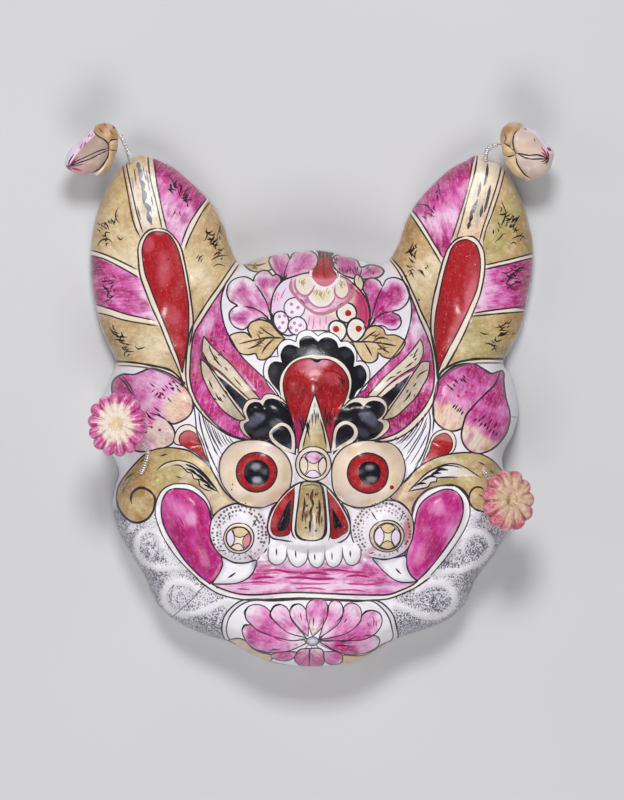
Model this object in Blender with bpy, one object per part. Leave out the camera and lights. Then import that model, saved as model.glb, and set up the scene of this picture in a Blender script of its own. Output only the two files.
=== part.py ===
"""Tiger mask: a hollow pressed-clay face with two upright ears, two clay buds on coil
springs at the ear tips and two clay flowers on coil springs at the cheeks.
The mask lies on its flat back rim: +Z is the way the face looks, +Y points to the ears.
All tables are in millimetres; x runs to the viewer's right from the mask's centre line,
y runs up towards the ears, z rises from the back rim."""

import math

import bpy
import bmesh
import numpy as np
from mathutils import Matrix, Vector
from mathutils.geometry import delaunay_2d_cdt

MM = 0.001
WALL = 5.0            # thickness of the pressed clay
RIM = 5.6             # width of the flat back rim
CELL = 6.0            # spacing of the facets on the face
INNER_CELL = 9.5      # spacing of the facets inside the hollow
RINGS = (0.3, 1.4, 3.6, 7.0)   # facet rings inside the outline, on the rounded edge
WIRE = 0.7            # diameter of the spring wire
COIL = 2.6            # outer diameter of a coil spring
PITCH = 1.3           # coil pitch
HOLE = 1.6            # pilot hole that a wire's tail sits in
CENTRE = (1.31, -2.78)         # puts the middle of the whole object's box at x = 0, y = 0

# Outline of the mask seen from the front, from the top of the brow round to the chin.
# station, left x, left y, right x, right y
OUTLINE = (
    ("brow_slope", -21.7, 72.4, 18.3, 71.8),
    ("ear_root", -35.4, 68.5, 35.2, 68.2),
    ("ear_inner_foot", -41.2, 78.0, 42.6, 77.4),
    ("ear_inner_waist", -44.9, 90.0, 47.0, 90.2),
    ("ear_inner_mid", -52.4, 101.6, 54.4, 101.8),
    ("ear_inner_high", -65.7, 114.1, 67.0, 114.4),
    ("ear_shoulder", -76.0, 120.2, 76.3, 120.0),
    ("ear_tip", -86.6, 123.0, 84.2, 123.3),
    ("ear_outer_high", -95.3, 117.8, 94.5, 118.2),
    ("ear_outer_upper", -102.2, 108.0, 101.6, 108.4),
    ("ear_outer_mid", -108.1, 94.2, 107.5, 94.4),
    ("ear_widest", -111.1, 77.0, 110.9, 78.0),
    ("ear_outer_low", -111.1, 63.0, 110.6, 63.5),
    ("ear_outer_lower", -108.9, 48.0, 108.0, 49.0),
    ("ear_outer_foot", -105.4, 35.0, 105.0, 36.0),
    ("ear_heel", -100.5, 24.4, 99.0, 24.6),
    ("cheek_corner", -98.6, 18.6, 96.2, 18.2),
    ("cheek_top", -102.0, 8.6, 100.6, 10.2),
    ("cheek_bulge", -106.4, -4.0, 103.7, -4.0),
    ("cheek_low", -105.3, -18.0, 101.4, -16.0),
    ("cheek_waist", -99.0, -30.0, 96.4, -26.0),
    ("cheek_notch", -96.9, -36.6, 95.9, -33.0),
    ("lobe_top", -98.8, -44.0, 98.6, -42.0),
    ("lobe", -100.2, -53.0, 100.8, -54.0),
    ("lobe_low", -97.8, -64.6, 98.6, -65.6),
    ("jaw_high", -91.0, -77.4, 91.2, -77.8),
    ("jaw_mid", -83.4, -89.6, 82.8, -89.2),
    ("jaw_step", -80.4, -97.4, 79.4, -97.0),
    ("jaw_corner", -75.6, -105.2, 75.0, -105.0),
    ("jaw_low", -64.8, -113.1, 64.2, -112.5),
    ("jaw_foot", -50.2, -119.0, 50.6, -117.0),
    ("chin_side", -41.6, -121.4, 41.2, -120.4),
    ("chin_slope", -31.4, -126.9, 31.0, -126.7),
    ("chin_low", -18.6, -132.0, 20.0, -131.8),
)
BROW_TOP, CHIN = (2.5, 75.3), (0.6, -133.8)

# Rounded masses added to the face. tilt turns the ellipse anticlockwise, in degrees.
# name, x, y, half width, half height, tilt, rise, sharpness
MASSES = (
    ("forehead", 0.0, 20.0, 63.0, 62.0, 0.0, 17.0, 1.2),
    ("eye_left", -28.4, -36.6, 19.0, 17.8, 0.0, 13.5, 0.75),
    ("eye_right", 28.0, -36.6, 19.0, 17.8, 0.0, 13.5, 0.75),
    ("nose_bridge", 0.2, -24.0, 10.0, 34.0, 0.0, 5.0, 0.9),
    ("nose_top", -0.5, -50.0, 12.0, 16.0, 0.0, 5.0, 0.8),
    ("nose_tip", -1.2, -60.0, 21.5, 15.5, 0.0, 13.5, 0.85),
    ("muzzle_left", -36.4, -66.0, 15.6, 15.6, 0.0, 7.5, 0.8),
    ("muzzle_right", 35.6, -66.0, 16.0, 15.6, 0.0, 7.5, 0.8),
    ("teeth", 0.6, -77.5, 25.0, 9.0, 0.0, 4.5, 0.7),
    ("lower_lip", 0.0, -91.5, 52.0, 8.5, 0.0, 3.0, 0.9),
    ("cheek_puff_left", -60.6, -66.0, 12.5, 25.0, 16.0, 5.5, 0.8),
    ("cheek_puff_right", 62.0, -66.0, 12.5, 25.0, -22.0, 5.5, 0.8),
    ("scroll_left", -82.0, -50.0, 13.5, 14.5, 0.0, 4.5, 0.9),
    ("scroll_right", 83.5, -50.0, 13.5, 14.5, 0.0, 4.5, 0.9),
    ("peach_left", -70.0, -3.0, 27.0, 20.0, -14.0, 7.0, 0.9),
    ("peach_right", 77.0, -3.0, 24.0, 24.0, 0.0, 7.0, 0.9),
    ("brow_left", -24.0, -9.5, 17.5, 11.5, -30.0, 6.5, 0.8),
    ("brow_right", 24.0, -9.5, 17.5, 11.5, 30.0, 6.5, 0.8),
    ("flame", 2.0, 3.0, 17.0, 18.0, 0.0, 4.0, 0.8),
    ("flame_collar", 2.0, 6.0, 28.0, 24.0, 0.0, 2.2, 0.6),
    ("chin", 0.2, -116.0, 43.0, 19.0, 0.0, 7.0, 0.7),
)
# Long soft ridges and troughs along a line.
# name, half width, rise, points
RIDGES = (
    ("scroll_arm_left", 11.0, 4.0, ((-82, -44), (-74, -34), (-62, -31), (-50, -37), (-43, -48))),
    ("scroll_arm_right", 11.0, 4.0, ((84, -44), (76, -34), (64, -31), (51, -37), (43, -48))),
    ("brow_sweep_left", 10.0, 4.0, ((-32, -4), (-42, 8), (-50, 20), (-56, 34))),
    ("brow_sweep_right", 10.0, 4.0, ((32, -4), (42, 8), (50, 20), (56, 34))),
    ("ear_trough_left", 13.0, -5.0, ((-77, 78), (-75, 66), (-71, 48), (-65, 28))),
    ("ear_trough_right", 13.0, -5.0, ((76, 78), (74, 66), (70, 48), (64, 28))),
)


def catmull_rom(points, step, closed=True):
    """Points about step apart on a smooth curve through the given ones."""
    p = np.asarray(points, float)
    n = len(p)
    out = []
    for i in range(n if closed else n - 1):
        if closed:
            a, b, c, d = p[i - 1], p[i], p[(i + 1) % n], p[(i + 2) % n]
        else:
            a, b, c, d = p[max(i - 1, 0)], p[i], p[i + 1], p[min(i + 2, n - 1)]
        m = max(1, int(round(np.linalg.norm(c - b) / step)))
        for k in range(m):
            t = k / m
            out.append(0.5 * (2 * b + (c - a) * t + (2 * a - 5 * b + 4 * c - d) * t * t
                              + (3 * b - a - 3 * c + d) * t ** 3))
    if not closed:
        out.append(p[-1])
    return np.array(out)


def mask_outline(step):
    """The closed outline, anticlockwise, about step apart."""
    left = [(r[1], r[2]) for r in OUTLINE]
    right = [(r[3], r[4]) for r in reversed(OUTLINE)]
    return catmull_rom([BROW_TOP] + left + [CHIN] + right, step)


def edge_distance(p, loop):
    """Distance of each point from the outline."""
    a, b = loop, np.roll(loop, -1, axis=0)
    best = np.full(len(p), 1e9)
    for i in range(len(a)):
        d = b[i] - a[i]
        t = np.clip(((p - a[i]) @ d) / (d @ d), 0, 1)
        best = np.minimum(best, np.hypot(*(p - a[i] - t[:, None] * d).T))
    return best


def inside(p, loop):
    """True for each point within the loop."""
    a, b = loop, np.roll(loop, -1, axis=0)
    odd = np.zeros(len(p), bool)
    for i in range(len(a)):
        if a[i, 1] == b[i, 1]:
            continue
        cross = (a[i, 1] > p[:, 1]) != (b[i, 1] > p[:, 1])
        odd ^= cross & (p[:, 0] < a[i, 0] + (p[:, 1] - a[i, 1]) * (b[i, 0] - a[i, 0]) / (b[i, 1] - a[i, 1]))
    return odd


def ellipse_r2(p, x, y, rx, ry, tilt):
    c, s = math.cos(math.radians(tilt)), math.sin(math.radians(tilt))
    dx, dy = p[:, 0] - x, p[:, 1] - y
    return ((c * dx + s * dy) / rx) ** 2 + ((c * dy - s * dx) / ry) ** 2


def line_distance(p, points):
    q = np.asarray(points, float)
    best = np.full(len(p), 1e9)
    for a, b in zip(q[:-1], q[1:]):
        d = b - a
        t = np.clip(((p - a) @ d) / (d @ d), 0, 1)
        best = np.minimum(best, np.hypot(*(p - a - t[:, None] * d).T))
    return best


def front_height(p):
    """Height of the face and ears above the rim, before the edge is rounded off."""
    face = 14 + 36 * np.sqrt(np.clip(1 - (p[:, 0] / 108) ** 2 - ((p[:, 1] + 30) / 112) ** 2, 0, 1))
    z = face
    for side in (-1, 1):
        ear = 14 + 14 * (1 - ellipse_r2(p, side * 78, 66, 36, 64, side * -11))
        z = 0.5 * (z + ear + np.sqrt((z - ear) ** 2 + 36))
    for _, x, y, rx, ry, tilt, rise, power in MASSES:
        r2 = ellipse_r2(p, x, y, rx, ry, tilt)
        z = z + rise * np.clip(1 - r2, 0, 1) ** power
    for _, half, rise, points in RIDGES:
        z = z + rise * np.clip(1 - (line_distance(p, points) / half) ** 2, 0, 1) ** 1.5
    return z


def outer_height(p, loop):
    """Height of the outer surface: the front, rounded down to the rim at the outline."""
    d = edge_distance(p, loop)
    reach = 9 + 8 * np.exp(-(p[:, 0] / 34) ** 2 - ((p[:, 1] - 74) / 24) ** 2)
    t = 1 - np.clip(d / reach, 0, 1)
    return front_height(p) * (1 - t ** 2.3) ** (1 / 2.3)


def hollow_height(p, loop):
    """Height of the hollow: the outer surface pushed in by the wall thickness, as a ball rolls under it."""
    low = np.full(len(p), 1e9)
    for ring in np.linspace(0, WALL, 5):
        for k in range(1 if ring == 0 else 12):
            a = 2 * math.pi * k / 12
            q = p + ring * np.array([math.cos(a), math.sin(a)])
            z = np.where(inside(q, loop), outer_height(q, loop), 0.0)
            low = np.minimum(low, z - math.sqrt(max(WALL ** 2 - ring ** 2, 0)))
    return np.maximum(low, 1.0)


def inward(loop, distance):
    """The loop moved inwards, leaving out points where it would fold."""
    t = np.roll(loop, -1, axis=0) - np.roll(loop, 1, axis=0)
    n = np.stack([-t[:, 1], t[:, 0]], 1) / np.hypot(t[:, 0], t[:, 1])[:, None]
    moved = loop + n * distance
    return moved[edge_distance(moved, loop) > distance * 0.97]


def thinned(points, gap):
    """The points in order, less any within gap of one already kept."""
    kept, cells = [], {}
    for p in points:
        key = (int(p[0] // gap), int(p[1] // gap))
        near = [q for i in (-1, 0, 1) for j in (-1, 0, 1) for q in cells.get((key[0] + i, key[1] + j), ())]
        if all(math.hypot(p[0] - q[0], p[1] - q[1]) > gap for q in near):
            kept.append(p)
            cells.setdefault(key, []).append(p)
    return kept


def hexagonal(cell, loop, margin):
    """A triangular lattice inside the loop, at least margin from it."""
    lo, hi = loop.min(0), loop.max(0)
    rows = []
    for j, y in enumerate(np.arange(lo[1], hi[1], cell * 0.866)):
        x = np.arange(lo[0], hi[0], cell) + (cell / 2 if j % 2 else 0)
        rows.append(np.stack([x, np.full(len(x), y)], 1))
    p = np.concatenate(rows)
    p = p[inside(p, loop)]
    return p[edge_distance(p, loop) > margin]


def relief_block(name, loop, inner_points, height, bottom, collection):
    """A closed block: a relief sheet over the loop, upright sides down to bottom, and a flat back."""
    points = [Vector(p) for p in loop] + [Vector(p) for p in inner_points]
    n = len(loop)
    verts, _, faces, origin, _, _ = delaunay_2d_cdt(points, [(i, (i + 1) % n) for i in range(n)], [list(range(n))], 1, 1e-6)
    flat = np.array([(v.x, v.y) for v in verts])
    z = height(flat)
    index = {o: i for i, found in enumerate(origin) for o in found}
    bm = bmesh.new()
    sheet = [bm.verts.new((x * MM, y * MM, h * MM)) for (x, y), h in zip(flat, z)]
    for f in faces:
        bm.faces.new([sheet[i] for i in f])
    rim = [sheet[index[i]] for i in range(n)]
    foot = [bm.verts.new((v.co.x, v.co.y, bottom * MM)) for v in rim] if bottom is not None else rim
    if bottom is not None:
        for i in range(n):
            bm.faces.new((rim[i], rim[(i + 1) % n], foot[(i + 1) % n], foot[i]))
    bm.faces.new(foot[::-1])
    bmesh.ops.recalc_face_normals(bm, faces=bm.faces)
    return mesh_object(name, bm, collection)


def mesh_object(name, bm, collection):
    mesh = bpy.data.meshes.new(name)
    bm.to_mesh(mesh)
    bm.free()
    obj = bpy.data.objects.new(name, mesh)
    collection.objects.link(obj)
    return obj


def material(name, colour, roughness, metallic=0.0):
    m = bpy.data.materials.new(name)
    m.use_nodes = True
    s = m.node_tree.nodes["Principled BSDF"]
    s.inputs["Base Color"].default_value = (*colour, 1)
    s.inputs["Roughness"].default_value = roughness
    s.inputs["Metallic"].default_value = metallic
    m.diffuse_color = (*colour, 1)
    return m


def frame_along(direction, side=(0, 0, 1)):
    """A rotation whose Z runs along direction and whose X lies as near side as it can."""
    z = Vector(direction).normalized()
    x = (Vector(side) - z * z.dot(Vector(side))).normalized()
    y = z.cross(x)
    return Matrix((x, y, z)).transposed().to_4x4()


def bud(name, centre, direction, length, width, depth, lobes, collection):
    """A closed flower bud: broad at the wire's end, drawn in to a blunt point at the other."""
    bm = bmesh.new()
    bmesh.ops.create_uvsphere(bm, u_segments=20, v_segments=12, radius=1.0)
    for v in bm.verts:
        t = (1 + v.co.z) / 2                       # 0 at the wire's end, 1 at the tip
        a = math.atan2(v.co.y, v.co.x)
        ring = math.sin(math.pi * min(t, 1) ** 0.62) ** 0.8 if 0 < t < 1 else 0.0
        swell = 1 + 0.05 * math.cos(lobes * a) * (1 - t)
        v.co = Vector((math.cos(a) * ring * depth / 2 * swell, math.sin(a) * ring * width / 2 * swell,
                       (t - 0.5) * length)) * MM
    bmesh.ops.recalc_face_normals(bm, faces=bm.faces)
    obj = mesh_object(name, bm, collection)
    obj.matrix_world = Matrix.Translation(Vector(centre) * MM) @ frame_along(direction)
    return obj


def flower(name, centre, direction, radius, squash, thick, petals, collection):
    """A many-petalled flower head: a thick lobed cushion with a groove between petals and a sunk heart."""
    bm = bmesh.new()
    bmesh.ops.create_uvsphere(bm, u_segments=petals * 4, v_segments=10, radius=1.0)
    for v in bm.verts:
        a = math.atan2(v.co.y, v.co.x)
        r = math.hypot(v.co.x, v.co.y) ** 0.85
        lobe = abs(math.cos(petals * a / 2)) ** 0.6
        top = v.co.z > 0
        z = (abs(v.co.z) ** 0.7) * (thick * 0.55 if top else -thick * 0.45)
        if top:
            z -= 1.6 * math.exp(-(r / 0.2) ** 2) + 0.9 * (1 - lobe) * min(1, r * 1.6)
        reach = radius * r * (0.9 + 0.1 * lobe)
        v.co = Vector((math.cos(a) * reach * squash, math.sin(a) * reach, z)) * MM
    bmesh.ops.recalc_face_normals(bm, faces=bm.faces)
    obj = mesh_object(name, bm, collection)
    obj.matrix_world = Matrix.Translation(Vector(centre) * MM) @ frame_along(direction, (1, 0, 0))
    return obj


def spring_route(route, tail, step=0.05):
    """Centreline of a coil spring: straight tails at both ends, a close helix between them."""
    line = catmull_rom(route, step, closed=False)
    s = np.concatenate([[0], np.cumsum(np.linalg.norm(np.diff(line, axis=0), axis=1))])
    total = s[-1]
    turns = max(2, round((total - 2 * tail) / PITCH))
    count = turns * 6 + 1
    radius = (COIL - WIRE) / 2
    side = np.array([0.3, 0.2, 1.0])
    out = [line[0]]
    for k in range(count):
        u = k / (count - 1)
        at = tail + u * (total - 2 * tail)
        c = np.array([np.interp(at, s, line[:, i]) for i in range(3)])
        e = np.array([np.interp(min(at + 0.3, total), s, line[:, i]) for i in range(3)])
        b = np.array([np.interp(max(at - 0.3, 0), s, line[:, i]) for i in range(3)])
        t = (e - b) / np.linalg.norm(e - b)
        side = side - t * (side @ t)
        side = side / np.linalg.norm(side)
        other = np.cross(t, side)
        a = 2 * math.pi * k / 6
        r = radius * min(1, k / 3, (count - 1 - k) / 3)
        out.append(c + r * (math.cos(a) * side + math.sin(a) * other))
    out.append(line[-1])
    return np.array(out)


def spring(name, route, tail, collection):
    points = spring_route(route, tail)
    curve = bpy.data.curves.new(name, "CURVE")
    curve.dimensions = "3D"
    curve.bevel_depth = WIRE / 2 * MM
    curve.bevel_resolution = 1
    curve.use_fill_caps = True
    spline = curve.splines.new("POLY")
    spline.points.add(len(points) - 1)
    for s, p in zip(spline.points, points):
        s.co = (*(p * MM), 1)
    obj = bpy.data.objects.new(name, curve)
    collection.objects.link(obj)
    return obj


def drill(target, at, direction, depth, collection):
    """A blind pilot hole of HOLE diameter at a point of the target, along direction."""
    bm = bmesh.new()
    bmesh.ops.create_cone(bm, cap_ends=True, segments=8, radius1=HOLE / 2 * MM, radius2=HOLE / 2 * MM, depth=2 * depth * MM)
    cutter = mesh_object("cut_" + target.name + str(len(collection.objects)), bm, collection)
    cutter.matrix_world = Matrix.Translation(Vector(at) * MM) @ frame_along(direction, (0.2, 0.9, 0.3))
    cutter.hide_render = True
    cutter.display_type = "WIRE"
    cut = target.modifiers.new(cutter.name, "BOOLEAN")
    cut.operation = "DIFFERENCE"
    cut.object = cutter
    return cutter


def main():
    for o in list(bpy.data.objects):
        bpy.data.objects.remove(o)
    parts = bpy.data.collections.new("tiger_mask")
    cutters = bpy.data.collections.new("cutters")
    for c in (parts, cutters):
        bpy.context.scene.collection.children.link(c)

    fine = mask_outline(2.5)
    loop = mask_outline(CELL)
    lattice = list(hexagonal(CELL, fine, RINGS[-1] + 2.5))
    rings = [p for d in RINGS for p in inward(mask_outline(CELL * (0.9 if d < 3 else 1.1)), d)]
    bosses = []
    for _, x, y, rx, ry, tilt, rise, _ in MASSES:
        if rx > 30 or abs(rise) < 4:
            continue
        c, s = math.cos(math.radians(tilt)), math.sin(math.radians(tilt))
        for share, count in ((1.02, 14), (0.9, 14), (0.6, 9), (0, 1)):
            for k in range(count):
                u, v = rx * share * math.cos(2 * math.pi * k / count), ry * share * math.sin(2 * math.pi * k / count)
                bosses.append((x + c * u - s * v, y + s * u + c * v))
    bosses = np.array(bosses)
    bosses = bosses[inside(bosses, fine)]
    bosses = list(bosses[edge_distance(bosses, fine) > RINGS[-1] + 1.5])
    inner_points = rings + thinned(bosses + lattice, 2.9)
    shell = relief_block("mask_shell", loop, inner_points, lambda p: outer_height(p, fine) * (edge_distance(p, fine) > 0.12), None, parts)

    mouth = inward(mask_outline(INNER_CELL * 0.7), RIM)
    ceiling = list(inward(mask_outline(INNER_CELL), RIM + 3)) + list(hexagonal(INNER_CELL, mouth, 6.5))
    core = relief_block("hollow_core", mouth, ceiling, lambda p: hollow_height(p, fine), -6, cutters)
    core.hide_render = True
    core.display_type = "WIRE"
    cut = shell.modifiers.new("hollow", "BOOLEAN")
    cut.operation = "DIFFERENCE"
    cut.object = core

    clay = material("painted_clay", (0.85, 0.80, 0.74), 0.35)
    bud_clay = material("bud_clay", (0.80, 0.66, 0.55), 0.4)
    flower_clay = material("flower_clay", (0.80, 0.45, 0.55), 0.4)
    wire = material("spring_wire", (0.62, 0.62, 0.60), 0.35, 1.0)
    shell.data.materials.append(clay)

    # name, centre, direction from the wire to the tip, length, width, depth
    buds = (
        ("ear_bud_left", (-110.0, 125.6, 24.0), (-0.90, -0.43, 0.10), 29.5, 24.0, 19.0),
        ("ear_bud_right", (107.4, 124.4, 24.0), (0.95, -0.25, 0.10), 27.5, 28.0, 19.0),
    )
    # name, centre, facing, radius, squash across, thickness, petals
    flowers = (
        ("cheek_flower_left", (-96.8, -12.2, 54.0), (-0.12, 0.08, 1.0), 16.6, 0.93, 12.0, 14),
        ("cheek_flower_right", (97.0, -50.2, 51.0), (0.45, 0.1, 1.0), 15.8, 0.9, 12.0, 11),
    )
    pieces = {}
    for name, centre, way, length, width, depth in buds:
        pieces[name] = bud(name, centre, way, length, width, depth, 5, parts)
        pieces[name].data.materials.append(bud_clay)
    for name, centre, way, radius, squash, thick, petals in flowers:
        pieces[name] = flower(name, centre, way, radius, squash, thick, petals, parts)
        pieces[name].data.materials.append(flower_clay)

    # name, foot on the mask (x, y), way out of the mask, points along the spring, ornament, way into it
    springs = (
        ("ear_spring_left", (-90.6, 119.0), (-0.15, 0.45, 1.0), ((-92.3, 124.6, 22.0),), "ear_bud_left", (-0.90, -0.43, 0.10), 29.5 / 2),
        ("ear_spring_right", (86.9, 119.9), (0.05, 0.45, 1.0), ((87.8, 125.6, 21.7),), "ear_bud_right", (0.95, -0.25, 0.10), 27.5 / 2),
        ("cheek_spring_left", (-85.5, -37.0), (0.1, 0.3, 1.0), ((-83.5, -32.5, 43.0), (-82.0, -25.0, 44.5), (-88.0, -17.0, 44.8), (-95.2, -13.0, 45.0)), "cheek_flower_left", (-0.12, 0.08, 1.0), 5.2),
        ("cheek_spring_right", (85.8, -33.8), (0.2, -0.2, 1.0), ((87.0, -37.0, 42.5), (90.0, -44.0, 43.5)), "cheek_flower_right", (0.45, 0.1, 1.0), 5.2),
    )
    centres = {n: Vector(c) for n, c, *_ in buds + flowers}
    for name, foot, out, middle, ornament, way, reach in springs:
        foot_z = float(outer_height(np.array([foot]), fine)[0])
        foot3 = Vector((*foot, foot_z))
        out = Vector(out).normalized()
        way = Vector(way).normalized()
        end = centres[ornament] - way * reach
        route = [foot3 - out * 2.2, foot3 + out * 0.6, *[Vector(m) for m in middle], end - way * 0.9, end + way * 2.2]
        obj = spring(name, [tuple(p) for p in route], 2.9, parts)
        obj.data.materials.append(wire)
        drill(shell, foot3, out, 3.4, cutters)
        drill(pieces[ornament], end, way, 3.4, cutters)
    for o in list(parts.objects) + list(cutters.objects):
        o.location = o.location + Vector((*CENTRE, 0)) * MM
        if o.type == "MESH":
            o.data.shade_smooth()


main()
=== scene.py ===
"""Look of the painted clay tiger mask: its fine moulded and painted shell, buds, flowers,
springs, camera, light and floor. Charted positions are in steps of half a millimetre, with
x to the right and y downwards, as on a drawing sheet 624 wide and 800 tall whose middle is
the mask's middle."""
import math

import bpy
import bmesh
import numpy as np
from mathutils import Matrix, Vector
from mathutils.geometry import delaunay_2d_cdt
from mathutils.kdtree import KDTree


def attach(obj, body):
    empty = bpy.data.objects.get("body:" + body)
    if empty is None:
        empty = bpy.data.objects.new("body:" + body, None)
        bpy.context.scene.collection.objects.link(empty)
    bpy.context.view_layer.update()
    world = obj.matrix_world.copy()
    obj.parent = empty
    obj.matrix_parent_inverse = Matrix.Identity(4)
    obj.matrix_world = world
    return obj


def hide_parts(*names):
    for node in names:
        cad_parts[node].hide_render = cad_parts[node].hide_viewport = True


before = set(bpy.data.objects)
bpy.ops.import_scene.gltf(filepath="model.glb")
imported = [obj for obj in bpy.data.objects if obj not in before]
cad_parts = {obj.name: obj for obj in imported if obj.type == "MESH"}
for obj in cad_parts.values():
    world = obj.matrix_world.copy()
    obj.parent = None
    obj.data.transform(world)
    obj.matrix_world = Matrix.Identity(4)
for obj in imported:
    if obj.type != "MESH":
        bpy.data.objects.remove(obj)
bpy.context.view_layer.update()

MM = 0.001

WALL = 5.0
RIM = 5.6
CELL = 1.12    # spacing of the painted face's lattice, mm
WIRE, COIL, PITCH = 0.7, 2.6, 1.3
CENTRE = (1.31, -2.78)

# ---------------------------------------------------------------- shape of the shell, mm
# station, left x, left y, right x, right y
OUTLINE = (
    ("brow_slope", -21.7, 72.4, 18.3, 71.8),
    ("ear_root", -35.4, 68.5, 35.2, 68.2),
    ("ear_inner_foot", -41.2, 78.0, 42.6, 77.4),
    ("ear_inner_waist", -44.9, 90.0, 47.0, 90.2),
    ("ear_inner_mid", -52.4, 101.6, 54.4, 101.8),
    ("ear_inner_high", -65.7, 114.1, 67.0, 114.4),
    ("ear_shoulder", -76.0, 120.2, 76.3, 120.0),
    ("ear_tip", -86.6, 123.0, 84.2, 123.3),
    ("ear_outer_high", -95.3, 117.8, 94.5, 118.2),
    ("ear_outer_upper", -102.2, 108.0, 101.6, 108.4),
    ("ear_outer_mid", -108.1, 94.2, 107.5, 94.4),
    ("ear_widest", -111.1, 77.0, 110.9, 78.0),
    ("ear_outer_low", -111.1, 63.0, 110.6, 63.5),
    ("ear_outer_lower", -108.9, 48.0, 108.0, 49.0),
    ("ear_outer_foot", -105.4, 35.0, 105.0, 36.0),
    ("ear_heel", -100.5, 24.4, 99.0, 24.6),
    ("cheek_corner", -98.6, 18.6, 96.2, 18.2),
    ("cheek_top", -102.0, 8.6, 100.6, 10.2),
    ("cheek_bulge", -106.4, -4.0, 103.7, -4.0),
    ("cheek_low", -105.3, -18.0, 101.4, -16.0),
    ("cheek_waist", -99.0, -30.0, 96.4, -26.0),
    ("cheek_notch", -96.9, -36.6, 95.9, -33.0),
    ("lobe_top", -98.8, -44.0, 98.6, -42.0),
    ("lobe", -100.2, -53.0, 100.8, -54.0),
    ("lobe_low", -97.8, -64.6, 98.6, -65.6),
    ("jaw_high", -91.0, -77.4, 91.2, -77.8),
    ("jaw_mid", -83.4, -89.6, 82.8, -89.2),
    ("jaw_step", -80.4, -97.4, 79.4, -97.0),
    ("jaw_corner", -75.6, -105.2, 75.0, -105.0),
    ("jaw_low", -64.8, -113.1, 64.2, -112.5),
    ("jaw_foot", -50.2, -119.0, 50.6, -117.0),
    ("chin_side", -41.6, -121.4, 41.2, -120.4),
    ("chin_slope", -31.4, -126.9, 31.0, -126.7),
    ("chin_low", -18.6, -132.0, 20.0, -131.8),
)
BROW_TOP, CHIN = (2.5, 75.3), (0.6, -133.8)

# name, x, y, half width, half height, tilt, rise, sharpness
MASSES = (
    ("forehead", 0.0, 20.0, 63.0, 62.0, 0.0, 17.0, 1.2),
    ("eye_left", -28.4, -36.6, 19.0, 17.8, 0.0, 13.5, 0.75),
    ("eye_right", 28.0, -36.6, 19.0, 17.8, 0.0, 13.5, 0.75),
    ("nose_bridge", 0.2, -24.0, 10.0, 34.0, 0.0, 5.0, 0.9),
    ("nose_top", -0.5, -50.0, 12.0, 16.0, 0.0, 5.0, 0.8),
    ("nose_tip", -1.2, -60.0, 21.5, 15.5, 0.0, 13.5, 0.85),
    ("muzzle_left", -36.4, -66.0, 15.6, 15.6, 0.0, 7.5, 0.8),
    ("muzzle_right", 35.6, -66.0, 16.0, 15.6, 0.0, 7.5, 0.8),
    ("teeth", 0.6, -77.5, 25.0, 9.0, 0.0, 4.5, 0.7),
    ("lower_lip", 0.0, -91.5, 52.0, 8.5, 0.0, 3.0, 0.9),
    ("cheek_puff_left", -60.6, -66.0, 12.5, 25.0, 16.0, 5.5, 0.8),
    ("cheek_puff_right", 62.0, -66.0, 12.5, 25.0, -22.0, 5.5, 0.8),
    ("scroll_left", -82.0, -50.0, 13.5, 14.5, 0.0, 4.5, 0.9),
    ("scroll_right", 83.5, -50.0, 13.5, 14.5, 0.0, 4.5, 0.9),
    ("peach_left", -70.0, -3.0, 27.0, 20.0, -14.0, 7.0, 0.9),
    ("peach_right", 77.0, -3.0, 24.0, 24.0, 0.0, 7.0, 0.9),
    ("brow_left", -24.0, -9.5, 17.5, 11.5, -30.0, 6.5, 0.8),
    ("brow_right", 24.0, -9.5, 17.5, 11.5, 30.0, 6.5, 0.8),
    ("flame", 2.0, 3.0, 17.0, 18.0, 0.0, 4.0, 0.8),
    ("flame_collar", 2.0, 6.0, 28.0, 24.0, 0.0, 2.2, 0.6),
    ("chin", 0.2, -116.0, 43.0, 19.0, 0.0, 7.0, 0.7),
)
# name, half width, rise, points
RIDGES = (
    ("scroll_arm_left", 11.0, 4.0, ((-82, -44), (-74, -34), (-62, -31), (-50, -37), (-43, -48))),
    ("scroll_arm_right", 11.0, 4.0, ((84, -44), (76, -34), (64, -31), (51, -37), (43, -48))),
    ("brow_sweep_left", 10.0, 4.0, ((-32, -4), (-42, 8), (-50, 20), (-56, 34))),
    ("brow_sweep_right", 10.0, 4.0, ((32, -4), (42, 8), (50, 20), (56, 34))),
    ("ear_trough_left", 13.0, -5.0, ((-77, 78), (-75, 66), (-71, 48), (-65, 28))),
    ("ear_trough_right", 13.0, -5.0, ((76, 78), (74, 66), (70, 48), (64, 28))),
)


def catmull_rom(points, step, closed=True):
    """Points about step apart on a smooth curve; a point given twice is a corner."""
    p = np.asarray(points, float)
    n = len(p)
    out = []
    for i in range(n if closed else n - 1):
        if closed:
            a, b, c, d = p[i - 1], p[i], p[(i + 1) % n], p[(i + 2) % n]
        else:
            a, b, c, d = p[max(i - 1, 0)], p[i], p[i + 1], p[min(i + 2, n - 1)]
        gap = np.linalg.norm(c - b)
        if gap < 1e-6:
            continue
        m = max(1, int(round(gap / step)))
        for k in range(m):
            t = k / m
            out.append(0.5 * (2 * b + (c - a) * t + (2 * a - 5 * b + 4 * c - d) * t * t
                              + (3 * b - a - 3 * c + d) * t ** 3))
    if not closed:
        out.append(p[-1])
    return np.array(out)


def mask_outline(step):
    left = [(r[1], r[2]) for r in OUTLINE]
    right = [(r[3], r[4]) for r in reversed(OUTLINE)]
    return catmull_rom([BROW_TOP] + left + [CHIN] + right, step)


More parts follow.
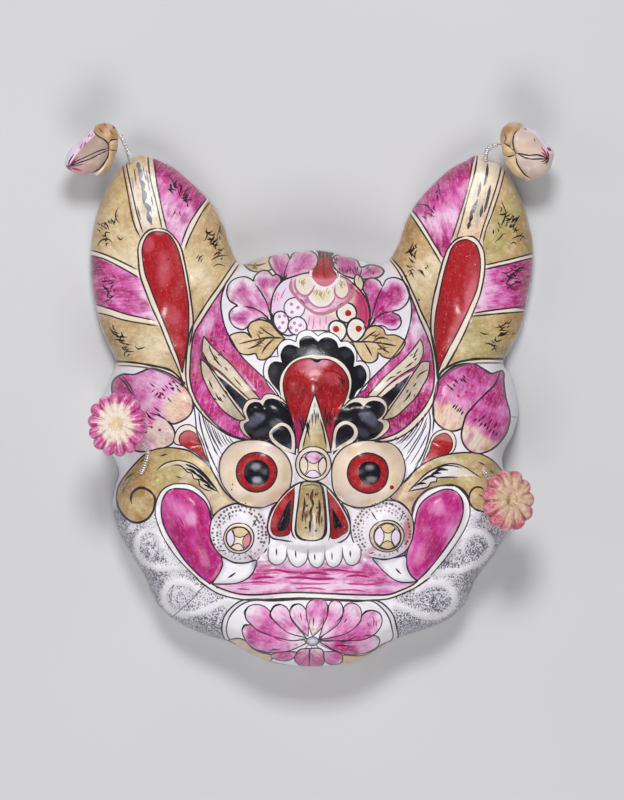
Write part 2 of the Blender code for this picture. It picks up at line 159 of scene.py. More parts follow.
def segment_distance(p, a, b):
    """Least distance of each point from segments a-b, and the place of it along them."""
    best, where = np.empty(len(p)), np.empty(len(p))
    d = b - a
    size = np.maximum((d * d).sum(1), 1e-12)
    step = max(1, 1500000 // len(a))
    for k in range(0, len(p), step):
        x = p[k:k + step, 0:1] - a[:, 0]
        y = p[k:k + step, 1:2] - a[:, 1]
        t = np.clip((x * d[:, 0] + y * d[:, 1]) / size, 0, 1)
        gap = (x - t * d[:, 0]) ** 2 + (y - t * d[:, 1]) ** 2
        i = gap.argmin(1)
        rows = np.arange(len(i))
        best[k:k + step] = np.sqrt(gap[rows, i])
        where[k:k + step] = i + t[rows, i]
    return best, where


def edge_distance(p, loop):
    return segment_distance(p, loop, np.roll(loop, -1, axis=0))[0]


def line_distance(p, points):
    q = np.asarray(points, float)
    return segment_distance(p, q[:-1], q[1:])[0]


def inside(p, loop):
    a, b = loop, np.roll(loop, -1, axis=0)
    rise = b[:, 1] - a[:, 1]
    run = (b[:, 0] - a[:, 0]) / np.where(rise == 0, 1, rise)
    out = np.zeros(len(p), bool)
    step = max(1, 3000000 // len(a))
    for k in range(0, len(p), step):
        x, y = p[k:k + step, 0:1], p[k:k + step, 1:2]
        cross = (a[:, 1] > y) != (b[:, 1] > y)
        out[k:k + step] = (cross & (x < a[:, 0] + (y - a[:, 1]) * run)).sum(1) % 2 == 1
    return out


def ellipse_r2(p, x, y, rx, ry, tilt):
    c, s = math.cos(math.radians(tilt)), math.sin(math.radians(tilt))
    dx, dy = p[:, 0] - x, p[:, 1] - y
    return ((c * dx + s * dy) / rx) ** 2 + ((c * dy - s * dx) / ry) ** 2


def front_height(p):
    z = 14 + 36 * np.sqrt(np.clip(1 - (p[:, 0] / 108) ** 2 - ((p[:, 1] + 30) / 112) ** 2, 0, 1))
    for side in (-1, 1):
        ear = 14 + 14 * (1 - ellipse_r2(p, side * 78, 66, 36, 64, side * -11))
        z = 0.5 * (z + ear + np.sqrt((z - ear) ** 2 + 36))
    for _, x, y, rx, ry, tilt, rise, power in MASSES:
        z = z + rise * np.clip(1 - ellipse_r2(p, x, y, rx, ry, tilt), 0, 1) ** power
    for _, half, rise, points in RIDGES:
        z = z + rise * np.clip(1 - (line_distance(p, points) / half) ** 2, 0, 1) ** 1.5
    return z


def outer_height(p, d):
    """Height of the painted front where d is the distance from the outline."""
    reach = 9 + 8 * np.exp(-(p[:, 0] / 34) ** 2 - ((p[:, 1] - 74) / 24) ** 2)
    t = 1 - np.clip(d / reach, 0, 1)
    return front_height(p) * (1 - t ** 2.3) ** (1 / 2.3)


def hollow_height(p, loop):
    """Height of the hollow: the front pushed in by the wall's thickness, read off a fine grid."""
    cell = 1.0
    lo = loop.min(0) - 8
    size = np.ceil((loop.max(0) + 8 - lo) / cell).astype(int) + 1
    gx, gy = np.meshgrid(lo[0] + cell * np.arange(size[0]), lo[1] + cell * np.arange(size[1]))
    g = np.column_stack([gx.ravel(), gy.ravel()])
    within = inside(g, loop)
    grid = np.zeros(len(g))
    grid[within] = outer_height(g[within], edge_distance(g[within], loop))
    grid = grid.reshape(gx.shape)
    low = np.full(len(p), 1e9)
    for ring in np.linspace(0, WALL, 5):
        for k in range(1 if ring == 0 else 12):
            a = 2 * math.pi * k / 12
            u = (p[:, 0] + ring * math.cos(a) - lo[0]) / cell
            v = (p[:, 1] + ring * math.sin(a) - lo[1]) / cell
            i, j = u.astype(int), v.astype(int)
            u, v = u - i, v - j
            z = ((grid[j, i] * (1 - u) + grid[j, i + 1] * u) * (1 - v) + (grid[j + 1, i] * (1 - u) + grid[j + 1, i + 1] * u) * v)
            low = np.minimum(low, z - math.sqrt(max(WALL ** 2 - ring ** 2, 0)))
    return np.maximum(low, 1.0)


def inward(loop, distance):
    t = np.roll(loop, -1, axis=0) - np.roll(loop, 1, axis=0)
    n = np.stack([-t[:, 1], t[:, 0]], 1) / np.hypot(t[:, 0], t[:, 1])[:, None]
    moved = loop + n * distance
    return moved[edge_distance(moved, loop) > distance * 0.97]


def hexagonal(cell, loop, margin):
    lo, hi = loop.min(0), loop.max(0)
    rows = []
    for j, y in enumerate(np.arange(lo[1], hi[1], cell * 0.866)):
        x = np.arange(lo[0], hi[0], cell) + (cell / 2 if j % 2 else 0)
        rows.append(np.stack([x, np.full(len(x), y)], 1))
    p = np.concatenate(rows)
    p = p[inside(p, loop)]
    return p[edge_distance(p, loop) > margin]


def sheet(points):
    """Charted positions to millimetres on the mask: x right, y up."""
    q = np.asarray(points, float).reshape(-1, 2)
    return np.stack([(q[:, 0] - 312) * 0.5, (400 - q[:, 1]) * 0.5], 1)


# ---------------------------------------------------------------- smooth random fields
def lattice_noise(x, y, seed):
    """Smooth noise from -1 to 1, the same each run."""
    xi, yi = np.floor(x).astype(np.int64), np.floor(y).astype(np.int64)
    fx, fy = x - xi, y - yi
    fx, fy = fx * fx * (3 - 2 * fx), fy * fy * (3 - 2 * fy)

    def corner(i, j):
        h = (i * 374761393 + j * 668265263 + seed * 1274126177) & 0xFFFFFFFF
        h = ((h ^ (h >> 13)) * 1103515245) & 0xFFFFFFFF
        return ((h ^ (h >> 16)) & 0xFFFF) / 32767.5 - 1

    a = corner(xi, yi) * (1 - fx) + corner(xi + 1, yi) * fx
    b = corner(xi, yi + 1) * (1 - fx) + corner(xi + 1, yi + 1) * fx
    return a * (1 - fy) + b * fy


def cloud(x, y, size, seed, octaves=3):
    total, amount = 0.0, 1.0
    for k in range(octaves):
        total = total + amount * lattice_noise(x / size * 2 ** k, y / size * 2 ** k, seed + 17 * k)
        amount *= 0.55
    return total


def smooth(lo, hi, x):
    t = np.clip((x - lo) / (hi - lo), 0, 1)
    return t * t * (3 - 2 * t)


def linear(colour):
    """A colour of 0 to 255 a channel, as light."""
    c = np.asarray(colour, float) / 255
    return np.where(c <= 0.04045, c / 12.92, ((c + 0.055) / 1.055) ** 2.4)

# ---------------------------------------------------------------- colours, 0 to 255
PALETTE = {
    "ground": (238, 233, 240), "shade": (222, 216, 226), "cream": (236, 222, 206), "band": (238, 222, 204),
    "eye": (233, 211, 188), "peach": (232, 204, 172), "ochre": (203, 174, 124), "ochre_pale": (229, 211, 176),
    "ochre_deep": (172, 130, 66), "olive": (176, 160, 96), "tan": (214, 198, 174), "leaf": (222, 194, 148),
    "magenta": (194, 40, 134), "magenta_deep": (168, 16, 98), "pink": (220, 116, 184), "pink_pale": (236, 196, 224),
    "lilac": (232, 216, 234), "rose": (186, 40, 96), "red": (170, 22, 32), "red_deep": (140, 10, 20),
    "red_wash": (208, 120, 134), "black": (21, 20, 28), "slate": (64, 62, 80), "grey_blue": (130, 134, 158),
    "ink": (42, 34, 40), "ink_soft": (98, 90, 98), "brown": (104, 74, 48), "white": (242, 238, 242),
    "navy": (36, 40, 60), "tooth": (240, 237, 243), "coin": (234, 220, 198),
    "melon_line": (196, 122, 142), "eye_pale": (240, 220, 198), "lip_band": (242, 234, 230), "plum": (112, 28, 70), "brown_wash": (150, 108, 62), "dot": (112, 98, 84), "dot_pale": (172, 156, 160), "pad": (234, 228, 236),
    "ear_line": (220, 206, 192), "streak": (116, 120, 138),
}

# Painted areas, from the ground up. name, manner, colours, guide, border, points.
# manner flat: one colour; along: from the first colour to the last down the guide line;
# rim: first colour at the edge, last at guide millimetres in. border: ink width or 0.
FILLS = (
    # ---- left ear
    ("ear_l_under", "flat", ("band",), None, 0,
     (80, 250, 92, 190, 120, 140, 160, 140, 190, 158, 216, 190, 232, 225, 244, 260, 220, 292, 196, 330, 190, 350, 187, 388, 178, 380, 168, 375, 150, 370, 131, 367.5, 106, 366.5, 84, 340)),
    ("ear_l_outer_top", "along", ("ochre", "ochre", "ochre_pale"), (100, 200, 142, 240), 0,
     (122, 150, 104, 175, 92, 205, 86, 225, 84, 250, 90, 250, 112, 258.5, 137.6, 270, 142, 262, 140, 245, 142, 236, 134, 205, 128, 180)),
    ("ear_l_outer_mid", "along", ("magenta_deep", "magenta", "pink", "pink_pale"), (90, 290, 150, 285), 0,
     (84, 252, 91, 255, 112, 264, 139, 277.5, 147, 300, 157, 322, 155, 320, 125, 314, 93, 303, 84, 300)),
    ("ear_l_outer_low", "along", ("ochre", "ochre", "ochre", "ochre_pale", "ochre"), (95, 335, 180, 350), 0,
     (84, 311, 96, 312, 125, 320, 158, 325, 166, 345, 176, 362, 186, 384, 172, 371, 151, 365.5, 131, 362, 108, 361, 90, 340)),
    ("ear_l_stripe", "along", ("leaf", "peach", "cream", "cream", "peach"), (130, 150, 150, 235), 0,
     (124, 160, 126, 148, 156, 146, 160, 180, 168, 231, 158, 228, 146, 231, 139, 236, 130, 195)),
    ("ear_l_inner_top", "along", ("magenta_deep", "magenta", "pink", "pink_pale", "pink"), (200, 178, 166, 236), 0,
     (153.5, 150, 180, 158, 214, 190, 207, 197.5, 190, 222, 181, 246, 175, 238, 167, 230, 161, 205, 155, 175)),
    ("ear_l_inner_low", "along", ("ochre", "ochre", "ochre_pale", "ochre"), (232, 240, 190, 300), 0,
     (210, 198, 224, 206, 246, 258, 236, 261, 228, 272, 218, 287, 208, 301, 198, 317, 193.5, 328, 193.5, 320, 191, 300, 188, 280, 184.5, 262, 184, 250, 195, 225)),
    ("ear_l_red_edge", "flat", ("band",), None, 0,
     (158, 228, 150, 229, 142, 236, 138, 247, 138.5, 262, 140, 275, 145, 290, 152, 308, 160, 325, 168, 345, 178, 368, 184.5, 386, 184.5, 386,
      188, 360, 190.5, 345, 193, 330, 193.5, 318, 191, 300, 188, 280, 184.5, 262, 181, 248, 175, 238, 166, 230)),
    ("ear_l_red", "along", ("red", "red", "red", "red", "red"), (160, 226, 178, 372), 1.7,
     (158, 231.5, 150, 233, 144.5, 240, 142, 250, 143, 262, 145.5, 275, 151, 290, 158, 308, 165, 325, 172, 343, 178, 358, 182.5, 373, 182.5, 373,
      184.5, 360, 187, 345, 188.5, 330, 188.8, 315, 188, 300, 185.8, 285, 183, 270, 179.5, 255, 175, 243, 168, 234)),
    # ---- right ear
    ("ear_r_under", "flat", ("band",), None, 0,
     (474, 140, 506, 142, 530, 170, 548, 250, 544, 310, 530, 350, 512, 363, 482, 363, 470, 364, 460, 366.5, 452, 370, 445, 376, 438.5, 383, 434, 350, 430, 328, 412, 292, 386, 258, 396, 225, 420, 175, 448, 150)),
    ("ear_r_outer_top", "along", ("ochre", "olive", "ochre", "ochre_deep"), (490, 215, 532, 250), 0,
     (506, 160, 524, 178, 540, 225, 542, 254, 534, 254, 510, 259.5, 485, 265, 484, 250, 483, 242, 490, 222, 500, 192)),
    ("ear_r_outer_mid", "along", ("magenta_deep", "magenta", "pink", "pink_pale"), (532, 285, 480, 290), 0,
     (542, 257, 534, 257, 510, 263, 485, 269, 484, 284, 480, 296, 474, 311, 472, 314, 490, 310.5, 510, 308, 540, 305)),
    ("ear_r_outer_low", "along", ("ochre_deep", "ochre", "olive", "ochre"), (528, 330, 450, 350), 0,
     (540, 311, 525, 311.5, 500, 313, 471, 316, 462, 336, 452, 357, 441, 373, 443, 371, 455, 363.5, 467, 360, 480, 358.5, 512, 358.5, 530, 335)),
    ("ear_r_stripe", "along", ("cream", "peach", "peach"), (485, 160, 470, 235), 0,
     (474, 146, 506, 148, 506, 171, 497, 196, 489, 220, 483, 242, 476, 237, 465.7, 235, 457, 238, 452, 239, 462, 205, 470, 180)),
    ("ear_r_inner_top", "along", ("magenta_deep", "magenta", "pink", "pink_pale", "pink", "magenta"), (436, 176, 450, 250), 0,
     (475, 148, 448, 156, 424, 176, 404, 205, 413, 210, 424, 226, 434, 243, 443, 258, 449, 247, 452, 239, 458, 220, 466, 195, 472, 170)),
    ("ear_r_inner_low", "along", ("ochre_deep", "ochre", "ochre_pale", "ochre"), (398, 240, 440, 300), 0,
     (405, 206, 410.5, 213, 420, 228, 430, 244, 441.5, 264, 437, 282, 433.5, 298, 431, 312, 430.5, 328, 425, 318, 418, 305, 412, 292, 407, 280, 400, 269, 390, 258, 384, 262, 392, 235)),
    ("ear_r_red_edge", "flat", ("band",), None, 0,
     (465.7, 235.6, 456.5, 239, 449, 247, 444, 258, 441, 268, 438, 280, 434, 295, 431.3, 312, 430.7, 328, 433, 345, 436, 362, 437.5, 380, 437.5, 380,
      444, 370, 452, 357, 460, 342, 468, 325, 475, 308, 480, 295, 483.5, 280, 485, 265, 484, 252, 480, 243, 474, 237)),
    ("ear_r_red", "along", ("red", "red", "red", "red", "red"), (462, 240, 446, 356), 1.7,
     (465.5, 239.5, 458, 241.5, 452, 248, 448.5, 258, 445.5, 268, 442.5, 280, 439.5, 295, 436.5, 310, 434.5, 325, 434.5, 338, 435.5, 350, 437, 362, 438, 372, 438, 372,
      442, 362, 449, 348, 457, 333, 465, 317, 471, 304, 476, 292, 479, 280, 480.5, 266, 479.5, 254, 476, 245, 470, 240.5)),
    # ---- brow ring and the painted wing on each side of the forehead
    ("ring_l", "flat", ("band",), None, 0,
     (236, 261, 228, 272, 218, 287, 208, 301, 198, 317, 191, 330, 188, 345, 186.5, 360, 186, 375, 188, 388, 192.5, 400, 199, 410, 208, 420, 222, 431, 236, 437.5, 250, 441, 250, 441,
      250, 439, 234, 436, 220, 427.5, 208, 416, 199, 404, 192.5, 390, 190, 376, 190.5, 363, 191.5, 348, 194.5, 333, 201, 322, 211, 306, 221, 291, 231, 276, 240, 263, 240, 263)),
    ("wing_l", "along", ("pink", "magenta", "magenta", "rose", "magenta", "magenta"), (222, 290, 208, 420), 0,
     (225, 283, 231, 276, 221, 291, 211, 306, 201, 322, 194.5, 333, 191.5, 348, 190.5, 363, 190, 376, 192.5, 390, 199, 404, 208, 416, 220, 427.5, 234, 436, 250, 439.5, 250, 439.5,
      256, 420, 270, 402, 284, 402, 284, 402, 281, 396, 273.8, 388.5, 262, 377, 251, 366, 241, 355, 233.6, 343.3, 226, 329, 222, 313, 221.5, 298)),
    ("ring_r", "flat", ("band",), None, 0,
     (388, 258, 392, 260, 400, 269, 407, 280, 412, 292, 418, 305, 425, 318, 431, 329, 434.5, 341, 436.5, 353, 438, 365, 438, 378, 437, 390, 433, 402, 428, 412, 417, 425, 403, 435.5, 389, 440.5, 374, 441.5, 374, 441.5,
      374, 440, 387, 437, 399, 431.5, 412, 421, 423, 408.5, 429, 399, 432.5, 388, 434, 376, 433, 360, 431.5, 350, 428.5, 340, 424.5, 330, 417, 314, 410, 296, 405, 282, 397, 270, 388, 260)),
    ("wing_r", "along", ("pink_pale", "lilac", "pink_pale", "magenta", "magenta", "magenta_deep", "magenta"), (408, 290, 404, 432), 0,
     (404, 280, 410, 296, 417, 314, 424.5, 330, 428.5, 340, 431.5, 350, 433, 360, 434, 376, 432.5, 388, 429, 399, 423, 408.5, 412, 421, 399, 431.5, 387, 437, 374, 440, 374, 440,
      376, 420, 362, 402, 354, 400, 354, 400, 361, 389, 376, 374, 391, 359, 404, 343, 410, 326, 412, 308, 408.5, 293)),
    ("wing_l_blade_edge", "flat", ("cream",), None, 0,
     (211, 369, 211, 369, 222, 374, 236, 386, 250, 400, 244, 416, 230, 399, 219, 384)),
    ("wing_l_feather_in", "along", ("tan", "tan", "ochre_pale"), (206, 345, 256, 398), 1.6,
     (204, 336, 204, 336, 211, 345, 220, 354, 230, 363, 240, 375, 250, 387, 257, 395, 261, 401, 261, 401, 250, 400, 250, 400, 243, 393, 235, 386, 222, 373, 210, 364, 203, 356, 202.5, 346)),
    ("wing_l_feather_out", "along", ("tan", "cream", "tan"), (204, 372, 238, 416), 1.6,
     (201, 359, 201, 359, 202, 373, 206, 384, 213, 397, 222, 409, 232, 417, 240, 420.5, 247, 420, 247, 420, 241, 413, 232, 401, 222, 387, 213, 373, 207, 364)),
    ("wing_l_blade", "along", ("slate", "black", "black", "slate"), (216, 376, 246, 408), 0,
     (215, 373.5, 215, 373.5, 224, 380, 236, 390, 248, 400.5, 248, 400.5, 245, 404, 243, 411, 243, 411, 234, 400, 226, 389)),
    ("wing_r_blade_edge", "flat", ("cream",), None, 0,
     (413, 371, 413, 371, 400, 378, 386, 388, 376, 398, 384, 413, 398, 398, 407, 384)),
    ("wing_r_feather_in", "along", ("cream", "tan", "cream"), (420, 345, 370, 396), 1.6,
     (420, 339, 420, 339, 412, 350, 403, 360, 393, 369, 383, 378, 374, 388, 368, 395.5, 366, 401, 366, 401, 376, 396.5, 385, 388, 395, 379, 405, 372.5, 416, 366, 421, 359, 423, 352, 422.5, 345)),
    ("wing_r_feather_out", "along", ("tan", "tan", "ochre_pale"), (426, 366, 386, 418), 1.6,
     (430, 361.5, 430, 361.5, 422, 362, 417, 368, 410, 378, 402, 391, 392, 405, 384, 417, 381, 421, 381, 421, 388, 419, 396, 416, 405, 408, 415, 398, 423, 385, 428, 375)),
    ("wing_r_blade", "along", ("slate", "slate", "black", "black"), (410, 375, 384, 406), 0,
     (410.5, 374, 410.5, 374, 400, 382, 389, 390.5, 379, 398.5, 379, 398.5, 384, 402, 386.5, 409, 386.5, 409, 396, 397, 405, 384)),
    # ---- forehead flowers and leaves
    ("fore_leaf_l_top", "along", ("ochre_pale", "ochre"), (268, 262, 245, 268), 1.8,
     (243, 262, 250, 270, 261, 272, 272, 269, 270, 262, 268, 255, 258, 256, 250, 259)),
    ("petal_tl_low", "rim", ("cream", "pink"), 3.6, 1.8,
     (283, 280, 283, 280, 276, 274, 270.5, 266, 269, 259, 274, 254, 281, 252.5, 288, 254, 290, 259, 292, 254, 298, 250, 306, 249.5, 314, 252, 318, 259, 315, 268, 306, 274, 296, 278)),
    ("petal_tr", "rim", ("cream", "magenta"), 3.4, 2.0,
     (358, 280, 358, 280, 345, 276, 336, 270, 332, 262, 334, 256, 341, 254, 349, 256, 357, 260, 361, 267, 370, 264.5, 379, 266, 384, 271, 379, 277, 368, 279)),
    ("petal_tr_bud", "flat", ("ochre_pale",), None, 1.8,
     (361, 291, 361, 291, 357, 288, 354, 281, 356, 275, 360, 276, 363, 281, 363.5, 287)),
    ("petal_l_trio", "rim", ("white", "white", "pink_pale", "pink_pale", "pink"), 8.0, 1.7,
     (271.5, 322, 271.5, 322, 262, 318, 254, 322, 249, 326, 243, 330, 235, 327, 230, 320, 230, 312, 235, 307, 238, 306, 234, 303.5, 230, 301, 227, 294, 228, 286, 233, 280, 241, 277, 248, 277.5,
      252.5, 280.5, 253.5, 281.5, 255, 276, 261, 271, 268, 271, 272, 275, 272.5, 276, 277, 274.5, 281, 279, 280, 286, 275, 297, 272, 309)),
    ("petal_r_trio", "rim", ("white", "pink_pale", "pink", "magenta", "magenta"), 6.0, 1.7,
     (369, 327, 369, 327, 370, 312, 367, 298, 363, 289, 365, 281, 372, 278, 379, 281, 382.5, 286.5, 386, 280, 394, 277.5, 403, 281, 409, 290, 408, 301, 401, 309, 392, 312, 399, 316, 401, 323, 397, 329, 389, 330, 382, 326)),
    ("leaf_l", "along", ("ochre_pale", "leaf", "ochre"), (232, 340, 270, 338), 1.8,
     (285, 338.5, 285, 338.5, 277, 331, 270, 323, 260, 320, 251, 323, 248, 330, 252, 338, 246, 333, 237, 333, 229.5, 337, 234, 346, 240, 353, 248, 355, 256, 354, 258, 359, 264, 360, 271, 356, 276, 349)),
    ("leaf_r", "along", ("leaf", "leaf", "ochre"), (356, 345, 400, 345), 1.8,
     (352, 342, 352, 342, 361, 336, 368, 328, 376, 326, 383, 329, 386, 335, 394, 335, 401, 338, 405, 343, 400, 352, 392, 358.5, 383, 357, 378, 353, 377, 359, 371, 363, 363, 361, 357, 352)),
    ("melon", "along", ("lilac", "lilac", "cream", "cream", "red_wash"), (272, 300, 368, 305), 2.0,
     (310, 273, 293, 277, 281.6, 282, 274, 293, 271, 307, 272, 322, 278, 331, 288, 336, 300, 333, 318, 331, 333, 333, 345, 343, 356, 340, 364, 333, 369, 323, 369, 309, 363.5, 295, 353, 284, 339, 276)),
    ("melon_core", "along", ("lilac", "pink_pale", "pink_pale", "red_wash"), (296, 290, 356, 292), 0,
     (292, 279, 292, 289, 297, 297, 308, 308, 318, 313, 330, 311, 343, 304, 351, 296, 353, 286, 349, 281, 340, 276, 326, 272, 308, 274)),
    ("melon_lobe_l", "flat", ("cream",), None, 0,
     (296, 279, 295, 287, 300, 294, 307, 296, 312, 291, 315, 283, 311, 276, 303, 275)),
    ("melon_lobe_r", "flat", ("cream",), None, 0,
     (336, 280, 333, 288, 335, 295, 341, 299, 347, 296, 349, 289, 346, 282, 341, 278)),
    ("melon_lobe_c", "rim", ("white", "cream", "ochre_pale"), 5.0, 0,
     (308, 292, 309, 300, 314, 306, 321, 308, 329, 306, 334, 300, 335, 291, 328, 287, 315, 287)),
    ("calyx_glow", "along", ("white", "white"), (324, 275, 324, 290), 0,
     (309.5, 272, 311, 280, 315.5, 286.5, 323, 290, 331, 288.5, 337, 283, 340, 276, 334, 270, 314, 270)),
    ("calyx_pink", "flat", ("red_wash",), None, 0,
     (312.5, 275, 314.5, 281, 319, 285.5, 325, 287, 331, 285, 335.5, 280, 337, 275)),
    ("calyx", "along", ("red_deep", "red", "red", "red_wash"), (324, 250, 324, 281), 0,
     (316, 246, 318.5, 256, 317, 265, 312.5, 271, 312.5, 276, 318, 279, 325, 280, 332, 278.5, 337, 275.5, 334, 270, 331.5, 263, 332, 256, 337, 246)),
    ("berry_l1", "rim", ("lilac", "white"), 2.5, 1.3, (294.5, 298, 302, 301, 305, 308, 302, 315.5, 294.5, 319, 287, 315.5, 284, 308, 287, 301)),
    ("berry_l2", "rim", ("lilac", "white"), 2.0, 1.7, (281, 311.5, 286.5, 315, 289, 322, 287, 330, 283, 333.5, 277, 329, 273.5, 321, 275, 314)),
    ("berry_l3", "rim", ("lilac", "white"), 2.5, 1.7, (297.5, 317, 304, 320, 307, 327, 304, 333, 297.5, 335.5, 291, 333, 288, 326, 291, 320)),
    ("berry_r1", "rim", ("white", "cream"), 2.5, 2.0, (346.5, 303, 353.5, 306, 356.5, 313, 354, 320, 347, 323, 339.5, 320, 336.5, 313, 339.5, 306)),
    ("berry_r2", "rim", ("white", "cream"), 2.5, 2.2, (337, 321, 344, 324, 346.5, 331, 344, 338, 339, 341, 332, 336, 328.5, 329, 331, 323)),
    ("berry_r3", "rim", ("white", "cream"), 2.5, 2.2, (356.5, 318.5, 363, 322, 365.5, 329, 362, 337, 355, 342, 348.5, 337, 346.5, 329, 350, 321)),
    # ---- black scallops, flame heart and nose wedge
    ("scallop_glow", "flat", ("white",), None, 1.3,
     (284, 403, 277, 396, 267, 383, 263.5, 372, 266, 361, 272, 357, 278.5, 357, 278.5, 357, 277.5, 349, 281, 342.5, 288, 339.5, 296, 342, 296, 342, 297.5, 335.5, 303, 331, 311, 331, 318, 336.5, 318, 336.5, 323.5, 333, 331, 333, 338, 337.5,
      340.5, 342, 340.5, 342, 347, 341.5, 353, 346, 356.5, 353, 356.5, 361.5, 356.5, 361.5, 362.5, 361.5, 368.5, 368, 369.5, 378, 366, 388, 358, 394, 348, 402, 330, 380, 300, 380)),
    ("scallop_black", "rim", ("black", "black"), 3.0, 0,
     (285.5, 404, 279, 392, 271, 382, 268, 373, 270, 365, 275, 361.5, 282, 362.5, 282, 362.5, 280.5, 355, 284, 347.5, 290, 344.8, 299.5, 348, 299.5, 348, 299.5, 341, 303.5, 336.8, 311, 336.3, 318, 342, 318, 342, 323, 338, 330, 338, 336, 341.5,
      338.5, 348, 338.5, 348, 345, 346.5, 351, 350, 354.5, 357, 353.5, 367, 353.5, 367, 360, 365, 365, 370, 366.5, 378, 363, 386, 357, 391, 349, 399, 330, 370, 300, 370)),
    ("flame_edge", "flat", ("cream",), None, 0,
     (284, 402, 281, 394, 280, 385, 281.5, 376, 286, 368, 293, 361, 302, 357, 311, 355.5, 317, 356, 326, 356, 336, 359, 344, 365, 349.5, 374, 351, 384, 349, 395, 344, 405, 317, 400)),
    ("flame", "along", ("red", "red", "red_deep", "red", "red", "rose"), (316, 358, 316, 440), 1.6,
     (317, 360, 309, 358.5, 300, 360, 291.5, 365, 286, 373, 283.5, 381, 283.5, 388, 285, 396, 288, 406, 292, 419, 295, 431, 296.5, 448, 296.5, 448, 331, 448, 331, 448, 333, 432, 336.5, 419, 341.5, 408, 346, 397,
      348.5, 387, 347.5, 378, 343, 370, 336, 363.5, 327, 359.5)),
    ("wedge", "flat", ("cream",), None, 1.8,
     (314.8, 393.5, 314.8, 393.5, 310, 407, 305, 424, 300, 441, 298, 452, 298, 452, 331, 452, 331, 452, 328.5, 440, 323.5, 422, 319, 406)),
    ("wedge_core", "along", ("grey_blue", "white", "ochre_pale", "ochre", "olive"), (315, 402, 315, 446), 0,
     (314.8, 402, 314.8, 402, 311, 413, 307, 428, 303, 443, 302, 452, 302, 452, 327, 452, 327, 452, 325, 440, 321, 425, 318, 412)),
    # ---- black brow lobes
    ("lobes_l_edge", "flat", ("cream",), None, 1.5,
     (286.5, 403, 286.5, 403, 280, 397, 272, 394, 265, 394.5, 261, 399.5, 256, 398.5, 249.5, 399.5, 245, 404, 243, 411, 246, 419, 241, 420.5, 239.5, 425, 242, 431, 247, 436.5, 255, 440, 270, 440, 290, 425)),
    ("lobes_l", "flat", ("black",), None, 0,
     (286.5, 405, 280, 400.5, 272, 398.5, 266, 400, 263, 405.5, 263, 405.5, 260, 402.5, 254, 402, 248.5, 405.5, 246.5, 412, 249.5, 420.5, 249.5, 420.5, 244.5, 423.5, 244, 428, 247.5, 434, 253.5, 439.5, 264, 441,
      272, 444, 284, 450, 296, 455, 296, 455, 296.5, 440, 295, 431, 292, 419)),
    ("lobes_r_edge", "flat", ("cream",), None, 1.5,
     (343, 407, 343, 407, 350, 400, 358, 397, 365.5, 397.5, 371, 396.5, 379, 397, 385, 401, 387.5, 408, 385.5, 414, 382, 419, 387, 420, 389.5, 424.5, 387.5, 430.5, 381, 436.5, 372, 440, 350, 440, 336, 425)),
    ("lobes_r", "flat", ("black",), None, 0,
     (341, 411, 347, 405, 354, 402, 360, 403, 363.5, 407, 363.5, 407, 367, 402.5, 374, 400.5, 381, 402.5, 385, 408, 382.5, 415, 377, 420, 377, 420, 382.5, 423, 383, 428, 379, 434, 371.5, 439, 360, 440.5,
      350, 443, 340, 448, 333, 455, 333, 455, 333, 432, 336.5, 419)),
    ("tear_l_edge", "flat", ("cream",), None, 0,
     (269.5, 432.5, 275, 426, 281.5, 422.5, 289, 425.5, 293.5, 433, 295, 442, 294.5, 453, 294.5, 453, 287, 451, 279, 447, 271.5, 440)),
    ("tear_l", "along", ("black", "black", "navy", "grey_blue"), (278, 426, 290, 452), 0,
     (272.5, 433, 277, 428, 282, 425.5, 287.5, 428, 291, 434.5, 292, 442, 291.5, 449.5, 291.5, 449.5, 285, 446.5, 278, 442, 273.5, 437.5)),
    ("tear_r_edge", "flat", ("cream",), None, 0,
     (333, 451, 333, 451, 333, 438, 335, 428, 340, 422.5, 346.5, 421, 354, 424.5, 357.5, 431, 356, 438, 350, 443, 342, 447.5)),
    ("tear_r", "along", ("black", "black", "navy", "grey_blue"), (348, 426, 338, 450), 0,
     (335.5, 448.5, 335.5, 448.5, 335.5, 438, 337.5, 430, 341.5, 425.5, 346.5, 424, 352, 427, 354, 432, 352, 437, 346, 441.5, 340, 445)),
    # ---- cheeks: peaches, drops, scroll leaves, teardrops
    ("peach_l", "along", ("magenta", "pink", "pink", "pink_pale", "pink", "pink_pale", "peach", "peach"), (118, 388, 182, 424), 2.0,
     (112, 396, 111, 387, 113, 380, 117, 376.5, 124, 374, 134, 374.5, 142, 371.5, 150, 368.5, 158, 369.5, 168, 373, 178, 379, 186, 388, 191, 396, 193.5, 404, 192, 412, 187, 418, 180, 422, 173, 424, 168, 421,
      173, 427, 175.5, 435, 173, 443, 165, 447.5, 155, 450, 137, 451, 120, 440, 110, 415)),
    ("peach_r", "along", ("magenta", "pink", "magenta", "magenta", "pink", "peach", "peach", "peach"), (470, 366, 446, 428), 2.0,
     (434, 395, 436, 385, 440, 378, 447, 371, 455, 366, 463, 364, 470, 363.5, 477, 365, 485, 370, 492, 373.5, 498, 371.5, 502, 372, 500, 381, 490, 392, 480, 401, 467, 413, 463, 424, 462, 428, 453, 431, 444, 429, 436, 422.5, 432.5, 413)),
    ("peach_r_far", "along", ("magenta", "magenta", "magenta", "pink", "magenta", "pink", "peach", "peach", "cream"), (503, 380, 464, 446), 2.0,
     (501, 370.5, 504.5, 374, 504, 381, 505, 392, 507, 402, 509.8, 411, 510, 421, 507, 432, 502, 440, 495, 447, 486, 452, 477, 453.5, 469, 450.5, 463, 443.5, 461, 435, 462.5, 426, 466, 415, 475, 404, 485, 394, 495, 384)),
    ("drop_l_edge", "flat", ("band",), None, 1.4,
     (196, 448, 176, 444, 175, 436, 179, 428, 187, 424.5, 194, 426.5, 199, 433, 204, 445, 208, 458, 214, 474, 214, 474, 204, 461)),
    ("drop_l", "along", ("red_wash", "red", "red"), (186, 431, 198, 452), 1.4,
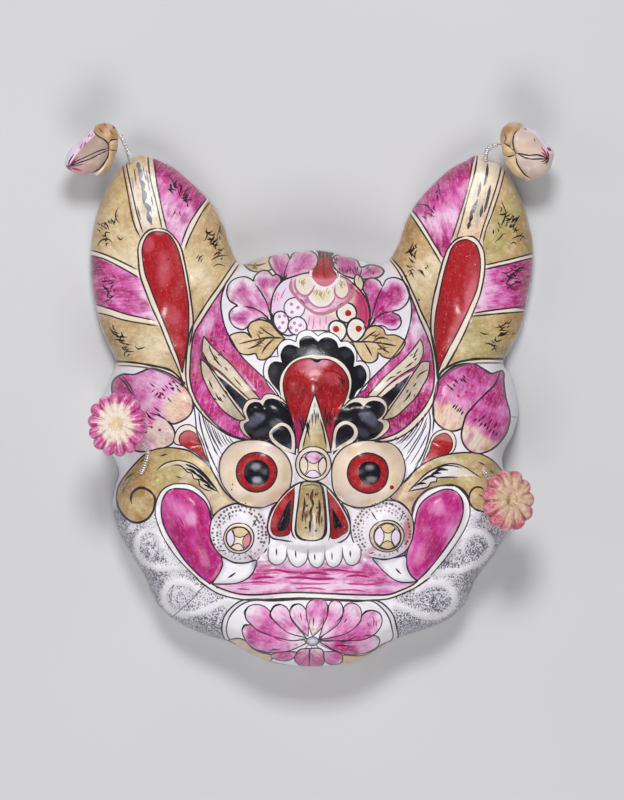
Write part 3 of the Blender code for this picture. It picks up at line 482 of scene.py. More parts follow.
     (189, 430.5, 183, 432.5, 179.5, 437.5, 180.5, 443.5, 187, 447.5, 195, 452, 202, 457.5, 207.5, 463, 207.5, 463, 204, 452, 201, 442, 196.5, 434)),
    ("drop_r_edge", "flat", ("band",), None, 1.4,
     (420, 466, 420, 466, 424, 456, 428, 446, 432, 436, 438, 431, 445, 429.5, 452, 432.5, 455.5, 439, 455, 447, 451, 453, 436, 459)),
    ("drop_r", "along", ("red", "red", "red_wash"), (446, 434, 424, 462), 1.4,
     (444, 433, 436.5, 436, 431.5, 442.5, 429.5, 450, 426, 457, 420.5, 464.5, 420.5, 464.5, 430, 460.5, 440, 456.5, 448, 453, 452, 446.5, 451.5, 439.5, 448.5, 435)),
    ("scroll_l", "along", ("ochre", "ochre_deep", "ochre", "olive", "ochre", "ochre_pale"), (118, 500, 214, 470), 1.8,
     (152, 450.5, 160, 448.3, 170, 447.5, 180, 448.5, 190, 451, 199, 457, 207, 463, 214, 473, 219, 482, 225, 491, 233, 499, 239, 502, 232, 504, 222, 508, 213, 515, 211.5, 508, 205, 498, 197, 489.5, 188, 485, 178, 484,
      168, 487, 160, 494, 156.5, 502, 154, 509.5, 149, 517.5, 141, 522, 133, 522, 125, 517, 118.5, 508, 116, 498, 118, 487, 124, 477, 133, 466, 143, 456)),
    ("scroll_r", "along", ("ochre", "ochre", "olive", "ochre", "peach"), (500, 470, 410, 495), 1.8,
     (390, 497, 397, 489, 405, 480, 415, 470, 424, 463.5, 436, 457.5, 452, 453.5, 470, 452.5, 482, 454.5, 492, 460, 499, 467, 506, 478, 506, 500, 490, 512, 483, 511.5, 476, 509.5, 471, 505.5, 468.5, 500, 467, 495, 462, 489,
      455, 485.5, 446, 485, 436, 486.5, 425, 491, 417, 499, 413, 508, 411.5, 515, 407, 508, 400, 502, 392, 499)),
    ("scroll_l_feather", "along", ("tan", "cream", "ochre_pale"), (160, 470, 214, 488), 0,
     (158, 469, 158, 469, 165, 463.5, 175, 461, 184, 461, 195, 465, 205, 474, 213, 484, 219.5, 493, 219.5, 493, 212, 491, 205, 489, 200, 485, 199, 480, 194, 478, 192, 473, 188, 472, 184, 468, 180, 465, 172, 465)),
    ("scroll_r_feather", "along", ("cream", "white", "tan"), (412, 487, 476, 474), 0,
     (408, 491, 408, 491, 415, 484, 425, 474, 435, 468, 446, 464, 456, 464, 466, 468, 475, 474, 481, 478, 481, 478, 468, 476, 452, 477, 440, 478, 436, 481.5, 431, 482, 427, 487, 418, 489)),
    ("teardrop_l_edge", "flat", ("white",), None, 1.4,
     (181, 483.5, 172, 484.5, 163, 489.5, 157.5, 499, 155.5, 512, 158, 524, 165, 540, 176, 556, 190, 571, 205, 585, 213, 590, 213, 590, 226, 580, 226, 556, 216, 540, 212, 520, 210, 504, 203, 493, 192, 485)),
    ("teardrop_l", "rim", ("magenta", "magenta", "magenta_deep", "magenta"), 8.0, 1.8,
     (178, 488.5, 170, 490, 164, 497, 161.5, 508, 162.5, 520, 167, 532, 175, 545, 185, 560, 197, 573, 210, 583.5, 210, 583.5, 217, 577, 222, 567, 222.5, 558, 217, 550, 212, 541, 210.5, 530, 211, 518, 208, 506, 201, 497, 190, 490)),
    ("teardrop_r_edge", "flat", ("white",), None, 1.4,
     (446, 484.5, 434, 487, 422, 494, 415, 504, 412, 516, 411, 530, 405, 552, 405, 570, 414, 582, 414, 582, 425, 580, 436, 569, 446, 557, 456, 543, 464, 530, 469, 517, 469.5, 506, 466, 496, 459, 488.5, 453, 485.5)),
    ("teardrop_r", "rim", ("pink", "magenta", "magenta", "magenta"), 8.0, 1.8,
     (446, 489, 436, 492, 425, 499, 418, 508, 415, 520, 413, 533, 409, 545, 406, 556, 407.5, 568, 412, 576, 417.5, 580, 417.5, 580, 425, 573, 436, 560, 446, 546.5, 455, 533, 461, 520, 463, 508, 461, 498, 455, 491)),
    # ---- eyes
    ("eye_l_white", "rim", ("eye", "eye_pale", "eye_pale"), 4.0, 1.5,
     (255.8, 439.8, 266, 441, 276, 446, 284, 452.5, 289.5, 461, 292, 471, 291, 483, 287, 494, 279, 502.5, 269, 506.5, 258, 507.2, 247, 505.5, 237, 501, 228.5, 492.5, 222, 482, 219.5, 471, 220.5, 460, 225, 451, 233, 443.5, 244, 440.3)),
    ("eye_l_red", "rim", ("red_deep", "red"), 2.0, 1.8,
     (257, 452.3, 265, 454, 272, 458.5, 276.3, 466, 277, 474, 273.5, 483, 267, 489, 258, 491.5, 249, 490, 241.5, 484.5, 237.5, 477, 237, 468.5, 240, 460.5, 247, 454.5)),
    ("eye_l_pupil", "flat", ("black",), None, 0,
     (257, 459.3, 264, 461.3, 269, 466.5, 270, 473, 268, 480, 263, 484.3, 256.5, 485.2, 250, 483.5, 245.5, 478.5, 244.2, 471.5, 246.5, 464.5, 251, 460.5)),
    ("eye_r_white", "rim", ("eye", "eye_pale", "eye_pale"), 4.0, 1.5,
     (368, 440.3, 380, 441, 391, 443.5, 399, 450, 403.5, 459, 405, 470, 402.5, 481, 397, 489.5, 389.5, 496.5, 379, 502.5, 368, 506.3, 357, 507, 346, 504, 338.5, 498.5, 333.5, 490, 331.8, 480, 331.8, 468, 334.5, 458, 341, 449.5, 350, 444, 359, 441)),
    ("eye_r_red", "rim", ("red_deep", "red"), 2.0, 1.8,
     (369, 452.8, 377, 455, 384, 460, 387.5, 468, 387.5, 476, 384.5, 484.5, 378, 490.5, 369, 492.8, 360, 491, 352.5, 486, 348, 478.5, 347.5, 470, 350.5, 461.5, 356.5, 456, 362, 453.5)),
    ("eye_r_pupil", "flat", ("black",), None, 0,
     (369.5, 461, 375.5, 462.5, 379.5, 467, 380.5, 473, 378.5, 479.5, 373.5, 483.5, 368, 484.3, 362.5, 482, 359, 477, 358.2, 471, 360, 465, 364.5, 461.7)),
    # ---- muzzle pads, coins, nose
    ("pad_l", "flat", ("pad",), None, 1.5,
     (237, 503.5, 228, 506, 219, 510.5, 212.5, 518, 210.3, 527, 211, 538, 216, 549, 225, 558, 236, 562.3, 248, 562, 258, 557.5, 266, 550, 269.6, 541, 268.5, 531, 268, 520, 272, 508, 277, 502, 262, 507.5, 248, 506.5)),
    ("pad_r", "flat", ("pad",), None, 1.5,
     (384, 500.5, 392, 500, 400, 503, 408, 510, 412.5, 519, 413.2, 530, 411, 541, 406, 550, 398, 555.5, 388, 558.5, 377, 558.3, 367, 555.5, 359, 550, 353, 540.5, 350.6, 530, 350, 520, 347, 510, 342, 503, 356, 507.5, 372, 506)),
    ("coin_b_out", "flat", ("cream",), None, 1.4,
     (313, 446.4, 320, 447.5, 326, 451.5, 330, 458, 331, 465, 328.5, 472.5, 323.5, 478, 317, 480.5, 309, 480.5, 302, 477.5, 297.5, 472, 295.7, 465, 297, 457, 301, 451, 307, 447.3)),
    ("coin_b_in", "flat", ("coin",), None, 1.4,
     (313.5, 451, 320, 452.5, 325, 457, 326.5, 464, 325, 471, 320, 476, 313, 477.8, 306, 476, 301, 471, 299.5, 464, 301.5, 457, 307, 452.3)),
    ("coin_b_top", "flat", ("pink_pale",), None, 1.1, (305, 456, 305, 456, 309, 461.5, 313.5, 463.2, 318, 461.8, 322.5, 456.5, 322.5, 456.5, 318.5, 452.7, 313.5, 451.5, 308.5, 452.7)),
    ("coin_b_low", "flat", ("lilac",), None, 1.1, (305.5, 475.5, 305.5, 475.5, 309, 471, 313, 469.8, 317, 471.2, 320.5, 476, 320.5, 476, 313, 477.6)),
    ("coin_b_left", "flat", ("cream",), None, 1.1, (303.5, 456.5, 303.5, 456.5, 307, 460.5, 308, 465.5, 307, 470.5, 304.5, 474.5, 304.5, 474.5, 300.8, 470, 299.8, 464, 301, 459)),
    ("coin_b_right", "flat", ("cream",), None, 1.1, (323.3, 457, 323.3, 457, 319.5, 461, 318.2, 465.5, 319, 471, 321.5, 475.3, 321.5, 475.3, 325.3, 470, 326.3, 464, 325.2, 459.5)),
    ("coin_l_out", "flat", ("band",), None, 1.4,
     (239.5, 522.7, 246.5, 524, 251.5, 528.5, 254, 535, 253.3, 542, 250, 548, 244.5, 552, 237.5, 552.8, 230.5, 550.5, 226, 545.5, 224, 538.5, 225.5, 531.5, 229.5, 526, 234, 523.5)),
    ("coin_l_in", "flat", ("coin",), None, 1.4,
     (239, 526.3, 245, 527.5, 249.5, 531.5, 251.5, 537.5, 250, 544, 245.5, 548.7, 239, 550.3, 232.5, 548.5, 228, 544, 226.3, 537.5, 228, 531.5, 233, 527.3)),
    ("coin_l_top", "flat", ("leaf",), None, 1.1, (233, 528.5, 233, 528.5, 234.5, 534, 237, 536.3, 241, 536.8, 245.5, 535, 249, 531.8, 249, 531.8, 245, 528, 239, 526.8)),
    ("coin_l_left", "flat", ("lilac",), None, 1.1, (231.5, 528.8, 231.5, 528.8, 234, 534, 235, 539, 233.5, 543.5, 230.5, 546.3, 230.5, 546.3, 227.5, 541.5, 227, 535.5, 228.5, 531.5)),
    ("coin_l_right", "flat", ("red_wash",), None, 1.1, (249.5, 532.3, 249.5, 532.3, 245.5, 535.3, 243, 539.5, 243.3, 544.5, 245.3, 548.3, 245.3, 548.3, 249.5, 544, 251, 538)),
    ("coin_l_low", "flat", ("cream",), None, 1.1, (231, 547, 231, 547, 234.5, 544, 238.5, 543, 242, 545, 244, 549, 244, 549, 238, 550.2)),
    ("coin_r_out", "flat", ("tan",), None, 1.4,
     (387, 519.8, 394, 521, 400, 525.5, 403.5, 532, 403.3, 539, 400, 545.5, 394, 550, 386.5, 551.5, 379, 549.8, 373, 545.5, 369.8, 539, 369.5, 532, 373, 525.5, 379, 521.3)),
    ("coin_r_in", "flat", ("coin",), None, 1.4,
     (387, 522.5, 393.5, 524, 398.5, 528.5, 400.7, 535, 399.5, 542, 395, 547, 388, 549.2, 381, 548, 376, 543.8, 373.6, 537.5, 374.3, 531, 378, 526, 382.5, 523.3)),
    ("coin_r_top", "flat", ("leaf",), None, 1.1, (380.5, 525.8, 380.5, 525.8, 382.5, 530.3, 386.5, 532.5, 391, 531.7, 395, 527.2, 395, 527.2, 391.5, 524.2, 386, 523.2)),
    ("coin_r_left", "flat", ("lilac",), None, 1.1, (379.8, 526.5, 379.8, 526.5, 383, 531, 383.8, 536, 382.5, 541, 379.5, 545.5, 379.5, 545.5, 375, 541, 374.2, 535, 376, 529.5)),
    ("coin_r_right", "flat", ("lilac",), None, 1.1, (396, 528, 396, 528, 392, 532, 390.8, 536.5, 391.8, 541, 394.8, 545.8, 394.8, 545.8, 399, 541, 400, 535, 398.6, 531)),
    ("coin_r_low", "flat", ("leaf",), None, 1.1, (380, 546.3, 380, 546.3, 383, 542, 387.5, 540.2, 391.5, 542, 394, 546.5, 394, 546.5, 387.5, 549)),
    ("nose", "flat", ("white",), None, 2.0,
     (311, 480.8, 301, 482, 293, 486, 286, 492, 279, 500, 273, 509, 269, 518.5, 267.6, 527, 269, 533.5, 273, 538, 281, 539.5, 292, 541.3, 306, 543.6, 321, 544.7, 335, 543.3, 344.5, 539.5, 349.5, 533, 350.3, 525.5,
      348, 517, 343.5, 508.5, 338, 500, 332, 492, 326, 486, 319, 482)),
    ("wing_nose_l", "along", ("red", "red", "red_deep"), (284, 490, 286, 536), 0,
     (295, 486.5, 295, 486.5, 288, 492.5, 281, 500, 275, 509, 271.5, 518.5, 270.3, 527, 272.5, 533.5, 278.5, 536.5, 288, 535, 290.8, 530, 291.5, 515, 293.5, 498)),
    ("wing_nose_r", "along", ("red", "red", "red_deep"), (332, 494, 340, 538), 0,
     (326.5, 489, 326.5, 489, 328.5, 500, 330, 512, 330.5, 525, 330.3, 537, 336, 538.5, 343, 534.5, 347.5, 531.5, 348.3, 525, 345.5, 516.5, 340.5, 507, 333.5, 497)),
    ("nostril_l", "flat", ("black",), None, 0, (291.3, 498, 291.3, 498, 286.5, 505, 282, 515, 278, 524.5, 278.8, 530.5, 285.5, 529, 289, 523, 290.8, 512)),
    ("nostril_r", "flat", ("black",), None, 0, (331.8, 506, 331.8, 506, 335.5, 513, 340.5, 521.5, 342, 527.5, 338, 526.5, 335, 529, 333, 520)),
    ("nose_ridge", "along", ("olive", "ochre", "ochre", "ochre_pale"), (311, 482, 311, 540), 1.8,
     (301.5, 483, 312, 481.5, 320.5, 484, 323, 495, 324.8, 510, 325.2, 525, 323.5, 535, 318, 539.3, 308, 539.8, 300, 537, 296, 531, 296.3, 518, 298.5, 502)),
    # ---- mouth
    ("mouth", "along", ("white", "white", "pink_pale", "pink", "pink", "pink_pale", "pink", "pink_pale", "pink_pale", "pink"), (312, 558, 312, 594), 0,
     (252, 559, 268, 551, 285, 545, 312, 547, 340, 546, 360, 551, 374, 559, 386, 572, 402, 581, 417, 581.5, 410, 585.5, 400, 590.5, 388, 594.3, 360, 594.3, 330, 593, 300, 592, 280, 592.5, 262, 594, 244, 594, 232, 592, 222, 588.5, 212, 584, 236, 582.5, 248, 577)),
    ("lip_band", "flat", ("lip_band",), None, 0,
     (198, 578, 210, 586, 222, 589, 244, 594, 262, 594, 280, 592.5, 300, 592, 330, 593, 360, 594.3, 388, 594.3, 400, 590.5, 417, 582, 429, 573, 430, 577, 417, 587, 401, 595, 388, 598.3, 360, 599.8, 330, 598.4, 300, 597.4, 275, 598.5, 250, 599.5, 236, 598.2, 222, 594.5, 210, 589.5)),
    ("tooth_1", "rim", ("tooth", "white"), 1.5, 0, (269, 544, 267.8, 553, 269.5, 560.5, 275.5, 564.5, 282, 562.8, 286, 557.5, 287, 550, 286.5, 542)),
    ("tooth_2", "rim", ("tooth", "white"), 1.5, 0, (287, 542, 286.8, 553, 290.5, 562, 297, 566.6, 303.3, 564, 307.2, 558.5, 308, 551, 307, 542)),
    ("tooth_3", "rim", ("tooth", "white"), 1.5, 0, (308.3, 543, 308, 556, 310.8, 563.8, 316.5, 567, 321.3, 565, 324.3, 559, 325, 551, 324, 543)),
    ("tooth_4", "rim", ("tooth", "white"), 1.5, 0, (325.2, 543, 325, 556, 328, 564.3, 333.8, 566.8, 339, 564, 342, 557.8, 342.5, 550, 341, 543)),
    ("tooth_5", "rim", ("tooth", "white"), 1.5, 0, (342.8, 543, 342.5, 553, 345.8, 561.8, 351, 565, 357, 563, 360.5, 556.5, 360.5, 549, 358, 543)),
    ("fang_l", "rim", ("shade", "tooth"), 2.5, 1.8, (222.5, 557, 222.8, 565, 218.5, 574, 212, 583.5, 212, 583.5, 224, 583.8, 236, 583, 244, 580, 251, 575, 255, 568, 256.5, 560, 246, 562.5, 234, 562)),
    ("fang_r", "rim", ("shade", "tooth"), 2.5, 1.6, (372.5, 557.5, 378, 565, 386.5, 573.5, 395, 580, 402.5, 582, 410, 582, 417, 581, 417, 581, 411, 575.5, 406.8, 567, 405.5, 556, 396, 557, 384, 559.3)),
    # ---- chin panel and its peony
    ("chin_panel", "flat", ("shade",), None, 1.8,
     (250, 599, 240, 601, 231, 607.5, 224.5, 616, 222, 625, 222.3, 634, 226.5, 642, 240, 648, 262, 662, 290, 668, 312, 670, 340, 669, 362, 662, 384, 648, 397.5, 639, 396.8, 628, 393.5, 616, 387, 607, 377, 600.5, 362, 600, 330, 598.8, 300, 598, 275, 599)),
    ("chin_ground", "flat", ("ground",), None, 1.6,
     (256, 600, 245, 602.5, 236, 608.5, 229.5, 617, 226.8, 626, 227, 634, 231, 641, 244, 648, 264, 660, 290, 667, 312, 670, 338, 668, 360, 660, 382, 648, 392.5, 639, 391.8, 628, 388.5, 617, 382, 608, 372, 601, 356, 601, 330, 600, 300, 599, 275, 600.5)),
    ("chin_leaf_l", "along", ("tan", "tan", "leaf"), (232, 642, 266, 656), 1.5,
     (228, 640.5, 228, 640.5, 238, 638.3, 246, 641, 252, 648, 262, 653, 272, 655, 270, 662, 262, 662, 250, 656, 238, 648)),
    ("chin_leaf_r", "along", ("leaf", "ochre", "leaf"), (346, 660, 386, 644), 1.5,
     (392, 641, 392, 641, 382, 645, 372, 652, 360, 656, 342, 655.5, 345, 666, 356, 664, 372, 658, 386, 648)),
    ("petal_c0", "along", ("pink_pale", "pink", "pink", "pink", "pink_pale", "white"), (243, 630, 306, 642), 1.3,
     (306, 642.5, 306, 642.5, 297, 647.5, 289, 650.5, 279, 652.5, 267, 652.3, 256, 649.5, 248.5, 644.5, 244, 637, 242, 629.5, 244.5, 625, 250, 624.3, 262, 612, 290, 618)),
    ("petal_c1", "along", ("white", "pink_pale", "pink", "pink", "pink", "pink_pale", "white"), (247, 606, 307, 640), 1.3,
     (307, 638, 307, 638, 290, 640, 262, 632, 250, 623, 246, 618, 245, 611.5, 249, 606, 257, 604, 264.5, 606, 270, 611, 273, 619)),
    ("petal_c2", "along", ("white", "pink_pale", "pink", "pink_pale", "white"), (278, 603, 302, 638), 1.3,
     (306, 637, 306, 637, 288, 632, 274, 620, 270.5, 612.5, 273.5, 606.5, 279.5, 604, 285.5, 606, 289.5, 611.5, 292, 620)),
    ("petal_c3", "along", ("white", "pink_pale", "pink_pale", "pink", "white"), (298, 602, 307, 638), 1.3,
     (308, 636, 308, 636, 299, 627, 291, 617, 290, 609.5, 293, 605, 298.5, 603.3, 303.5, 606, 307, 612, 309, 622)),
    ("petal_c8", "along", ("white", "pink_pale", "pink", "magenta", "pink", "white"), (381, 642, 320, 641), 1.3,
     (319, 641.5, 319, 641.5, 328, 646.5, 337, 651.5, 348, 654.5, 360, 654.3, 370, 651.5, 377.5, 647, 380, 640.5, 377, 636, 372, 635, 350, 630)),
    ("petal_c7", "along", ("white", "pink_pale", "pink", "magenta", "magenta", "pink", "white"), (384, 612, 320, 642), 1.3,
     (320, 640, 320, 640, 342, 640, 360, 640, 373, 635, 379, 629, 382, 621, 380, 613.5, 373, 610, 366, 611, 361, 616, 356, 620)),
    ("petal_c6", "along", ("white", "pink_pale", "pink", "pink", "pink_pale", "white"), (354, 601, 322, 640), 1.3,
     (319.5, 639, 319.5, 639, 344, 634, 358, 624, 361.5, 615.5, 360, 607.5, 354.5, 603, 348, 603, 343.5, 607.5, 342, 614)),
    ("petal_c5", "along", ("white", "pink_pale", "pink", "pink_pale", "white"), (336, 598, 320, 640), 1.3,
     (319, 637.5, 319, 637.5, 333, 628, 341, 619, 343, 609.5, 341, 603, 336, 599.7, 331, 601.5, 328, 607, 325, 618)),
    ("petal_c4", "along", ("white", "pink_pale", "pink", "pink_pale", "cream", "white"), (318, 597, 313, 640), 1.3,
     (312.5, 636, 312.5, 636, 308, 622, 306, 610, 307.5, 603.5, 312, 599.5, 318.5, 598.2, 325, 600.5, 328, 607, 327, 616, 321, 628)),
    ("petal_l1", "along", ("cream", "magenta", "pink", "pink_pale"), (272, 661, 300, 650), 1.3,
     (296.5, 651.5, 296.5, 651.5, 285, 651.5, 275, 653, 270.5, 656.5, 277, 660, 286, 661.3, 292.5, 658.5, 295.5, 655)),
    ("petal_l2", "along", ("magenta", "magenta", "pink", "pink_pale"), (298, 668, 310, 646), 1.3,
     (309.5, 648, 309.5, 648, 300, 649, 296, 654, 294.3, 659, 298, 664.5, 305, 667.5, 309, 668, 309.5, 660)),
    ("petal_l3", "along", ("magenta", "magenta", "pink", "pink_pale"), (322, 668, 312, 646), 1.3,
     (310, 648, 310, 648, 310, 668, 316, 668, 322.5, 665.5, 324.5, 660, 324, 653, 320, 648)),
    ("petal_l4", "along", ("cream", "magenta", "pink", "pink_pale"), (342, 664, 322, 650), 1.3,
     (324, 651.5, 324, 651.5, 324.5, 660, 330, 665, 338, 665.3, 342.5, 661, 341.8, 655, 336, 651.5)),
    ("chin_heart", "rim", ("grey_blue", "shade"), 1.6, 1.0, (312.5, 636.2, 316.5, 637.3, 319, 640.5, 316.5, 644.3, 312, 645.2, 308, 643.8, 306, 640.5, 308.5, 637.3)),
)

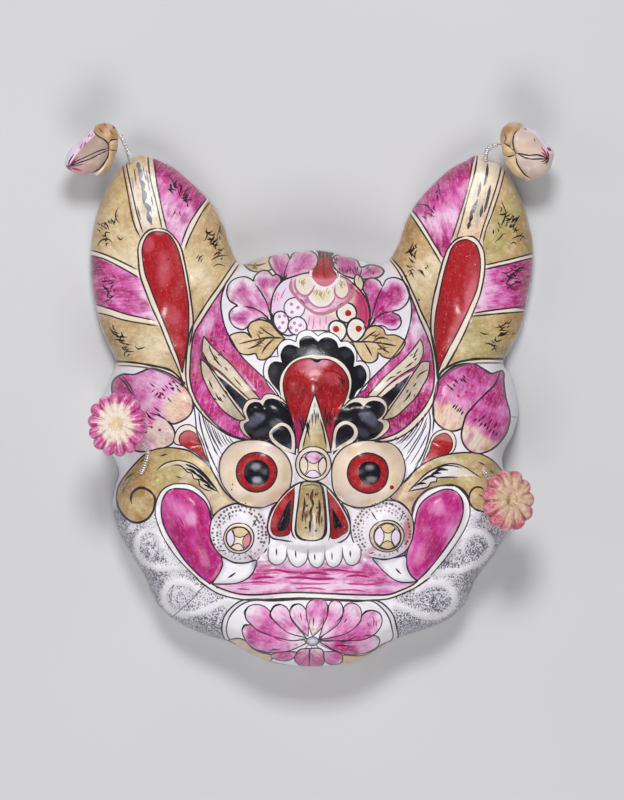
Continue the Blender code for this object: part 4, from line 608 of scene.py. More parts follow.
# Brush lines, laid over the fills. group, colour, width, points. A row of several
# strokes gives each stroke its own points.
LINES = (
    ("ear_l_bands", "ink", 1.7, ((88, 249, 104, 254, 120, 261, 137, 269.5), (88, 254.5, 104, 259, 122, 268, 138.5, 277.5),
                                 (90, 302.5, 108, 308, 126, 314, 155, 320.5), (90, 311, 108, 315, 124, 320, 157, 326))),
    ("ear_l_foot", "ink", 2.4, ((106, 361, 131, 362.3, 151.4, 365.5, 171.8, 371, 186, 385),)),
    ("ear_l_foot_fine", "ink_soft", 1.6, ((116, 365.5, 131, 366, 150, 368.5, 168, 375, 182, 386),)),
    ("ear_l_split", "ink", 1.7, ((208, 195, 199, 208, 190, 222, 184, 236, 181, 246), (212, 198, 202, 212, 194, 227, 188, 240, 184.5, 250))),
    ("ear_l_stripe", "ink", 1.7, ((121, 160, 127, 190, 133, 221, 140, 237), (125, 160, 131, 188, 137, 214, 143, 233),
                                  (147, 152, 150, 178, 156, 202, 162, 229), (153.5, 152, 156, 178, 161, 205, 167, 230))),
    ("ear_l_streak_run", "slate", 1.6, ((133.5, 168, 135, 176, 136, 184), (146, 170, 148, 182, 150, 194), (137, 206, 139, 214, 141, 220), (144, 172, 146, 180), (151, 196, 153, 206))),
    ("ear_l_streak_fine", "grey_blue", 1.4, ((142.5, 165, 144.5, 176), (132, 178, 133.5, 190), (149.5, 205, 152, 214))),
    ("ear_l_streak", "streak", 5.6, ((137.5, 162, 138.5, 168), (138, 167, 140.5, 174, 139.5, 180), (139.5, 179, 143, 185, 142, 191), (142.5, 189, 144.5, 195, 143.5, 203), (143.5, 202, 148.5, 208, 148, 213), (147.5, 212, 149, 218, 151.5, 224))),
    ("ear_l_band", "ink", 1.9, ((158, 228, 149, 230, 142, 237, 138, 248, 138.5, 262, 140, 275, 145, 290, 152, 308, 160, 325, 168, 345, 178, 368, 185, 387),
                                (158, 228, 167, 230.5, 175, 238, 181, 248, 184.5, 262, 188, 280, 191, 300, 193.3, 320, 192, 334, 189.5, 346))),
    ("ear_l_marks", "ink", 1.7, ((118.5, 207, 115.5, 213, 116, 219, 119.5, 223), (96, 222, 100, 225), (102, 223, 106, 224, 109, 230), (103, 226, 107, 229),
                                      (109.5, 220.5, 112, 224), (112, 219.5, 114.5, 225), (115, 219, 114, 224), (104, 222, 105, 226), (104, 237, 106, 232, 110, 233),
                                      (104.5, 232, 106, 238), (97, 246, 101, 240, 108, 239, 112, 242.5), (117, 236, 120, 239.5, 123, 238),
                                      (113, 275, 116, 279), (107, 283, 110, 280, 112, 282), (104, 287, 109, 289), (108, 291, 107, 298), (107, 293, 110, 293),
                                      (108, 296, 110, 299), (103, 302, 107, 300, 112, 300), (168, 175, 173, 182, 175, 190), (178, 190, 180, 196),
                                      (183, 196, 186, 190, 191, 187), (183, 198, 187, 203), (186, 200, 192, 199), (187, 203, 188, 207), (109, 327, 113, 333, 120, 337),
                                      (119, 337, 127, 337), (118, 340, 122, 343, 127, 344), (121, 346, 124, 350, 128, 349), (122, 347, 128, 347),
                                      (124, 357, 125, 352, 134, 351.5), (135, 346, 138, 349, 145, 347), (206, 228, 207, 235, 204, 241), (208, 237, 213, 240),
                                      (209, 242, 214, 245), (213, 247, 218, 241), (213, 256, 218, 252, 221, 253), (211, 260, 218, 256, 227, 255),
                                      (213, 267, 218, 264, 225, 266), (198, 262, 200, 257, 203, 255), (220, 225, 219, 232), (219, 235, 220, 240))),
    ("ear_l_marks_bold", "black", 2.3, ((102, 285, 108, 291), (178, 183, 181, 186, 180, 193), (121, 332, 123, 338), (114, 339, 125, 341), (210, 245, 217, 239, 217, 236.5))),
    ("ear_r_stripe", "ink", 1.7, ((474, 150, 471, 172, 466, 195, 458, 220, 451.5, 240), (478.5, 150, 475, 172, 468, 197, 461.5, 222, 456.5, 239),
                                  (503, 162, 497, 185, 489, 210, 483, 228, 479.5, 241), (507, 164, 500, 190, 492, 214, 486, 230, 483, 243))),
    ("ear_r_streak", "slate", 3.4, ((481, 182, 479.5, 190, 478, 197), (478, 199, 475, 206, 474, 213), (488, 163, 487, 174, 484, 186), (490.5, 186, 487.5, 200, 484.5, 212),
                                    (482.5, 205, 480.5, 217), (473, 206, 471, 216, 470, 224))),
    ("ear_r_streak_tip", "black", 4.2, ((472.5, 215, 470.5, 221), (470, 221, 468, 229))),
    ("ear_r_bands", "ink", 1.8, ((409, 205, 416, 214, 424, 226, 434, 243, 443, 257), (407, 208, 420, 228, 430, 244, 441.5, 264),
                                 (537, 252, 510, 259.3, 485, 265), (537, 256.5, 510, 263.5, 485, 269.5), (530, 305.5, 510, 308, 490, 310.5, 472, 313.5),
                                 (530, 311, 500, 313.5, 471, 316.5))),
    ("ear_r_foot", "ink", 2.6, ((437.5, 380, 442, 371, 455, 363.5, 467, 360.3, 480, 358.8, 510, 358.8),)),
    ("ear_r_foot_fine", "ink_soft", 1.7, ((439, 384, 445, 376, 452, 370, 460, 366.5, 470, 364, 482, 363, 506, 363),)),
    ("ear_r_band", "ink", 1.9, ((466, 235.8, 456.5, 239, 449, 247, 444, 258, 440.5, 270, 438, 280, 433.5, 298, 431.2, 314, 430.7, 330, 433, 345, 436, 362, 437.3, 381),
                                (466, 235.8, 474, 237, 480, 243, 484, 252, 485, 265, 483.5, 280, 480, 295, 475, 308, 468, 325, 460, 342, 452, 357, 443, 372))),
    ("ear_r_marks", "ink", 1.7, ((421, 204, 427, 205, 431, 210), (431, 209, 434, 213), (437, 180, 440, 190), (437, 193, 438, 200), (409, 248, 411, 254, 415, 256),
                                      (411, 252, 416, 259), (409, 257, 413, 263), (406, 265, 411, 268), (408, 273, 410, 270, 414, 278), (418, 270, 422, 273, 425, 277),
                                      (503, 205, 506, 212, 504, 220, 501, 226), (506, 217, 508, 219, 512, 218), (498, 222, 500, 225), (511, 217, 514, 216, 512, 221),
                                      (510, 228, 515, 224), (514, 230, 517, 227), (514, 233, 516, 229, 517, 233), (512, 239, 518, 236, 523, 236, 527, 239),
                                      (511, 244, 514, 242, 517, 244), (495, 242, 500, 238, 503, 234, 506, 234), (521, 267, 514, 273, 508, 276), (527, 278, 532, 274),
                                      (500, 281, 505, 281), (512, 284, 525, 280), (511, 288, 516, 290), (509, 321, 502, 326, 495, 328), (499, 331, 503, 329),
                                      (480, 332, 484, 334, 489, 334), (512, 334, 516, 333), (494, 339, 497, 342), (485, 343, 493, 345, 497, 352))),
    ("ear_r_marks_bold", "black", 2.3, ((511, 223, 517, 217), (514, 224, 520, 215), (513, 272, 516, 277), (514, 281, 522, 283), (498, 336, 507, 334))),
    ("ring_l", "ink", 1.9, ((236, 260, 228, 272, 218, 287, 208, 301, 198, 317, 191, 330, 188, 345, 186.3, 360, 186, 375, 188, 388, 192.5, 400, 199, 410, 208, 420, 222, 431, 236, 437.7, 247, 440.3),
                            (239.5, 263, 231, 276, 221, 291, 211, 306, 201, 322, 194.5, 333, 191.5, 348, 190.5, 363, 190, 376, 192.5, 390, 199, 404, 208, 416, 220, 427.5, 234, 436, 250, 439.7))),
    ("ring_r", "ink", 1.9, ((389, 258, 397, 269, 403, 280, 408.5, 291, 413, 302, 420, 320, 424.5, 330, 428.5, 340, 431.5, 350, 433, 360, 434, 374, 433, 388, 429, 399, 422, 410, 412, 421, 400, 431, 387, 437, 373, 440.3),
                            (391, 257, 401, 269, 407, 280, 412, 291, 417, 302, 421, 312, 426, 322, 430, 331, 433.3, 341, 435.5, 351, 437, 361, 438, 372, 437.3, 389, 433, 402, 427.5, 412, 416, 425.5, 402, 436, 388, 441, 374, 441.8))),
    ("wing_l_curve", "ink", 1.7, ((227, 281, 222, 295, 221.3, 310, 226, 329, 233.6, 343.3, 242.2, 356.7, 254.6, 369.1, 268, 381.6, 275, 390, 281, 399),)),
    ("wing_r_curve", "ink", 1.7, ((404, 280, 409.5, 296, 411.5, 311, 409, 327, 403, 343, 390, 360, 376, 374, 361.5, 389, 357, 397),)),
    ("wing_l_hairs", "ink", 1.7, ((209, 345, 212, 353, 217, 361, 222, 367), (225, 367, 228, 371), (234, 377, 238, 382, 243, 387), (202, 374, 205, 382), (209, 380, 213, 389),
                                       (216, 393, 219, 399, 224, 402), (203, 352, 210, 366, 218, 376))),
    ("wing_l_rib", "brown", 1.7, ((210, 364, 225, 377, 238, 389, 250, 399.5),)),
    ("wing_r_hairs", "ink", 1.7, ((413, 362, 405, 368), (401, 371, 396, 374), (396, 376, 390, 378, 386, 382), (427, 370, 420, 374, 416, 379), (416, 383, 413, 387),
                                       (411, 391, 407, 398, 403, 402), (418, 348, 413, 357))),
    ("calyx_folds", "black", 1.8, ((319, 248, 320, 254, 320, 260), (323, 248, 323.5, 256, 323, 264), (327, 248, 327, 254, 326.5, 260), (331, 249, 330, 255, 330, 261), (335, 249, 333, 255))),
    ("calyx_fold_low", "red_deep", 2.0, ((318, 262, 317, 269, 315, 274), (330, 262, 331, 269, 334, 274), (324, 262, 324, 272, 325, 278))),
    ("petal_split_tl", "ink", 1.6, ((283, 280, 286, 268, 289.5, 259),)),
    ("petal_split_l", "ink", 1.6, ((272, 322, 268, 306, 262, 294, 255, 284), (271, 321.5, 262, 313, 252, 308, 243, 307))),
    ("petal_split_tr", "ink", 1.6, ((358, 280, 361, 272, 361.5, 267),)),
    ("petal_split_r", "ink", 1.6, ((369, 327, 373, 312, 377, 299, 382.5, 287), (369.5, 327, 376, 318, 384, 313, 392, 312))),
    ("leaf_veins", "ink", 2.0, ((284, 338.5, 268, 338, 252, 341, 240, 344), (276, 338, 266, 332, 260, 327), (266, 338.5, 256, 346, 248, 349), (274, 339, 266, 347, 262, 354),
                                     (353, 342.5, 368, 342, 384, 344, 396, 346), (361, 342, 370, 335, 376, 331), (372, 342.3, 380, 338, 388, 339), (364, 342.5, 369, 351, 372, 357), (376, 343, 384, 350, 389, 353),
                                     (247, 264, 256, 265.5, 266, 263))),
    ("melon_bands", "melon_line", 3.4, ((291.5, 279, 291, 289, 297, 298, 308, 309, 318, 314, 330, 312, 343, 305, 351.5, 297, 354, 286),)),
    ("melon_lobes", "melon_line", 2.2, ((296, 279, 295, 287, 300, 294, 307, 296, 312, 291, 315, 285), (335, 285, 335, 294, 341, 299, 347, 296, 349, 289, 346, 281),
                                        (308, 296, 309, 301, 314, 306, 321, 308, 329, 306, 334, 300, 335, 295))),
    ("melon_edge", "rose", 2.2, ((353, 288, 361, 297, 365.5, 308, 366, 320, 363, 330),)),
    ("melon_streaks", "pink", 1.6, ((310, 316, 308, 326), (314, 317, 313, 330), (320, 318, 320, 327), (326, 317, 326, 325), (277, 292, 274, 302), (286, 288, 280, 300))),
    ("flame_folds", "red_deep", 2.0, ((316, 376, 315, 386, 315, 394), (321, 374, 328, 371, 336, 372.5, 342, 377, 346, 384), (288, 393, 287, 383, 291, 375), (321, 402, 326, 415, 330, 428),
                                      (305, 372, 300, 384, 299, 398), (335, 384, 333, 398, 331, 410))),
    ("flame_top", "black", 3.2, ((312, 359.5, 317, 361.5, 322, 359.5),)),
    ("wedge_lines", "ink", 1.7, ((310, 419, 306.5, 432, 303, 447), (320, 419, 323.5, 431, 326.5, 447))),
    ("peach_l_creases", "ink", 1.8, ((150, 413, 158, 415, 164, 418, 168, 421),)),
    ("peach_l_stem", "ink", 1.7, ((118, 376.5, 125, 383, 130, 391, 136, 397), (122, 376, 128.5, 384, 134, 393))),
    ("peach_l_hatch", "ink", 2.0, ((146, 411, 150, 417, 156, 420), (154, 407, 161, 412), (157, 412, 163, 418))),
    ("peach_l_hatch_fine", "ink", 1.8, ((162, 388, 165, 391), (170, 387, 175, 391), (177, 388, 182, 393), (155, 396, 159, 393), (158, 398, 161, 394), (150, 383, 155, 387), (168, 398, 172, 402))),
    ("peach_r_hatch", "ink", 2.0, ((446, 384, 450, 388), (453, 379, 458, 384), (462, 378, 466, 383), (488, 424, 492, 419), (494, 428, 497, 422), (481, 419, 485, 415))),
    ("jaw_crack", "ink_soft", 0.9, ((169, 620, 176, 614, 184, 606.5, 192, 599.5, 199, 591, 207, 584),)),
    ("cheek_crack", "ink_soft", 0.8, ((511, 416.5, 515, 417.2, 520, 417.3),)),
    ("hair_l", "ink", 1.6, ((194, 402, 196, 420, 197.5, 433, 202, 447, 208, 461, 215, 475, 219, 483), (199, 411, 201, 425, 205, 440, 211, 456, 219, 473))),
    ("hair_l_fine", "ink", 1.15, ((203, 415, 207, 430, 214, 447, 220, 458), (208, 421, 212, 434, 219, 449, 222, 454), (214, 427, 218, 438, 223, 447), (221, 432, 225, 440, 229, 446), (229, 436, 232, 441, 236, 444), (201, 409, 205, 424, 211, 440, 217, 455), (205, 417, 210, 432, 217, 446), (211, 424, 216, 437, 222, 447), (217, 430, 221, 439, 226, 446), (225, 434, 228, 440, 233, 445))),
    ("hair_r", "ink", 1.6, ((429, 410, 430, 425, 427.5, 440, 423.5, 452, 418, 463, 411.5, 474, 404, 483), (433, 404, 433.5, 420, 432, 433))),
    ("hair_r_fine", "ink", 1.15, ((425, 413, 420, 426, 411, 440, 402, 450), (427, 422, 420, 437, 411, 452, 404, 462), (428, 432, 420, 448, 410, 464), (418, 421, 411, 432, 402, 441),
                                      (408, 432, 401, 440, 395, 444), (397, 436, 391, 442), (427, 417, 421, 432, 412, 446, 406, 456), (422, 417, 415, 430, 406, 441), (414, 427, 407, 437, 399, 444), (428, 440, 421, 456, 413, 468), (403, 434, 396, 441))),
    ("scroll_l_curl", "ink", 2.8, ((116, 498, 118.5, 508, 125, 517, 133, 522, 141, 522, 149, 517.5, 154, 509, 155.5, 499, 152, 492.5, 147, 489, 142, 487.5, 136, 489.5, 132, 494, 131, 500, 132.5, 504),)),
    ("scroll_l_feather", "ink", 1.6, ((157, 470, 165, 463.5, 175, 460.7, 184, 461, 195, 465, 205, 474, 213, 484, 219.5, 493),)),
    ("scroll_l_barbs", "black", 3.0, ((186, 464, 195, 468, 205, 476, 214, 487), (187, 468.5, 193, 471, 199, 476), (194, 473, 200, 476, 206, 482), (199, 479, 205, 481, 211, 486), (204, 484, 210, 487, 217, 491))),
    ("scroll_l_jags", "ink", 1.5, ((172, 465, 180, 465, 184, 468, 188, 472, 192, 473, 194, 478, 199, 480, 200, 485, 205, 489, 212, 491),)),
    ("scroll_r_curl", "ink", 2.4, ((411.5, 515, 413, 507, 417, 499, 425, 491, 436, 486.5, 446, 485, 455, 485.5, 462, 489, 467, 495, 468.5, 500, 471, 505.5, 476, 509.5, 483, 511.5),
                                   (484, 490, 480, 487, 474, 487.5, 469.5, 493, 469, 500))),
    ("scroll_r_feather", "ink", 1.6, ((408, 491, 415, 484, 425, 474, 435, 468, 446, 464, 456, 464, 466, 468, 475, 474, 481, 478), (412, 488, 420, 479, 430, 471, 442, 466, 452, 465.5, 462, 468))),
    ("scroll_r_barbs", "black", 3.0, ((415, 486, 420, 483, 426, 483.5), (421, 481, 430, 476, 437, 477.5), (429, 477, 434, 473, 441, 473), (433, 473, 440, 469, 448, 470))),
    ("scroll_r_jags", "ink", 1.5, ((408, 491, 418, 489, 427, 487, 431, 482, 436, 481.5, 437, 478, 446, 477, 458, 477),)),
    ("scroll_l_hairs", "ink", 1.6, ((124, 482, 128, 477, 134, 473), (122, 494, 125, 487), (140, 462, 147, 458), (176, 476, 182, 478), (160, 456, 168, 454))),
    ("scroll_r_hairs", "ink", 1.6, ((498, 478, 500, 486, 497, 494), (490, 470, 494, 474), (478, 462, 485, 465), (478, 494, 484, 498, 487, 503))),
    ("eye_l_lid", "ink", 1.6, ((243, 440, 233, 443.3, 225, 451, 220.3, 460, 219.3, 471),)),
    ("pad_l_whisk", "ink", 1.7, ((228.5, 512, 230.5, 520), (258, 517, 252.5, 526), (220, 550.5, 226, 550), (248, 554, 253, 559))),
    ("pad_r_whisk", "ink", 1.7, ((371, 511, 374, 516, 377, 520), (403, 512, 400, 520), (396, 549, 398, 552), (370, 553, 374, 552))),
    ("nose_bands", "ink", 1.7, ((294.5, 486, 293.3, 505, 291.8, 520, 292, 532, 296, 539), (300.5, 483, 298.5, 500, 296, 520, 295.3, 531, 298.5, 537.5, 306, 540.5),
                                (326.5, 486, 328.3, 500, 330, 520, 330.4, 533, 328, 540), (322.5, 484, 325, 500, 326.3, 520, 326, 532, 321.5, 539.5))),
    ("nose_strokes", "ink", 3.0, ((313, 489, 311, 497, 313, 503, 310.5, 511, 311.3, 517, 310, 523, 310, 531),)),
    ("nose_strokes_side", "ink", 2.4, ((304.5, 497, 304.5, 505, 303, 513, 302.5, 521), (319, 499, 319.7, 509, 319, 523))),
    # painted highlight: a white streak down the nose
    ("nose_highlight_stroke", "white", 2.6, ((314, 512, 314.5, 524, 314, 536),)),
    ("nose_brow", "ink_soft", 1.6, ((302, 486, 312, 484, 321, 486.5),)),
    ("tooth_ticks", "ink", 1.8, ((276.5, 548, 276.8, 555), (295.5, 550, 296, 557.5), (314.5, 553.5, 315, 560), (331.8, 552, 332, 559.5), (350, 550, 350.4, 556.5))),
    ("tooth_edges", "ink_soft", 1.4, ((269.3, 545, 268, 553, 269.5, 560.5, 275.5, 564.5, 282, 562.8, 286, 557.5, 287, 549), (287.3, 547, 287, 553, 290.5, 562, 297, 566.6, 303.3, 564, 307.2, 558.5, 308, 550),
                                       (308.3, 549, 308, 556, 310.8, 563.8, 316.5, 567, 321.3, 565, 324.3, 559, 325, 550), (325.2, 549, 325, 556, 328, 564.3, 333.8, 566.8, 339, 564, 342, 557.8, 342.5, 548),
                                       (342.8, 547, 342.5, 553, 345.8, 561.8, 351, 565, 357, 563, 360.5, 556.5, 360.5, 548, 359, 544))),
    ("fang_ticks", "ink", 2.4, ((228, 577.5, 232, 575, 236, 572), (395.5, 568, 398, 571, 401, 573.5))),
    ("mouth_streaks", "magenta_deep", 2.6, ((262, 571, 276, 569.5, 288, 571.5, 302, 572), (300, 573.5, 316, 572.5, 330, 574), (322, 569, 338, 569.5, 352, 571.5, 366, 572), (346, 576, 358, 575, 370, 577),
                                            (284, 577.5, 300, 577, 318, 578.5, 334, 578), (252, 579, 262, 577, 274, 577))),
    ("mouth_streaks_pink", "magenta", 2.0, ((240, 583, 258, 581.5, 276, 583), (290, 582.5, 310, 583.5, 330, 583), (296, 588, 312, 587.5, 326, 589), (346, 583, 364, 584, 380, 583.5), (236, 588.5, 250, 589), (336, 590, 352, 589.5, 366, 591))),
    ("mouth_streaks_pale", "pink_pale", 2.0, ((244, 586, 262, 585.5, 282, 586.5), (300, 580.5, 320, 581, 344, 580.5), (340, 587, 360, 587.5, 384, 587), (266, 574.5, 280, 574), (330, 576, 344, 573.5))),
    ("mouth_line", "ink", 2.0, ((212, 584, 222, 588.5, 232, 592, 244, 594.2, 262, 594.2, 280, 592.7, 300, 592, 330, 593.2, 360, 594.5, 380, 594.7, 390, 594, 400, 590.3, 411, 585.5, 418, 581),)),
    ("mouth_gum", "ink", 1.5, ((257, 560, 260, 556),)),
    ("fang_l_shadow", "slate", 3.0, ((257, 560, 256.5, 564, 255, 569), )),
    ("lip_line", "ink", 1.9, ((197, 579, 205, 585, 213, 590.5, 222, 594.7, 236, 598.3, 250, 599.7, 275, 598.7, 300, 597.6, 330, 598.6, 355, 600, 375, 599.7, 388, 598.5, 401, 594, 416, 587, 430, 577),)),
    ("teardrop_l_side", "ink_soft", 1.5, ((192, 484.8, 203, 492.5, 210, 503.5, 212.3, 515),)),
    ("teardrop_r_side", "ink_soft", 1.5, ((446, 484.5, 434, 487, 422, 494, 415, 504, 412.3, 516),)),
    # painted highlight: a grey-blue glint on the left black lobes
    ("highlight_stroke_lobe_l", "grey_blue", 2.6, ((271, 434.5, 275, 430, 280, 427.5),)),
    ("chin_petal_folds", "magenta", 1.6, ((372, 616, 374, 620, 373, 626), (367, 622, 370, 627), (376, 620, 376, 626), (268, 632, 276, 638, 284, 641), (262, 626, 268, 629), (300, 612, 302, 620))),
    ("chin_petal_lines", "ink", 1.4, ((291, 618, 296, 625, 302, 631, 307, 638), (324, 617, 323, 624, 321.5, 630), (309.5, 618, 310, 624), (313.5, 616, 313.5, 625), (343, 612, 340, 618, 335, 622),
                                      (347, 618, 344, 622), (356, 636, 348, 640, 338, 642), (350, 646, 342, 645, 334, 645.5), (268, 652, 274, 649, 280, 650), (362, 636, 368, 635, 372, 634.5))),
    ("chin_petal_accents", "black", 2.4, ((270.5, 613, 273.5, 606.5, 279.5, 604, 284, 605), (290, 610, 293, 605, 298.5, 603.3), (246, 618, 245, 611.5, 249, 606), (242.5, 630, 244.5, 625, 249, 624.3),
                                          (361, 616, 366, 611, 373, 610), (327.5, 612, 328, 607, 330, 602.5), (309, 653, 310, 662), (268, 652.5, 256, 650, 250, 646))),
    ("chin_ray_lines", "ink_soft", 1.2, ((306, 640, 300, 639.5), (307, 643, 300, 646, 292, 649), (319, 640, 328, 641, 336, 640), (318, 643, 326, 647, 334, 651), (312, 645, 311, 650), (309, 644, 305, 648), (316, 644, 319, 648))),
)

# Round spots. group, colour, radius, points of their middles.
SPOTS = (
    ("berry_dots_l", "pink", 1.8, (291.5, 304.5, 298, 308, 292, 312.5, 279.5, 317, 283, 323, 279.5, 328, 294.5, 323.5, 300.5, 325.5, 296.5, 330.5, 285, 316, 291, 328)),
    ("berry_dots_r", "red", 3.2, (348, 313.5, 336, 329.5, 358.5, 329)),
    ("eye_r_spot", "red", 2.2, (391.5, 487)),
    ("eye_l_specks", "ink_soft", 0.9, (232, 489, 246, 503, 233, 484)),
    ("wing_specks", "ink", 1.1, (402, 277, 406, 276, 168, 259, 419, 300, 426, 268)),
    ("nose_dots", "slate", 1.2, (307, 494, 316, 494, 307, 505, 317, 507, 306.5, 515, 316, 530, 306, 527)),
    ("peach_dots", "rose", 1.5, (126, 412, 134, 418, 141, 424, 130, 428, 146, 432, 152, 427, 160, 430, 466, 392, 472, 386, 458, 396, 480, 382, 489, 404, 498, 398)),
)
